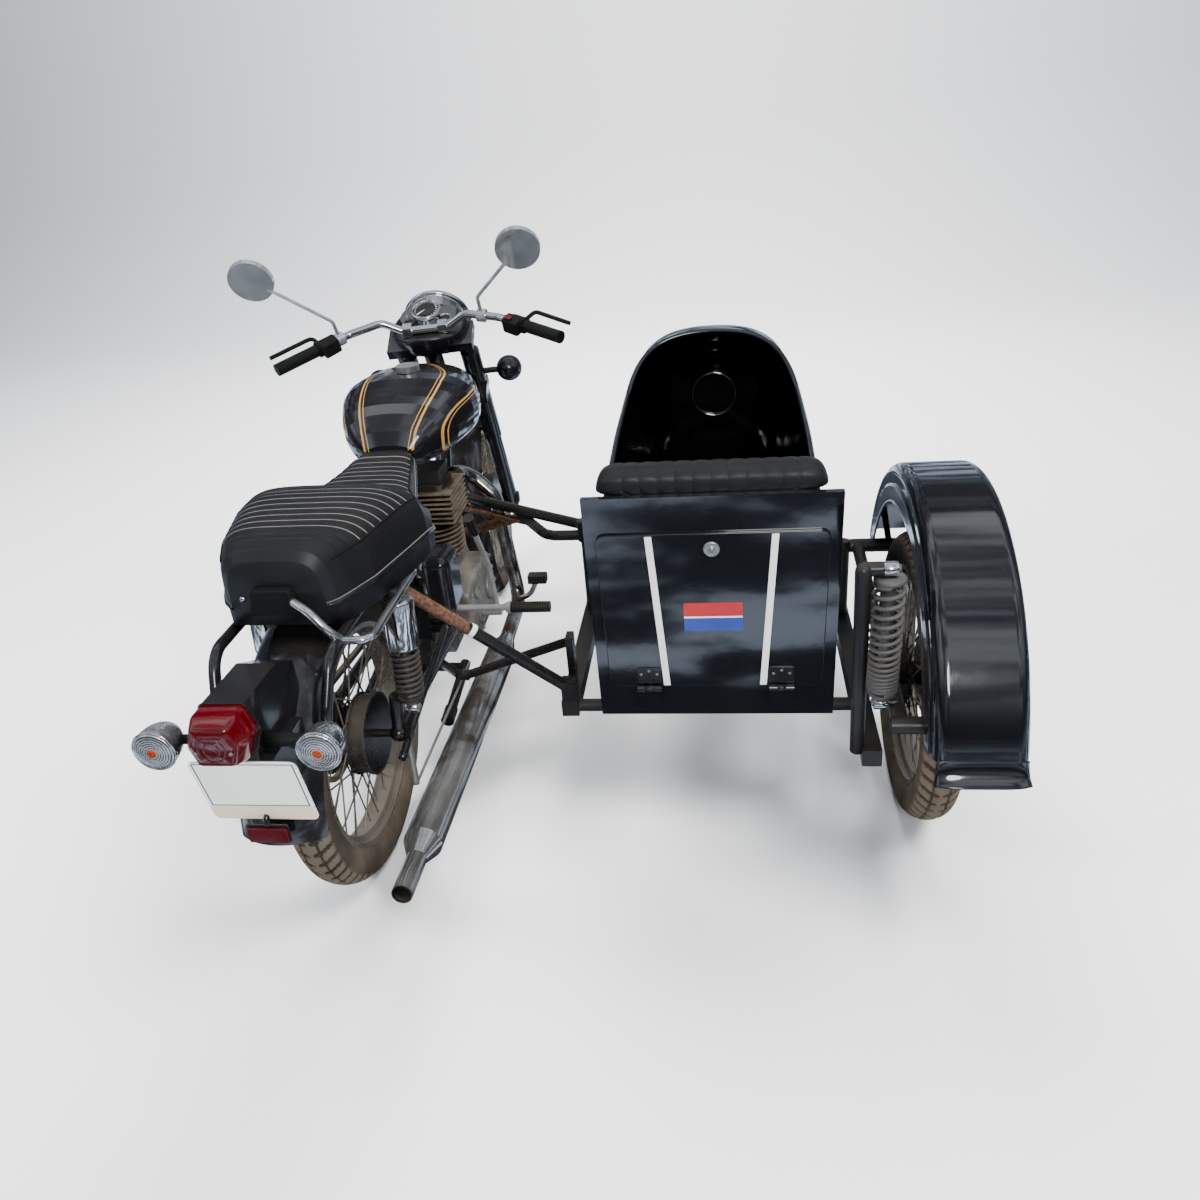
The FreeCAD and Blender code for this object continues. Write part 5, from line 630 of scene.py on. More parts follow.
plate_white = finish("plate_white", (0.80, 0.80, 0.78), rough=0.35, dust=0.12, paint=plate_face, spread=0.03)
strip_white = finish("strip_white", (0.74, 0.74, 0.72), rough=0.3, dust=0.1, spread=0.04)
sign_red = finish("sign_red", (0.40, 0.008, 0.015), rough=0.35, dust=0.1)
sign_blue = finish("sign_blue", (0.018, 0.04, 0.28), rough=0.35, dust=0.1)
grey_paint = finish("grey_paint", (0.045, 0.045, 0.045), rough=0.35, dust=0.25, low_height=0.7)
spring_black = finish("spring_black", (0.014, 0.014, 0.014), rough=0.35, dust=0.25, low_height=0.6)
satin_alloy = finish("satin_alloy", (0.46, 0.455, 0.44), 0.9, 0.28, dust=0.1, grain=600, bump=0.2)
dial_black = finish("dial_black", (0.01, 0.01, 0.01), rough=0.25, dust=0.03, coat=0.1, spread=0.0,
                    paint=dial_face, shine=0.2)
finish("mirror_glass", (0.56, 0.60, 0.64), 0.8, 0.03, dust=0.05, spread=0.25, patch_size=12, bump=0.0)

OTHER_COAT = {"shock_chrome": "bright_chrome", "shock_grey": "grey_paint", "fork_metal": "black_paint"}
for part in frame["record"]["subparts"]:
    slot = part["material_slot"]
    mesh = nodes[part["node"]].data
    mesh.materials.clear()
    mesh.materials.append(COATS[OTHER_COAT.get(slot, slot)])
for name in ("front", "rear", "sidecar"):
    hub_place = joint_named[f"{name}_wheel_roll"]["pos_m"]
    coat = finish(f"{name}_wheel_coat", (0.27, 0.245, 0.21), 0.9, 0.2, dust=0.38, low_height=0.65,
                  paint=wheel_zones(hub_place))
    nodes[f"{name}_wheel"].data.materials[0] = coat
nodes["nose_lamp"].data.materials[0] = black_paint
nodes["filler_cap"].data.materials[0] = satin_alloy
nodes["foot_controls"].data.materials[0] = pedal_coat
print(len(COATS), "coats on", len(nodes), "nodes")

# %% [markdown]
# ## The camera
# The photograph was taken from behind and above, about two metres from the sidecar. Its place was
# solved from the wheels, whose sizes are known. The frame is square, so the focal length in pixels
# of a 1200 pixel frame gives the lens for a 36 mm sensor.

# %% Camera
CAMERA_PLACE = (0.826, -1.700, 1.549)
YAW, PITCH, ROLL = (math.radians(angle) for angle in (-8.49, 27.62, -5.03))
FOCAL_PIXELS, FRAME_PIXELS, SENSOR = 970.6, 1200, 36.0
gaze = np.array([math.sin(YAW) * math.cos(PITCH), math.cos(YAW) * math.cos(PITCH), -math.sin(PITCH)])
level_right = np.array([math.cos(YAW), -math.sin(YAW), 0])
level_up = np.cross(level_right, gaze)
camera_right = math.cos(ROLL) * level_right + math.sin(ROLL) * level_up
camera_up = -math.sin(ROLL) * level_right + math.cos(ROLL) * level_up
camera_data = bpy.data.cameras.new("camera")
camera_data.sensor_width = SENSOR
camera_data.lens = FOCAL_PIXELS / FRAME_PIXELS * SENSOR
camera = bpy.data.objects.new("camera", camera_data)
bpy.context.scene.collection.objects.link(camera)
turn = np.eye(4)
turn[:3, 0], turn[:3, 1], turn[:3, 2], turn[:3, 3] = camera_right, camera_up, -gaze, at(CAMERA_PLACE)[0]
camera.matrix_world = Matrix(turn.tolist())
bpy.context.scene.camera = camera
print("camera with a lens of", round(camera_data.lens, 2), "mm")

# %% [markdown]
# ## Floor and light
# A plain pale floor that bends up into a backdrop, and soft light from large discs. Black gloss
# shows what it mirrors, so rays that leave a shiny surface see streaked ground, clouds and a
# brighter sky instead of the plain floor.

# %% Floor and light
BEND_START, BEND_RADIUS, FLOOR_HALF = 5.0, 4.0, 30.0
turn_up = np.linspace(0, np.pi / 2, 24)
floor_run = np.concatenate([[-FLOOR_HALF, BEND_START], BEND_START + BEND_RADIUS * np.sin(turn_up), [9.0]])
floor_rise = np.concatenate([[0.0, 0.0], BEND_RADIUS - BEND_RADIUS * np.cos(turn_up), [16.0]])
floor_side, run = np.meshgrid([-FLOOR_HALF, FLOOR_HALF], floor_run)
floor_points = np.stack([floor_side, run, np.repeat(floor_rise[:, None], 2, axis=1)], -1)
floor_mesh = bpy.data.meshes.new("floor")
floor_mesh.from_pydata(floor_points.reshape(-1, 3).tolist(), [], grid_faces(len(floor_run), 2).tolist())
floor_mesh.polygons.foreach_set("use_smooth", np.ones(len(floor_mesh.polygons), bool))
floor = bpy.data.objects.new("floor", floor_mesh)
bpy.context.scene.collection.objects.link(floor)
floor_coat = bpy.data.materials.new("pale_floor")
floor_coat.use_nodes = True
floor_tree = floor_coat.node_tree
floor_shader = floor_tree.nodes["Principled BSDF"].inputs
floor_shader["Roughness"].default_value = 0.9
ground = mixed(ramp(streaks(floor_tree, 0.5, 1.6, 1.6, 7), 0.50, 0.56), (0.012, 0.014, 0.019),
               (0.42, 0.49, 0.60))
clouds = mixed(ramp(streaks(floor_tree, 0.2, 0.5, 0.8), 0.42, 0.62), (0.03, 0.036, 0.05), (0.26, 0.30, 0.36))
around_there = mixed(ramp(parts_of(object_place(floor_tree))[2], 3.0, 7.0), ground, clouds)
mirror_ray = Wire(floor_tree, floor_tree.nodes.new("ShaderNodeLightPath").outputs["Is Glossy Ray"])
plug(floor_shader["Base Color"], mixed(mirror_ray, (0.90, 0.90, 0.90), around_there))
floor.data.materials.append(floor_coat)

world = bpy.data.worlds.new("sky")
world.use_nodes = True
sky_tree = world.node_tree
background = sky_tree.nodes["Background"].inputs
background["Strength"].default_value = 0.32
gaze_way = Wire(sky_tree, sky_tree.nodes.new("ShaderNodeTexCoord").outputs["Generated"])
broken_sky = mixed(ramp(streaks(sky_tree, 0.8, 2.0, 2.2), 0.40, 0.62), (0.5, 0.6, 0.8), (3.6, 3.9, 4.2))
seen_sky = mixed(ramp(parts_of(gaze_way)[2], 0.05, 0.5), (0.08, 0.09, 0.10), broken_sky)
mirror_ray = Wire(sky_tree, sky_tree.nodes.new("ShaderNodeLightPath").outputs["Is Glossy Ray"])
plug(background["Color"], mixed(mirror_ray, (0.60, 0.74, 1.0), seen_sky))
bpy.context.scene.world = world


def soft_light(name, place, target, size, power, seen=False):
    """A round soft light that looks at a target. Only a seen one shows in reflections."""
    light = bpy.data.lights.new(name, "AREA")
    light.shape = "DISK"
    light.size = size
    light.energy = power
    lamp = bpy.data.objects.new(name, light)
    lamp.location = at(place)[0]
    lamp.visible_glossy = seen
    way = Vector(np.array(target, float) - np.array(place, float))
    lamp.rotation_euler = way.to_track_quat("-Z", "Y").to_euler()
    bpy.context.scene.collection.objects.link(lamp)


soft_light("key_light", (2.8, -1.0, 4.4), (0.6, 0.4, 0.3), 2.4, 470)
soft_light("sky_panel", (0.2, 3.4, 4.6), (0.5, 0.6, 0.4), 3.2, 520)
soft_light("fill_light", (-3.4, -0.6, 3.0), (0.2, 0.3, 0.4), 1.6, 240)
soft_light("rear_strip", (1.6, -5.2, 3.4), (0.7, 0.2, 0.5), 1.6, 120, True)
soft_light("backdrop_wash", (0.5, 4.2, 5.0), (0.5, 9.0, 2.0), 4.0, 500)
print("five soft lights over a floor of", len(floor_run), "rows")

# %% [markdown]
# ## Tyres
# Each tyre is one surface over two angles: round the wheel, and across the section from bead to
# bead. The tread is a pattern of that surface: grooves round the wheel and slanted cuts between
# blocks lower the crown by a few millimetres.


# %% Tyres
TREAD_BLOCKS, TREAD_SLANT, CUT_SHARE, GROOVE_DEPTH = 58, 1.6, 0.32, 0.0065


def tyre_grid(centre, right, half_width, around=464, across=60):
    """Round the axle at an angle and across at a share from -1 to 1. Half-width and radius follow
    an ellipse above the bead, and the tread's grooves are taken off the crown."""
    angle = full_turn(around)[:, None]
    share = np.linspace(-1, 1, across)[None, :]
    section = share * 0.80 * np.pi
    out = half_width * np.sin(section)
    out = np.where(np.abs(share) > 0.93, np.sign(share) * np.maximum(np.abs(out), BEAD_HALF), out)
    reach = SECTION_RADIUS + (TYRE_RADIUS - SECTION_RADIUS) * np.cos(section)
    below = SECTION_RADIUS + (SECTION_RADIUS - BEAD_RADIUS) * np.cos(section) / 0.81
    reach = np.maximum(np.where(np.cos(section) < 0, below, reach), BEAD_RADIUS)
    crown = np.clip((np.cos(section) - 0.25) / 0.2, 0, 1)
    pitch = np.mod(angle * TREAD_BLOCKS / (2 * np.pi) + np.abs(share) * TREAD_SLANT, 1.0)
    cut = (pitch < CUT_SHARE) & (np.abs(share) > 0.05)
    groove = (np.abs(np.abs(share) - 0.15) < 0.022) | cut
    reach = reach - GROOVE_DEPTH * crown * groove
    out = np.broadcast_to(out, reach.shape)
    forward = np.cross([0, 0, 1.0], right)
    forward /= np.linalg.norm(forward)
    upward = np.cross(right, forward)
    ring = np.cos(angle)[..., None] * forward + np.sin(angle)[..., None] * upward
    return np.asarray(centre) + out[..., None] * np.asarray(right) + reach[..., None] * ring


for name, half_width in (("front", 0.042), ("rear", 0.046), ("sidecar", 0.046)):
    joint = joint_named[f"{name}_wheel_roll"]
    centre, axle = joint["pos_m"], np.array(joint["axis"], float)
    grid = tyre_grid(centre, axle, half_width)
    dressed = grid_piece(f"{name}_tyre_tread", grid, f"{name}_wheel_set", tyre_rubber, True, True)
    dressed.data.materials[0] = finish(f"{name}_tyre_rubber", (0.016, 0.014, 0.013), rough=0.85, dust=0.45,
                                       low_height=0.8, patch_size=9, spread=0.3, grain=260, bump=0.35,
                                       paint=tread_dust_and_groove_shade(centre, axle, half_width), shine=0.2)
    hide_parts(f"{name}_tyre")
print("three tyres with tread")

# %% [markdown]
# ## The sidecar's body
# The body is one skin: every section across it is a rounded box of four cubic curves. Behind the
# arch each section stops at the rim, so the same formula makes the sides, the cowl and the nose.

# %% Sidecar body
SIDECAR_MIDDLE = 0.795
TUB_REAR, TUB_NOSE, TUB_LOW, ARCH_HIGH, TUB_HALF = 0.088, 1.240, 0.318, 1.006, 0.224
RIM_REAR, RIM_FRONT, RIM_FRONT_Y, ARCH_Y = 0.828, 0.883, 0.640, 0.740
SECTION_SHARES = np.array([
    (0.0, 0.97, 0.0, 0.98), (0.30, 1.0, 0.0, 1.0), (0.57, 0.99, 0.01, 1.0), (0.78, 0.92, 0.08, 0.93),
    (0.92, 0.80, 0.20, 0.84), (1.0, 0.62, 0.34, 0.72)])


def rounded_box_section(fullness, count=60):
    """Half of a rounded box from its top to its foot, as unit (across, up) rows: two cubic curves
    whose inner points lie a fullness of the way to the box's corners."""
    t = np.linspace(0, 1, count)[:, None]
    def cubic(a, corner, b):
        p1, p2 = a + (corner - a) * fullness, b + (corner - b) * fullness
        return (1 - t) ** 3 * a + 3 * (1 - t) ** 2 * t * p1 + 3 * (1 - t) * t ** 2 * p2 + t ** 3 * b
    top, side, foot = np.array([0, 1.0]), np.array([1.0, 0]), np.array([0, -1.0])
    return np.vstack([cubic(top, np.array([1, 1.0]), side), cubic(side, np.array([1, -1.0]), foot)[1:]])


def cubic_through(x, known_x, known_y):
    """A smooth curve through a table: a cubic between each two rows, whose slope at a row is the
    mean of the slopes beside it, or nought where these differ in sign."""
    slope = np.diff(known_y) / np.diff(known_x)
    inner = np.where(slope[1:] * slope[:-1] > 0, (slope[1:] + slope[:-1]) / 2, 0.0)
    tangent = np.concatenate([slope[:1], inner, slope[-1:]])
    k = np.clip(np.searchsorted(known_x, x, side="right") - 1, 0, len(known_x) - 2)
    step = known_x[k + 1] - known_x[k]
    t = (x - known_x[k]) / step
    a, b, da, db = known_y[k], known_y[k + 1], tangent[k] * step, tangent[k + 1] * step
    ease = 3 * t ** 2 - 2 * t ** 3
    return (1 - ease) * a + (t ** 3 - 2 * t ** 2 + t) * da + ease * b + (t ** 3 - t ** 2) * db


def rim_height(y):
    """The height of the rim: it rises slowly to the arch and then steeply to its top."""
    return np.interp(y, [TUB_REAR, RIM_FRONT_Y, ARCH_Y], [RIM_REAR, RIM_FRONT, ARCH_HIGH + 0.02])


def tub_grid(stations, columns, fullness=0.8):
    """Sections from the rear panel to the nose. Their width and edges run smoothly between the
    table's shares, and each is drawn from rim to rim round the floor, or whole where it has no rim."""
    unit = rounded_box_section(fullness)
    share = (stations - TUB_REAR) / (TUB_NOSE - TUB_REAR)
    width, low, high = (cubic_through(share, SECTION_SHARES[:, 0], SECTION_SHARES[:, k]) for k in (1, 2, 3))
    span = ARCH_HIGH - TUB_LOW
    bottom, top = TUB_LOW + span * low, TUB_LOW + span * high
    middle, half_height = (bottom + top) / 2, (top - bottom) / 2
    half_width = TUB_HALF * width
    rows = []
    for y, m, hh, hw in zip(stations, middle, half_height, half_width):
        level = (rim_height(y) - m) / hh
        start = 0.0 if level >= 1 else np.interp(-level, -unit[:, 1], np.arange(len(unit)))
        run = np.linspace(start, len(unit) - 1, columns)
        across = np.interp(run, np.arange(len(unit)), unit[:, 0]) * hw
        upward = np.interp(run, np.arange(len(unit)), unit[:, 1]) * hh + m
        left = np.stack([SIDECAR_MIDDLE - across, np.full(columns, y), upward], -1)
        right = np.stack([SIDECAR_MIDDLE + across, np.full(columns, y), upward], -1)[::-1][1:]
        rows.append(np.vstack([left, right]))
    return np.array(rows) + DATUM


ARCH_TOP_Y = RIM_FRONT_Y + (ARCH_Y - RIM_FRONT_Y) * (ARCH_HIGH - RIM_FRONT) / (ARCH_HIGH + 0.02 - RIM_FRONT)
closing = ARCH_TOP_Y - (ARCH_TOP_Y - RIM_FRONT_Y) * (1 - np.linspace(0, 1, 40)) ** 3
stations = np.unique(np.concatenate([np.linspace(TUB_REAR, RIM_FRONT_Y, 24), closing,
                                     np.linspace(ARCH_TOP_Y, TUB_NOSE, 44)]))
shell_grid = tub_grid(stations, 50)
tub = grid_piece("sidecar_shell", shell_grid, "chassis", sidecar_paint)
thicken(tub, 0.004)
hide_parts("sidecar_tub")

rim_rows = stations <= ARCH_TOP_Y + 1e-6
rim_line = np.vstack([shell_grid[rim_rows, 0], shell_grid[rim_rows, -1][::-1]])
rim_run = np.concatenate([[0], np.cumsum(np.linalg.norm(np.diff(rim_line, axis=0), axis=1))])
even = np.linspace(0, rim_run[-1], 140)
rim_path = np.stack([np.interp(even, rim_run, rim_line[:, k]) for k in range(3)], -1)
tube("cockpit_rim_bead", rim_path, 0.0065, "chassis", sidecar_paint)

RING_RADIUS, RING_BAR = 0.0655, 0.0035
ring_turn, bar_turn = full_turn(72), full_turn(10)[:, None, None]
outward = np.stack([np.cos(ring_turn), np.zeros(72), np.sin(ring_turn)], -1)
ring_grid = spot(SIDECAR_MIDDLE, 1.2235, 0.705) + (RING_RADIUS + RING_BAR * np.cos(bar_turn)) * outward
ring_grid = ring_grid + RING_BAR * np.sin(bar_turn) * np.array([0, 1.0, 0])
grid_piece("nose_ring", ring_grid, "chassis", bright_chrome, wrap_rows=True, wrap_columns=True)

nose_edge = shell_grid[-1]
nose_centre = nose_edge.mean(0)
disc_share = np.linspace(1, 0.02, 12)[:, None, None]
nose_bulge = np.array([0, 0.012, 0]) * (1 - disc_share ** 2)
nose_grid = nose_centre + (nose_edge - nose_centre)[None] * disc_share + nose_bulge
grid_piece("nose_cap", nose_grid, "chassis", sidecar_paint)
print("sidecar shell", shell_grid.shape)

# %% [markdown]
# ## Boot lid
# The lid is a flat sheet with two white strips that spread upwards, a blank two-colour sign, a
# round lock and a pair of butt hinges. Each is a piece of its own, because each has its own finish.


# %% Boot lid and rear panel
def thick_sheet(name, layers, body, material, bevel):
    """Two equal outlines joined by a band of faces, with the edges rounded."""
    n = len(layers[0])
    faces = [list(range(n)), list(range(n, 2 * n))]
    faces += [[k, (k + 1) % n, n + (k + 1) % n, n + k] for k in range(n)]
    obj = piece(name, np.vstack(layers), faces, body, material)
    edge = obj.modifiers.new("edge", "BEVEL")
    edge.width = bevel
    edge.segments = 2
    edge.harden_normals = True
    return obj


def slab(name, outline, y_back, y_front, body, material, bevel=0.0012):
    """An (x, z) outline given thickness between two places along Y."""
    layers = [at(np.insert(np.asarray(outline, float), 1, y, axis=1)) for y in (y_back, y_front)]
    return thick_sheet(name, layers, body, material, bevel)


def rectangle(left, right, low, high):
    """The four corners of an upright rectangle."""
    return [(left, low), (right, low), (right, high), (left, high)]


def round_corners(corners, radius, count=6):
    """An outline whose corners are quarter turns: each corner is replaced by points on the curve
    that starts and ends a radius away from it, along its two sides."""
    corners = np.asarray(corners, float)
    t = np.linspace(0, 1, count)[:, None]
    rows = []
    for k in range(len(corners)):
        before, corner, after = corners[k - 1], corners[k], corners[(k + 1) % len(corners)]
        a = corner + (before - corner) / np.linalg.norm(before - corner) * radius
        b = corner + (after - corner) / np.linalg.norm(after - corner) * radius
        rows.append((1 - t) ** 2 * a + 2 * (1 - t) * t * corner + t ** 2 * b)
    return np.vstack(rows)


M = SIDECAR_MIDDLE
PANEL_FACE, LID_FACE = 0.0717, 0.0634
LID_LOW, LID_HIGH, LID_HALF_LOW, LID_HALF_HIGH = 0.402, 0.760, 0.225, 0.234
STRIP_HALF, STRIP_END, STRIP_THICK = 0.007, 0.004, 0.0015
HINGE_HALF, LEAF_THICK, SIGN_HALF = 0.026, 0.002, 0.060
SMALL_HEAD = [(0.0035, 0), (0.0030, 0.0012), (0.0006, 0.0020)]
REARWARD, RIGHT = (0, -1, 0), (1, 0, 0)


def hinge_plate(name, middle, low, face, body):
    """One leaf of a butt hinge, 40 mm high, proud of the face it is bolted to."""
    outline = round_corners(rectangle(middle - HINGE_HALF, middle + HINGE_HALF, low, low + 0.040), 0.004)
    return slab(name, outline, face - LEAF_THICK, face, body, black_paint, 0.0005)


lid_outline = round_corners([(M - LID_HALF_LOW, LID_LOW), (M + LID_HALF_LOW, LID_LOW),
                             (M + LID_HALF_HIGH, LID_HIGH), (M - LID_HALF_HIGH, LID_HIGH)], 0.022)
lid = slab("lid_sheet", lid_outline, LID_FACE, LID_FACE + 0.008, "lid", sidecar_paint, 0.002)
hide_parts("boot_lid")
for side, label in ((-1, "left"), (1, "right")):
    foot, head = M + side * 0.102, M + side * 0.126
    strip_outline = [(foot - STRIP_HALF, LID_LOW + STRIP_END), (foot + STRIP_HALF, LID_LOW + STRIP_END),
                     (head + STRIP_HALF, LID_HIGH - STRIP_END), (head - STRIP_HALF, LID_HIGH - STRIP_END)]
    slab(f"{label}_strip", strip_outline, LID_FACE - STRIP_THICK, LID_FACE, "lid", strip_white, 0.0004)
    hinge_x = M + side * 0.140
    leaf = hinge_plate(f"{label}_hinge_leaf", hinge_x, 0.410, LID_FACE, "lid")
    knuckle_profile = [(0.0001, -0.0088), (0.007, -0.0088), (0.007, 0.0088), (0.0001, 0.0088)]
    knuckle_place = spot(hinge_x, 0.0559, 0.402)
    knuckle = turned_piece(f"{label}_hinge_knuckle", knuckle_profile, knuckle_place, RIGHT, "lid",
                           black_paint, 24)
    hinge_plate(f"{label}_hinge_foot", hinge_x, 0.354, PANEL_FACE, "chassis")
    for k, (dx, dz) in enumerate(((-0.017, 0.0), (0.0, 0.008), (0.017, 0.0))):
        bolt_place = spot(hinge_x + dx, PANEL_FACE - LEAF_THICK, 0.372 - dz)
        turned_piece(f"{label}_hinge_bolt_{k}", SMALL_HEAD, bolt_place, REARWARD, "chassis", control_steel,
                     16)
        screw_place = spot(hinge_x + dx, LID_FACE - LEAF_THICK, 0.434 + dz)
        screw = turned_piece(f"{label}_hinge_screw_{k}", SMALL_HEAD, screw_place, REARWARD, "lid",
                             control_steel, 16)
LOCK_PROFILE = [(0.0165, 0), (0.0165, 0.002), (0.0155, 0.0035), (0.0125, 0.004), (0.0115, 0.0032),
                (0.0060, 0.0036), (0.0055, 0.0050), (0.0004, 0.0050)]
lock = turned_piece("lid_lock", LOCK_PROFILE, spot(M, LID_FACE, 0.726), REARWARD, "lid", satin_alloy)
for label, low, high, coat in (("upper_sign", 0.574, 0.605, sign_red),
                               ("lower_sign", 0.539, 0.570, sign_blue)):
    sign_outline = round_corners(rectangle(M - SIGN_HALF, M + SIGN_HALF, low, high), 0.002, 3)
    slab(label, sign_outline, LID_FACE - STRIP_THICK, LID_FACE, "lid", coat, 0.0003)
slab("sign_band", rectangle(M - SIGN_HALF, M + SIGN_HALF, 0.570, 0.574), LID_FACE - 0.0013, LID_FACE, "lid",
     strip_white, 0.0002)
print("boot lid", 2 * LID_HALF_HIGH, "m wide with two strips, a sign, a lock and two hinges")

# %% [markdown]
# ## Seats
# The dual seat is one skin over sections that change along it. Sewn channels across the top are
# dips of that skin, and a white cord of piping lies in most of them. The sidecar's cushion and
# backrest are rows of stuffed channels, whose swell is the root of a sine.

# %% Dual seat
SEAT_REAR, SEAT_LENGTH, SEAT_HALF, SEAT_LOW, SEAT_HIGH = -0.190, 0.709, 0.200, 0.7033, 0.874
SEAT_SHARES = np.array([(0.0, 0.46, 0.04, 0.80), (0.02, 0.54, 0.0, 0.92), (0.06, 0.62, 0.0, 0.95),
                        (0.15, 0.76, 0.0, 0.965), (0.35, 0.93, 0.0, 1.0), (0.45, 0.99, 0.0, 0.96),
                        (0.52, 0.98, 0.0, 0.66), (0.60, 0.80, 0.02, 0.56), (0.70, 0.60, 0.10, 0.56),
                        (0.85, 0.46, 0.20, 0.58), (0.96, 0.36, 0.34, 0.62), (1.0, 0.26, 0.42, 0.60)])
CHANNEL_PITCH = 0.0262


def seat_section(y, run):
    """The seat's outline at a place along it. run goes from 0 at the left foot over the top to 1
    at the right foot; across is a power of a cosine, so the shoulders are full."""
    share = (y - SEAT_REAR) / SEAT_LENGTH
    width, low, high = (np.interp(share, SEAT_SHARES[:, 0], SEAT_SHARES[:, k]) for k in (1, 2, 3))
    low, high = SEAT_LOW + (SEAT_HIGH - SEAT_LOW) * low, SEAT_LOW + (SEAT_HIGH - SEAT_LOW) * high
    turn = np.pi * (1 - run)
    across = signed_power(np.cos(turn), 0.45) * SEAT_HALF * width
    upward = low + (high - low) * np.abs(np.sin(turn)) ** 0.42
    crown = np.clip((np.sin(turn) - 0.35) / 0.4, 0, 1)
    ridged = np.clip((share - 0.06) / 0.03, 0, 1) * np.clip((0.93 - share) / 0.03, 0, 1)
    ripple = np.abs(np.sin(np.pi * (y - SEAT_REAR) / CHANNEL_PITCH)) ** 0.5
    return across, upward - 0.0035 * crown * ridged * (1 - ripple)


seat_y = np.linspace(SEAT_REAR, SEAT_REAR + SEAT_LENGTH, 420)[:, None]
seat_run = np.linspace(0, 1, 49)[None, :]
seat_x, seat_z = seat_section(seat_y, seat_run)
seat_grid = np.stack([seat_x, np.broadcast_to(seat_y, seat_x.shape), seat_z], -1) + DATUM
dual_seat = grid_piece("dual_seat", seat_grid, "chassis", seat_vinyl, wrap_columns=True, caps=True)
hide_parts("seat")
PIPED_CHANNELS = (*range(4, 12), *range(14, 26))
for k in PIPED_CHANNELS:
    y = SEAT_REAR + CHANNEL_PITCH * k
    x, z = seat_section(y, np.linspace(0.20, 0.80, 40))
    line = np.stack([x, np.full(40, y), z + 0.0004], -1) + DATUM
    tube(f"seat_piping_{k:02d}", line, 0.0013, "chassis", piping_white, 8)


def seat_edge(run, y, spread, lift):
    """A line along the seat at one place round its section, a little outside and above the skin."""
    x, z = seat_section(y, np.full(len(y), run))
    return np.stack([x * spread, y, z + lift], -1) + DATUM


welt_y = np.linspace(SEAT_REAR + 0.03, SEAT_REAR + 0.94 * SEAT_LENGTH, 120)
for run, label in ((0.19, "left"), (0.81, "right")):
    welt = tube(f"seat_welt_{label}", seat_edge(run, welt_y, 1.0, 0.0005), 0.0026, "chassis", grip_rubber, 8)
pod_outline = round_corners([(-0.052, 0.738), (0.040, 0.738), (0.034, 0.790), (-0.044, 0.790)], 0.008)
pod = slab("seat_rear_pod", pod_outline, -0.207, -0.186, "chassis", grip_rubber, 0.004)
rail_points = at((0.034, -0.203, 0.765), (0.070, -0.222, 0.752), (0.100, -0.229, 0.720),
                 (0.118, -0.221, 0.694))
tube("grab_rail_end", smooth_path(rail_points, 32), 0.008, "chassis", bright_chrome, 16)
turned_piece("seat_rear_screw", [(0.0065, 0), (0.006, 0.0015), (0.0006, 0.0028)],
             spot(-0.068, -0.1905, 0.765), REARWARD, "chassis", bright_chrome, 20)
edge_y = np.linspace(SEAT_REAR, SEAT_REAR + SEAT_LENGTH, 90)
for run, label in ((0.012, "left"), (0.988, "right")):
    tube(f"seat_trim_{label}", seat_edge(run, edge_y, 1.004, 0.006), 0.005, "chassis", black_paint, 8)
    # painted highlight: a pale cord outside each lower edge stands for the light along the edge's piping
    tube(f"seat_highlight_cord_{label}", seat_edge(run, edge_y, 1.012, 0.012), 0.0009, "chassis", piping_white, 6)
print("dual seat", seat_grid.shape, "with", len(PIPED_CHANNELS), "lines of piping, welts and a rear pod")

# %% [markdown]
# ### The passenger's seat
# The backrest is a roll of stuffed channels over the rear panel's upper edge, and the cushion is a
# flat pad of them on the box. A cloth simulation could puff them up. Both are tight over foam, so
# a formula does it here: a seam draws the skin in, and the foam rounds it between two seams.


# %% Sidecar seat
BACK_CHANNELS = 10
CUSHION_HALF, CUSHION_DEPTH, CUSHION_CHANNELS = 0.202, 0.088, 8


def channel_swell(share, count):
    """How far each stuffed channel stands out: the root of the sine across it."""
    return np.sqrt(np.abs(np.sin(np.pi * share * count)))


def pad_grid(left, right, path, depth, count, swell=0.016, columns=180):
    """A pad whose face follows a (y, z) path at each place across it. The face stands out along
    the path's normal by the channels' swell and its own thickness, and fades to the pad's edges."""
    path = np.asarray(path, float)
    tangent = np.gradient(path, axis=0)
    normal = np.stack([tangent[:, 1], -tangent[:, 0]], -1)
    normal /= np.linalg.norm(normal, axis=1)[:, None]
    share = np.linspace(0, 1, columns)[None, :]
    along = np.linspace(0, 1, len(path))[:, None]
    edge = (1 - np.abs(2 * along - 1) ** 6) * (1 - np.abs(2 * share - 1) ** 10)
    proud = (depth - swell + swell * channel_swell(share, count)) * np.sqrt(np.clip(edge, 0, 1))
    x = left + (right - left) * np.broadcast_to(share, proud.shape)
    face = path[:, None, :] + normal[:, None, :] * proud[..., None]
    return np.stack([x, face[..., 0], face[..., 1]], -1) + DATUM


def closed_pad(name, grid, back, material):
    """The pad's face joined round its border to the same grid pressed flat on its back."""
    rows, columns, _ = grid.shape
    points = np.vstack([grid.reshape(-1, 3), back.reshape(-1, 3)])
    front = grid_faces(rows, columns)
    faces = front.tolist() + (front[:, ::-1] + rows * columns).tolist()
    border = np.concatenate([np.arange(columns), np.arange(1, rows) * columns + columns - 1,
                             (rows - 1) * columns + np.arange(columns - 2, -1, -1),
                             np.arange(rows - 2, 0, -1) * columns])
    after = np.roll(border, -1)
    faces += np.stack([border, after, after + rows * columns, border + rows * columns], -1).tolist()
    pad = piece(name, points, faces, "chassis", material)
    return pad


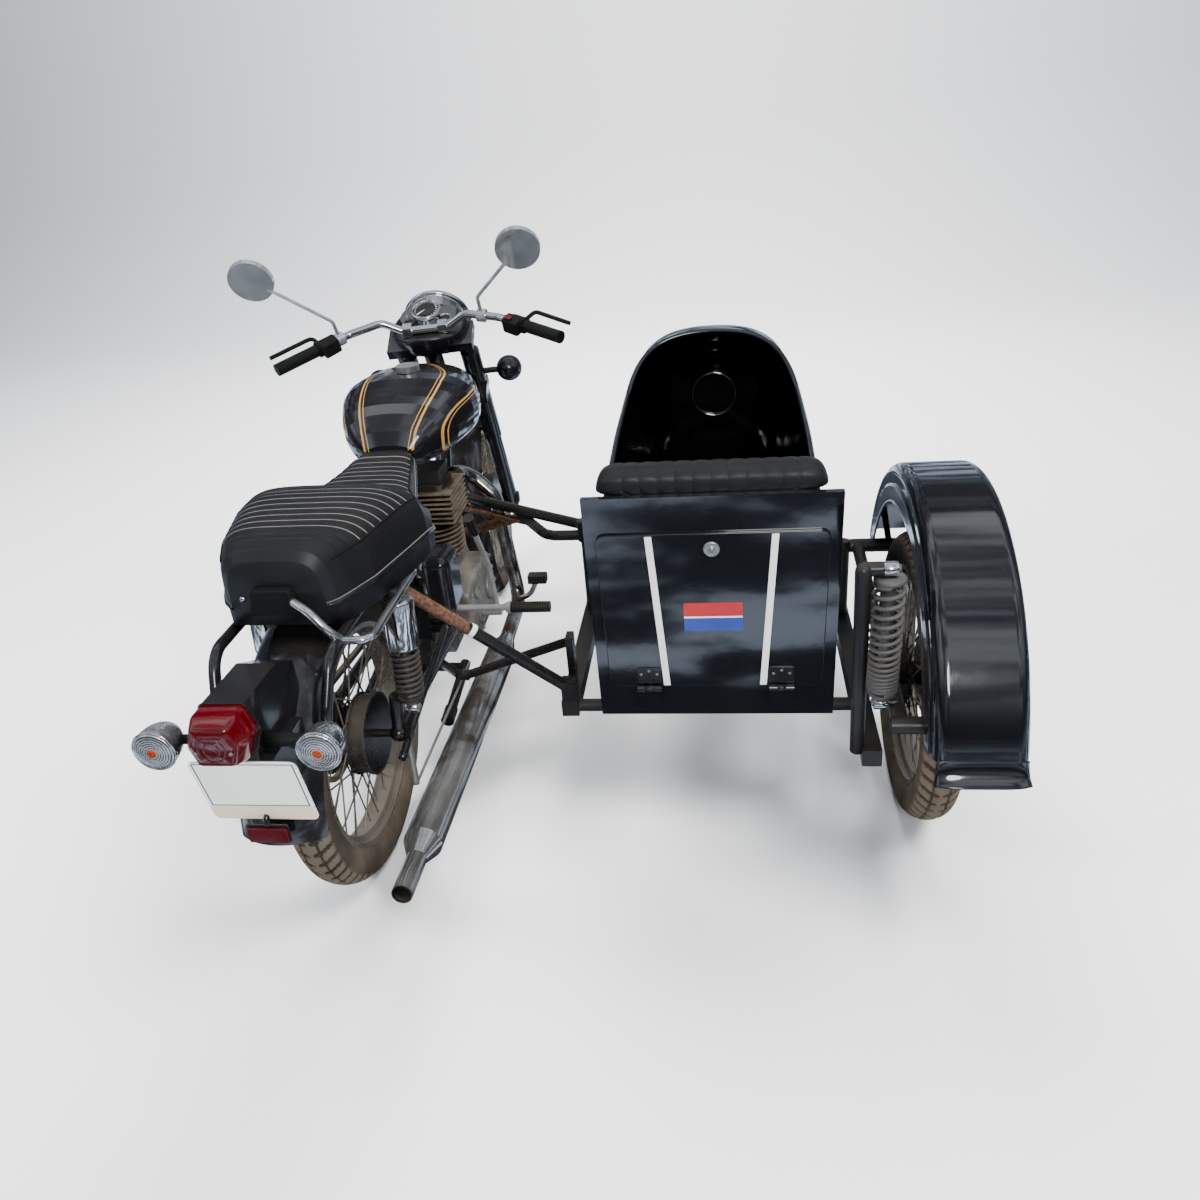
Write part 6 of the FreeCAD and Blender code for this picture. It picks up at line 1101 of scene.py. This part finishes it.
def roll_grid(corners, half, count, swell, middle, columns=200, around=90):
    """A stuffed roll: one closed (y, z) loop at every place across. Towards either end the loop
    shrinks to its own middle as the root of a high power, which rounds the end, and between the end
    panels the loop is drawn in at each seam by the swell."""
    loop = np.vstack([corners[-1:], corners, corners[:2]])
    t = np.linspace(0, len(corners) - 1e-9, around, endpoint=False)
    k, f = t.astype(int), (t - t.astype(int))[:, None]
    line = between_knots(loop[k], loop[k + 1], loop[k + 2], corners[(k + 2) % len(corners)], f)
    centre = line.mean(0)
    share = np.linspace(-1, 1, columns)[:, None, None]
    shrink = np.clip(1 - np.abs(share) ** 18, 0, 1) ** 0.5
    stuffed = np.abs(share) < 0.72
    seam = 1 - np.abs(np.sin(np.pi * (share / 0.72 + 1) / 2 * count)) ** 0.4
    away = line - centre
    length = np.linalg.norm(away, axis=1)[:, None]
    place = centre + away[None] / length * (length[None] * shrink - swell * seam * stuffed * shrink)
    x = middle + share * (half + 0.034 * np.clip((place[..., 1:] - 0.831) / 0.006, 0, 1))
    return np.concatenate([x, place], -1) + DATUM


back_loop = np.array([(0.100, 0.770), (0.091, 0.846), (0.098, 0.874), (0.130, 0.885), (0.168, 0.871),
                      (0.200, 0.800), (0.300, 0.580), (0.318, 0.535), (0.285, 0.524), (0.246, 0.530),
                      (0.175, 0.640), (0.125, 0.720)])
back_rest = grid_piece("channelled_backrest", roll_grid(back_loop, 0.208, BACK_CHANNELS, 0.0035, M),
                       "chassis", seat_vinyl, wrap_columns=True, caps=True)
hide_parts("backrest")
seat_path = np.stack([np.linspace(0.296, 0.648, 60), np.full(60, 0.426)], -1)
cushion_face = pad_grid(M - CUSHION_HALF, M + CUSHION_HALF, seat_path[::-1], CUSHION_DEPTH, CUSHION_CHANNELS)
cushion_rear = pad_grid(M - CUSHION_HALF, M + CUSHION_HALF, seat_path[::-1], 0.001, CUSHION_CHANNELS, 0.0)
cushion = closed_pad("channelled_cushion", cushion_face, cushion_rear, seat_vinyl)
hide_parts("sidecar_cushion")
print("backrest with", BACK_CHANNELS, "channels, cushion with", CUSHION_CHANNELS)

# %% [markdown]
# ## Tail
# The lamp is one moulded lens: a six-sided outline that shrinks towards its face. The plate leans
# back at the top and is left blank. Each indicator is a chrome bullet, whose radius follows a
# quarter of an ellipse, with a domed lens.

# %% Tail lamp, plate and indicators
hexagon = np.array([(-0.054, 0), (-0.039, -0.045), (0.039, -0.045), (0.054, 0), (0.039, 0.045),
                    (-0.039, 0.045)])
outline = round_corners(hexagon, 0.008, 5)
LAMP_HEIGHT = 0.664
LAMP_STEPS = [(0.02, 0.4512), (0.97, 0.4512), (1.0, 0.4535), (1.0, 0.482), (0.97, 0.490), (0.84, 0.5075),
              (0.78, 0.5125), (0.60, 0.5150), (0.52, 0.5160), (0.02, 0.5165)]
lens_rows = [[(x * k, -depth, LAMP_HEIGHT + z * k) for x, z in outline] for k, depth in LAMP_STEPS]
lens_grid = np.array(lens_rows) + DATUM
lens = grid_piece("tail_lens", lens_grid, "chassis", red_lens, wrap_columns=True, caps=True)
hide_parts("tail_lamp")
base_outline = outline * 1.05 + np.array([0, LAMP_HEIGHT])
slab("tail_lens_base", base_outline, -0.4510, -0.4545, "chassis", black_paint, 0.001)
for k, x in enumerate((-0.030, 0.030)):
    turned_piece(f"tail_screw_{k}", [(0.0042, 0), (0.0038, 0.0012), (0.0006, 0.0018)],
                 spot(x, -0.5145, 0.654), REARWARD, "chassis", control_steel, 16)
ring_turn = full_turn(48)
for label, radius in (("outer", 0.023), ("inner", 0.0135)):
    ring_x, ring_z = radius * np.cos(ring_turn), 0.662 + radius * np.sin(ring_turn)
    circle = np.stack([ring_x, np.full(48, -0.5160), ring_z], -1)
    tube(f"tail_{label}_ring", at(circle), 0.0016, "chassis", red_lens, 8, closed=True)
slab("rear_reflector", round_corners(rectangle(-0.0375, 0.0375, 0.398, 0.430), 0.004), -0.431, -0.437,
     "chassis", red_lens, 0.0015)
slab("reflector_holder", round_corners(rectangle(-0.040, 0.040, 0.396, 0.436), 0.004), -0.428, -0.432,
     "chassis", black_paint, 0.001)
bracket_points = at((0, -0.430, 0.432), (0, -0.424, 0.446), (0, -0.412, 0.455), (0, -0.398, 0.460))
tube("reflector_bracket", smooth_path(bracket_points, 16), 0.006, "chassis", black_paint, 10)

LEAN = math.radians(12)
PLATE_TOP_Y, PLATE_TOP, PLATE_THICK = -0.4499, 0.590, 0.003
across, down = round_corners(rectangle(-0.098, 0.098, 0, -0.152), 0.014, 8).T
plate_rows = [np.stack([across, PLATE_TOP_Y + depth * math.cos(LEAN) - down * math.sin(LEAN),
                        PLATE_TOP + depth * math.sin(LEAN) + down * math.cos(LEAN)], -1)
              for depth in (0.0, -PLATE_THICK)]
number_plate = grid_piece("blank_number_plate", np.array(plate_rows) + DATUM, "chassis", plate_white,
                          wrap_columns=True, caps=True, smooth=False)
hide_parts("number_plate")

quarter = np.linspace(0.06, np.pi / 2, 20)
bullet_profile = np.vstack([
    np.stack([0.0385 * np.sin(quarter), -0.066 * np.cos(quarter) ** 0.9], -1),
    [(0.0385, 0.0), (0.0398, 0.0015), (0.0392, 0.0035), (0.0365, 0.0040), (0.0355, 0.0015), (0.001, 0.0010)]])
doming = quarter[::-1] - 0.06
dome_profile = np.stack([0.0362 * np.cos(doming), 0.0028 + 0.0075 * np.sin(doming)], -1)
STEM_PROFILE = [(0.0005, 0.0), (0.0125, 0.0), (0.0125, 0.040), (0.0108, 0.043), (0.0108, 0.058),
                (0.0090, 0.060), (0.0090, 0.092), (0.0005, 0.092)]
for side, label in ((-1, "left"), (1, "right")):
    tail = spot(side * 0.147, -0.453, 0.615)
    bullet = turned_piece(f"{label}_bullet", bullet_profile, tail, REARWARD, "chassis", bright_chrome)
    turned_piece(f"{label}_lens", dome_profile, tail, REARWARD, "chassis", clear_lens)
    turned_piece(f"{label}_stem", STEM_PROFILE, spot(side * 0.0385, -0.42, 0.615), (side, 0, 0), "chassis",
                 grip_rubber, 24)
    if side < 0:
        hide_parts("rear_indicators")
print("tail lamp, blank plate, reflector and two indicators")

# %% [markdown]
# ## Springs
# A coil is a helix: the angle grows evenly while the height does too, or slower where the coils are
# to lie closer. Covers, eyes and collars are turned about the same line.


# %% Shock absorbers
EYE_PROFILE = [(0.006, -0.014), (0.0125, -0.014), (0.014, -0.012), (0.014, 0.012), (0.0125, 0.014),
               (0.006, 0.014)]
EYE_BOLT = [(0.0005, -0.018), (0.008, -0.018), (0.008, 0.018), (0.0005, 0.018)]
COIL_RADIUS, COIL_WIRE = 0.0265, 0.0046


def spring_unit(name, top, foot, coat, cover, turns, close=0.0):
    """One whole unit between two eyes. cover is the upper sleeve's length; close draws the lower
    coils together."""
    top, foot = at(top)[0], at(foot)[0]
    length = np.linalg.norm(foot - top)
    axis = (foot - top) / length
    side = np.cross(axis, [1.0, 0, 0])
    side /= np.linalg.norm(side)
    other = np.cross(axis, side)
    for label, centre in (("upper", top), ("lower", foot)):
        eye = turned_piece(f"{name}_{label}_eye", EYE_PROFILE, centre, RIGHT, "chassis", bright_chrome, 32)
        bolt = turned_piece(f"{name}_{label}_bolt", EYE_BOLT, centre, RIGHT, "chassis", control_steel, 6)
    start, stop = 0.016 + cover, length - 0.030
    if cover > 0.03:
        sleeve = [(0.010, 0.015), (0.027, 0.0155), (0.0325, 0.021), (0.033, 0.026), (0.033, start - 0.004),
                  (0.0315, start), (0.026, start), (0.026, start - 0.002), (0.010, start - 0.002)]
        turned_piece(f"{name}_cover", sleeve, top, axis, "chassis", bright_chrome)
    else:
        collar = [(0.010, 0.015), (0.024, 0.0155), (0.0300, 0.018), (0.0300, 0.024), (0.012, 0.026)]
        turned_piece(f"{name}_collar", collar, top, axis, "chassis", coat)
    damper = [(0.010, start - 0.004), (0.012, start), (0.012, stop), (0.015, stop + 0.002),
              (0.015, length - 0.010), (0.006, length - 0.006)]
    turned_piece(f"{name}_damper", damper, top, axis, "chassis", grey_paint, 32)
    seat = [(0.012, stop), (0.026, stop), (0.0275, stop + 0.003), (0.026, stop + 0.008),
            (0.014, stop + 0.012)]
    turned_piece(f"{name}_seat", seat, top, axis, "chassis", coat)
    share = np.linspace(0, 1, turns * 28)
    pitch = share + close * np.sin(np.pi * share) / np.pi
    angle = share * turns * 2 * np.pi
    line = top + axis * (start + COIL_WIRE + (stop - start - 2 * COIL_WIRE) * pitch[:, None])
    line = line + COIL_RADIUS * (np.cos(angle)[:, None] * side + np.sin(angle)[:, None] * other)
    return tube(f"{name}_coil", line, COIL_WIRE, "chassis", coat, 9)


for side, label in ((-1, "left"), (1, "right")):
    head, foot = (side * 0.148, 0.017, 0.672), (side * 0.148, -0.018, 0.408)
    coil = spring_unit(f"rear_shock_{label}", head, foot, spring_black, 0.112, 8)
    if side < 0:
        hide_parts("rear_shocks")
side_coil = spring_unit("sidecar_shock_unit", (1.120, -0.074, 0.742), (1.120, -0.060, 0.442), grey_paint,
                        0.006, 17, close=0.55)
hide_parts("sidecar_shock")
print("three spring units")

# %% [markdown]
# ## Small trim
# The rear end of the sidecar's fender flares out: the sheet leaves its arc by the square of the way
# along it. A white collar marks where the upper rear strut screws into its rusty end, the rear
# brake has its arm, rod and stay, and bolts and round covers dress the engine's plain casting.

# %% Fender lip and brake gear
FENDER_Y, FENDER_Z = 0.230, 0.326
FENDER_LEFT, FENDER_MIDDLE, FENDER_RIGHT, FENDER_HALF = 1.196, 1.276, 1.356, 0.080
share = np.linspace(0, 1, 20)[:, None]
lip_x = np.linspace(FENDER_LEFT, FENDER_RIGHT, 24)[None, :]
lip_angle = math.radians(167.4) + 0.096 * share
corner = (np.abs(lip_x - FENDER_MIDDLE) / FENDER_HALF) ** 6
lip_reach = 0.4750 + 0.018 * share ** 2.5 - 0.010 * corner * share
lip_place = (lip_x + 0.006 * share ** 2 * np.sign(lip_x - FENDER_MIDDLE) * corner,
             FENDER_Y + lip_reach * np.cos(lip_angle), FENDER_Z + lip_reach * np.sin(lip_angle))
lip = grid_piece("fender_lip", np.stack(np.broadcast_arrays(*lip_place), -1) + DATUM, "chassis",
                 sidecar_paint)
thicken(lip, 0.003)
sweep = np.radians(np.linspace(20, 168, 90))[:, None]
valance_reach = np.linspace(0.386, 0.430, 6)[None, :]
valance_place = (1.1925, FENDER_Y + valance_reach * np.cos(sweep), FENDER_Z + valance_reach * np.sin(sweep))
valance_grid = np.stack(np.broadcast_arrays(*valance_place), -1) + DATUM
valance = grid_piece("fender_inner_valance", valance_grid, "chassis", black_paint)
thicken(valance, 0.003)

STRUT_HEAD, STRUT_FOOT = at((0.112, 0.075, 0.6637), (0.455, 0.182, 0.3225))
COLLAR_SHARE, COLLAR_HALF = 0.437, 0.006
collar_middle = STRUT_HEAD + COLLAR_SHARE * (STRUT_FOOT - STRUT_HEAD)
collar_reach = COLLAR_HALF * (STRUT_FOOT - STRUT_HEAD) / np.linalg.norm(STRUT_FOOT - STRUT_HEAD)
collar_line = np.linspace(collar_middle - collar_reach, collar_middle + collar_reach, 4)
tube("strut_collar", collar_line, 0.0156, "chassis", strip_white, 32)

ARM_PIVOT = (0.130, -0.040, 0.215)
arm_line = [(0.112, 0.0, 0.326), (0.122, -0.018, 0.275), ARM_PIVOT]
rod_line = [ARM_PIVOT, (0.140, 0.20, 0.232), (0.150, 0.42, 0.250)]
stay_line = [(0.118, -0.060, 0.300), (0.122, 0.15, 0.352), (0.122, 0.36, 0.392)]
tube("rear_brake_arm", smooth_path(at(arm_line), 20), 0.0075, "chassis", control_steel, 10)
tube("rear_brake_rod", smooth_path(at(rod_line), 40), 0.0035, "chassis", control_steel, 8)
tube("brake_torque_stay", smooth_path(at(stay_line), 30), 0.0085, "chassis", black_paint, 12)
COVER_BOLTS = [(0.600, 0.258), (0.676, 0.212), (0.755, 0.213), (0.822, 0.216), (0.862, 0.272),
               (0.850, 0.322), (0.835, 0.364), (0.765, 0.368), (0.698, 0.369), (0.606, 0.350)]
BOLT_HEAD = [(0.0062, 0), (0.0062, 0.004), (0.0050, 0.0052), (0.0004, 0.0052)]
for k, (y, z) in enumerate(COVER_BOLTS):
    turned_piece(f"cover_bolt_{k}", BOLT_HEAD, spot(0.1275, y, z), RIGHT, "chassis", satin_alloy, 6)
for label, y, z, r in (("points_cover", 0.800, 0.283, 0.042), ("oil_cover", 0.672, 0.262, 0.030),
                       ("shaft_cover", 0.655, 0.335, 0.019)):
    disc = [(r, -0.001), (r, 0.004), (r * 0.94, 0.007), (r * 0.80, 0.0075), (r * 0.76, 0.0055),
            (r * 0.3, 0.0065), (0.0004, 0.007)]
    turned_piece(label, disc, spot(0.128, y, z), RIGHT, "chassis", satin_alloy)
print("fender lip and valance, brake gear,", len(COVER_BOLTS), "cover bolts")

# %% [markdown]
# ## Instruments
# The dials lie in a bright plate over the black shell. The plate narrows towards the rider. All of
# them turn with the fork, so their outlines are drawn in its frame.


# %% Instruments
def fork_slab(name, outline, low, high, material, bevel=0.001):
    """An (x, y) outline in the fork's frame, between two heights."""
    layers = [on_fork(np.insert(np.asarray(outline, float), 2, h, axis=1)) for h in (low, high)]
    return thick_sheet(name, layers, "steering", material, bevel)


CASING_REAR, CASING_LENGTH, CASING_TOP = -0.030, 0.164, 0.7585
casing_share = np.linspace(0, 1, 40)
casing_half = 0.062 + 0.052 * np.sin(np.pi * np.clip(casing_share * 0.85, 0, 1))
casing_half = casing_half * np.clip(1 - np.abs(2 * casing_share - 1) ** 10, 0.02, 1) ** 0.5
casing_low = 0.700 - 0.085 * casing_share ** 1.5
casing_turn = full_turn(56)
square_cos, square_sin = signed_power(np.cos(casing_turn), 0.55), signed_power(np.sin(casing_turn), 0.55)
casing_rows = []
for share, half, low in zip(casing_share, casing_half, casing_low):
    z = (low + CASING_TOP) / 2 + square_sin * (CASING_TOP - low) / 2
    y = np.full(56, CASING_REAR + CASING_LENGTH * share)
    casing_rows.append(on_fork(np.stack([square_cos * half, y, z], -1)))
casing = grid_piece("fork_top_shell", np.array(casing_rows), "steering", black_paint, wrap_columns=True,
                    caps=True)
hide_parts("nacelle")
panel_outline = round_corners([(-0.046, 0.018), (0.046, 0.018), (0.084, 0.070), (0.076, 0.112),
                               (-0.076, 0.112), (-0.084, 0.070)], 0.016)
panel = fork_slab("instrument_plate", panel_outline, 0.7586, 0.7630, panel_alloy)
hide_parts("instruments")
DIALS = [("speedometer", (0, 0.072), 0.043, 0.026, bright_chrome),
         ("ammeter", (0.052, 0.044), 0.0195, 0.010, bright_chrome),
         ("key_switch", (-0.050, 0.042), 0.014, 0.012, panel_alloy),
         ("light_switch", (0.0, 0.028), 0.0085, 0.010, bright_chrome)]
for label, (x, y), radius, rise, coat in DIALS:
    foot = on_fork((x, y, 0.7632))[0]
    rim = [(0.0005, 0), (radius * 0.94, 0), (radius, 0.003), (radius, rise - 0.004), (radius * 0.95, rise),
           (radius * 0.88, rise), (radius * 0.86, rise - 0.003), (0.0005, rise - 0.003)]
    bezel = turned_piece(f"{label}_bezel", rim, foot, fork_up, "steering", coat)
    glass = [(radius * 0.86, rise - 0.0028), (radius * 0.5, rise - 0.0018), (0.0005, rise - 0.0015)]
    turned_piece(f"{label}_face", glass, foot, fork_up, "steering", dial_black)
key_outline = round_corners(rectangle(-0.0515, -0.0485, 0.034, 0.050), 0.001, 3)
fork_slab("ignition_key", key_outline, 0.7740, 0.7920, bright_chrome, 0.0004)


def on_grip(middle, corners):
    """Corners counted along and across the right grip, turned into the fork's frame."""
    return np.array([(middle[0] + 0.8 * u + 0.6 * v, middle[1] - 0.6 * u + 0.8 * v) for u, v in corners])


box_shape = on_grip((0.256, -0.062), rectangle(-0.026, 0.026, -0.019, 0.019))
for side, label in ((-1, "left"), (1, "right")):
    box_outline = round_corners(box_shape * [side, 1], 0.008)
    fork_slab(f"{label}_switch_box", box_outline, 0.780, 0.822, grip_rubber, 0.005)
red_outline = round_corners(on_grip((0.250, -0.060), rectangle(-0.011, 0.011, -0.012, 0.002)), 0.003, 3)
fork_slab("red_switch", red_outline, 0.8215, 0.830, red_lens, 0.001)
print("instruments:", [dial[0] for dial in DIALS])

# %% [markdown]
# ## The end
# The last step prints that the scene is built.

# %% Finish
print("scene built")
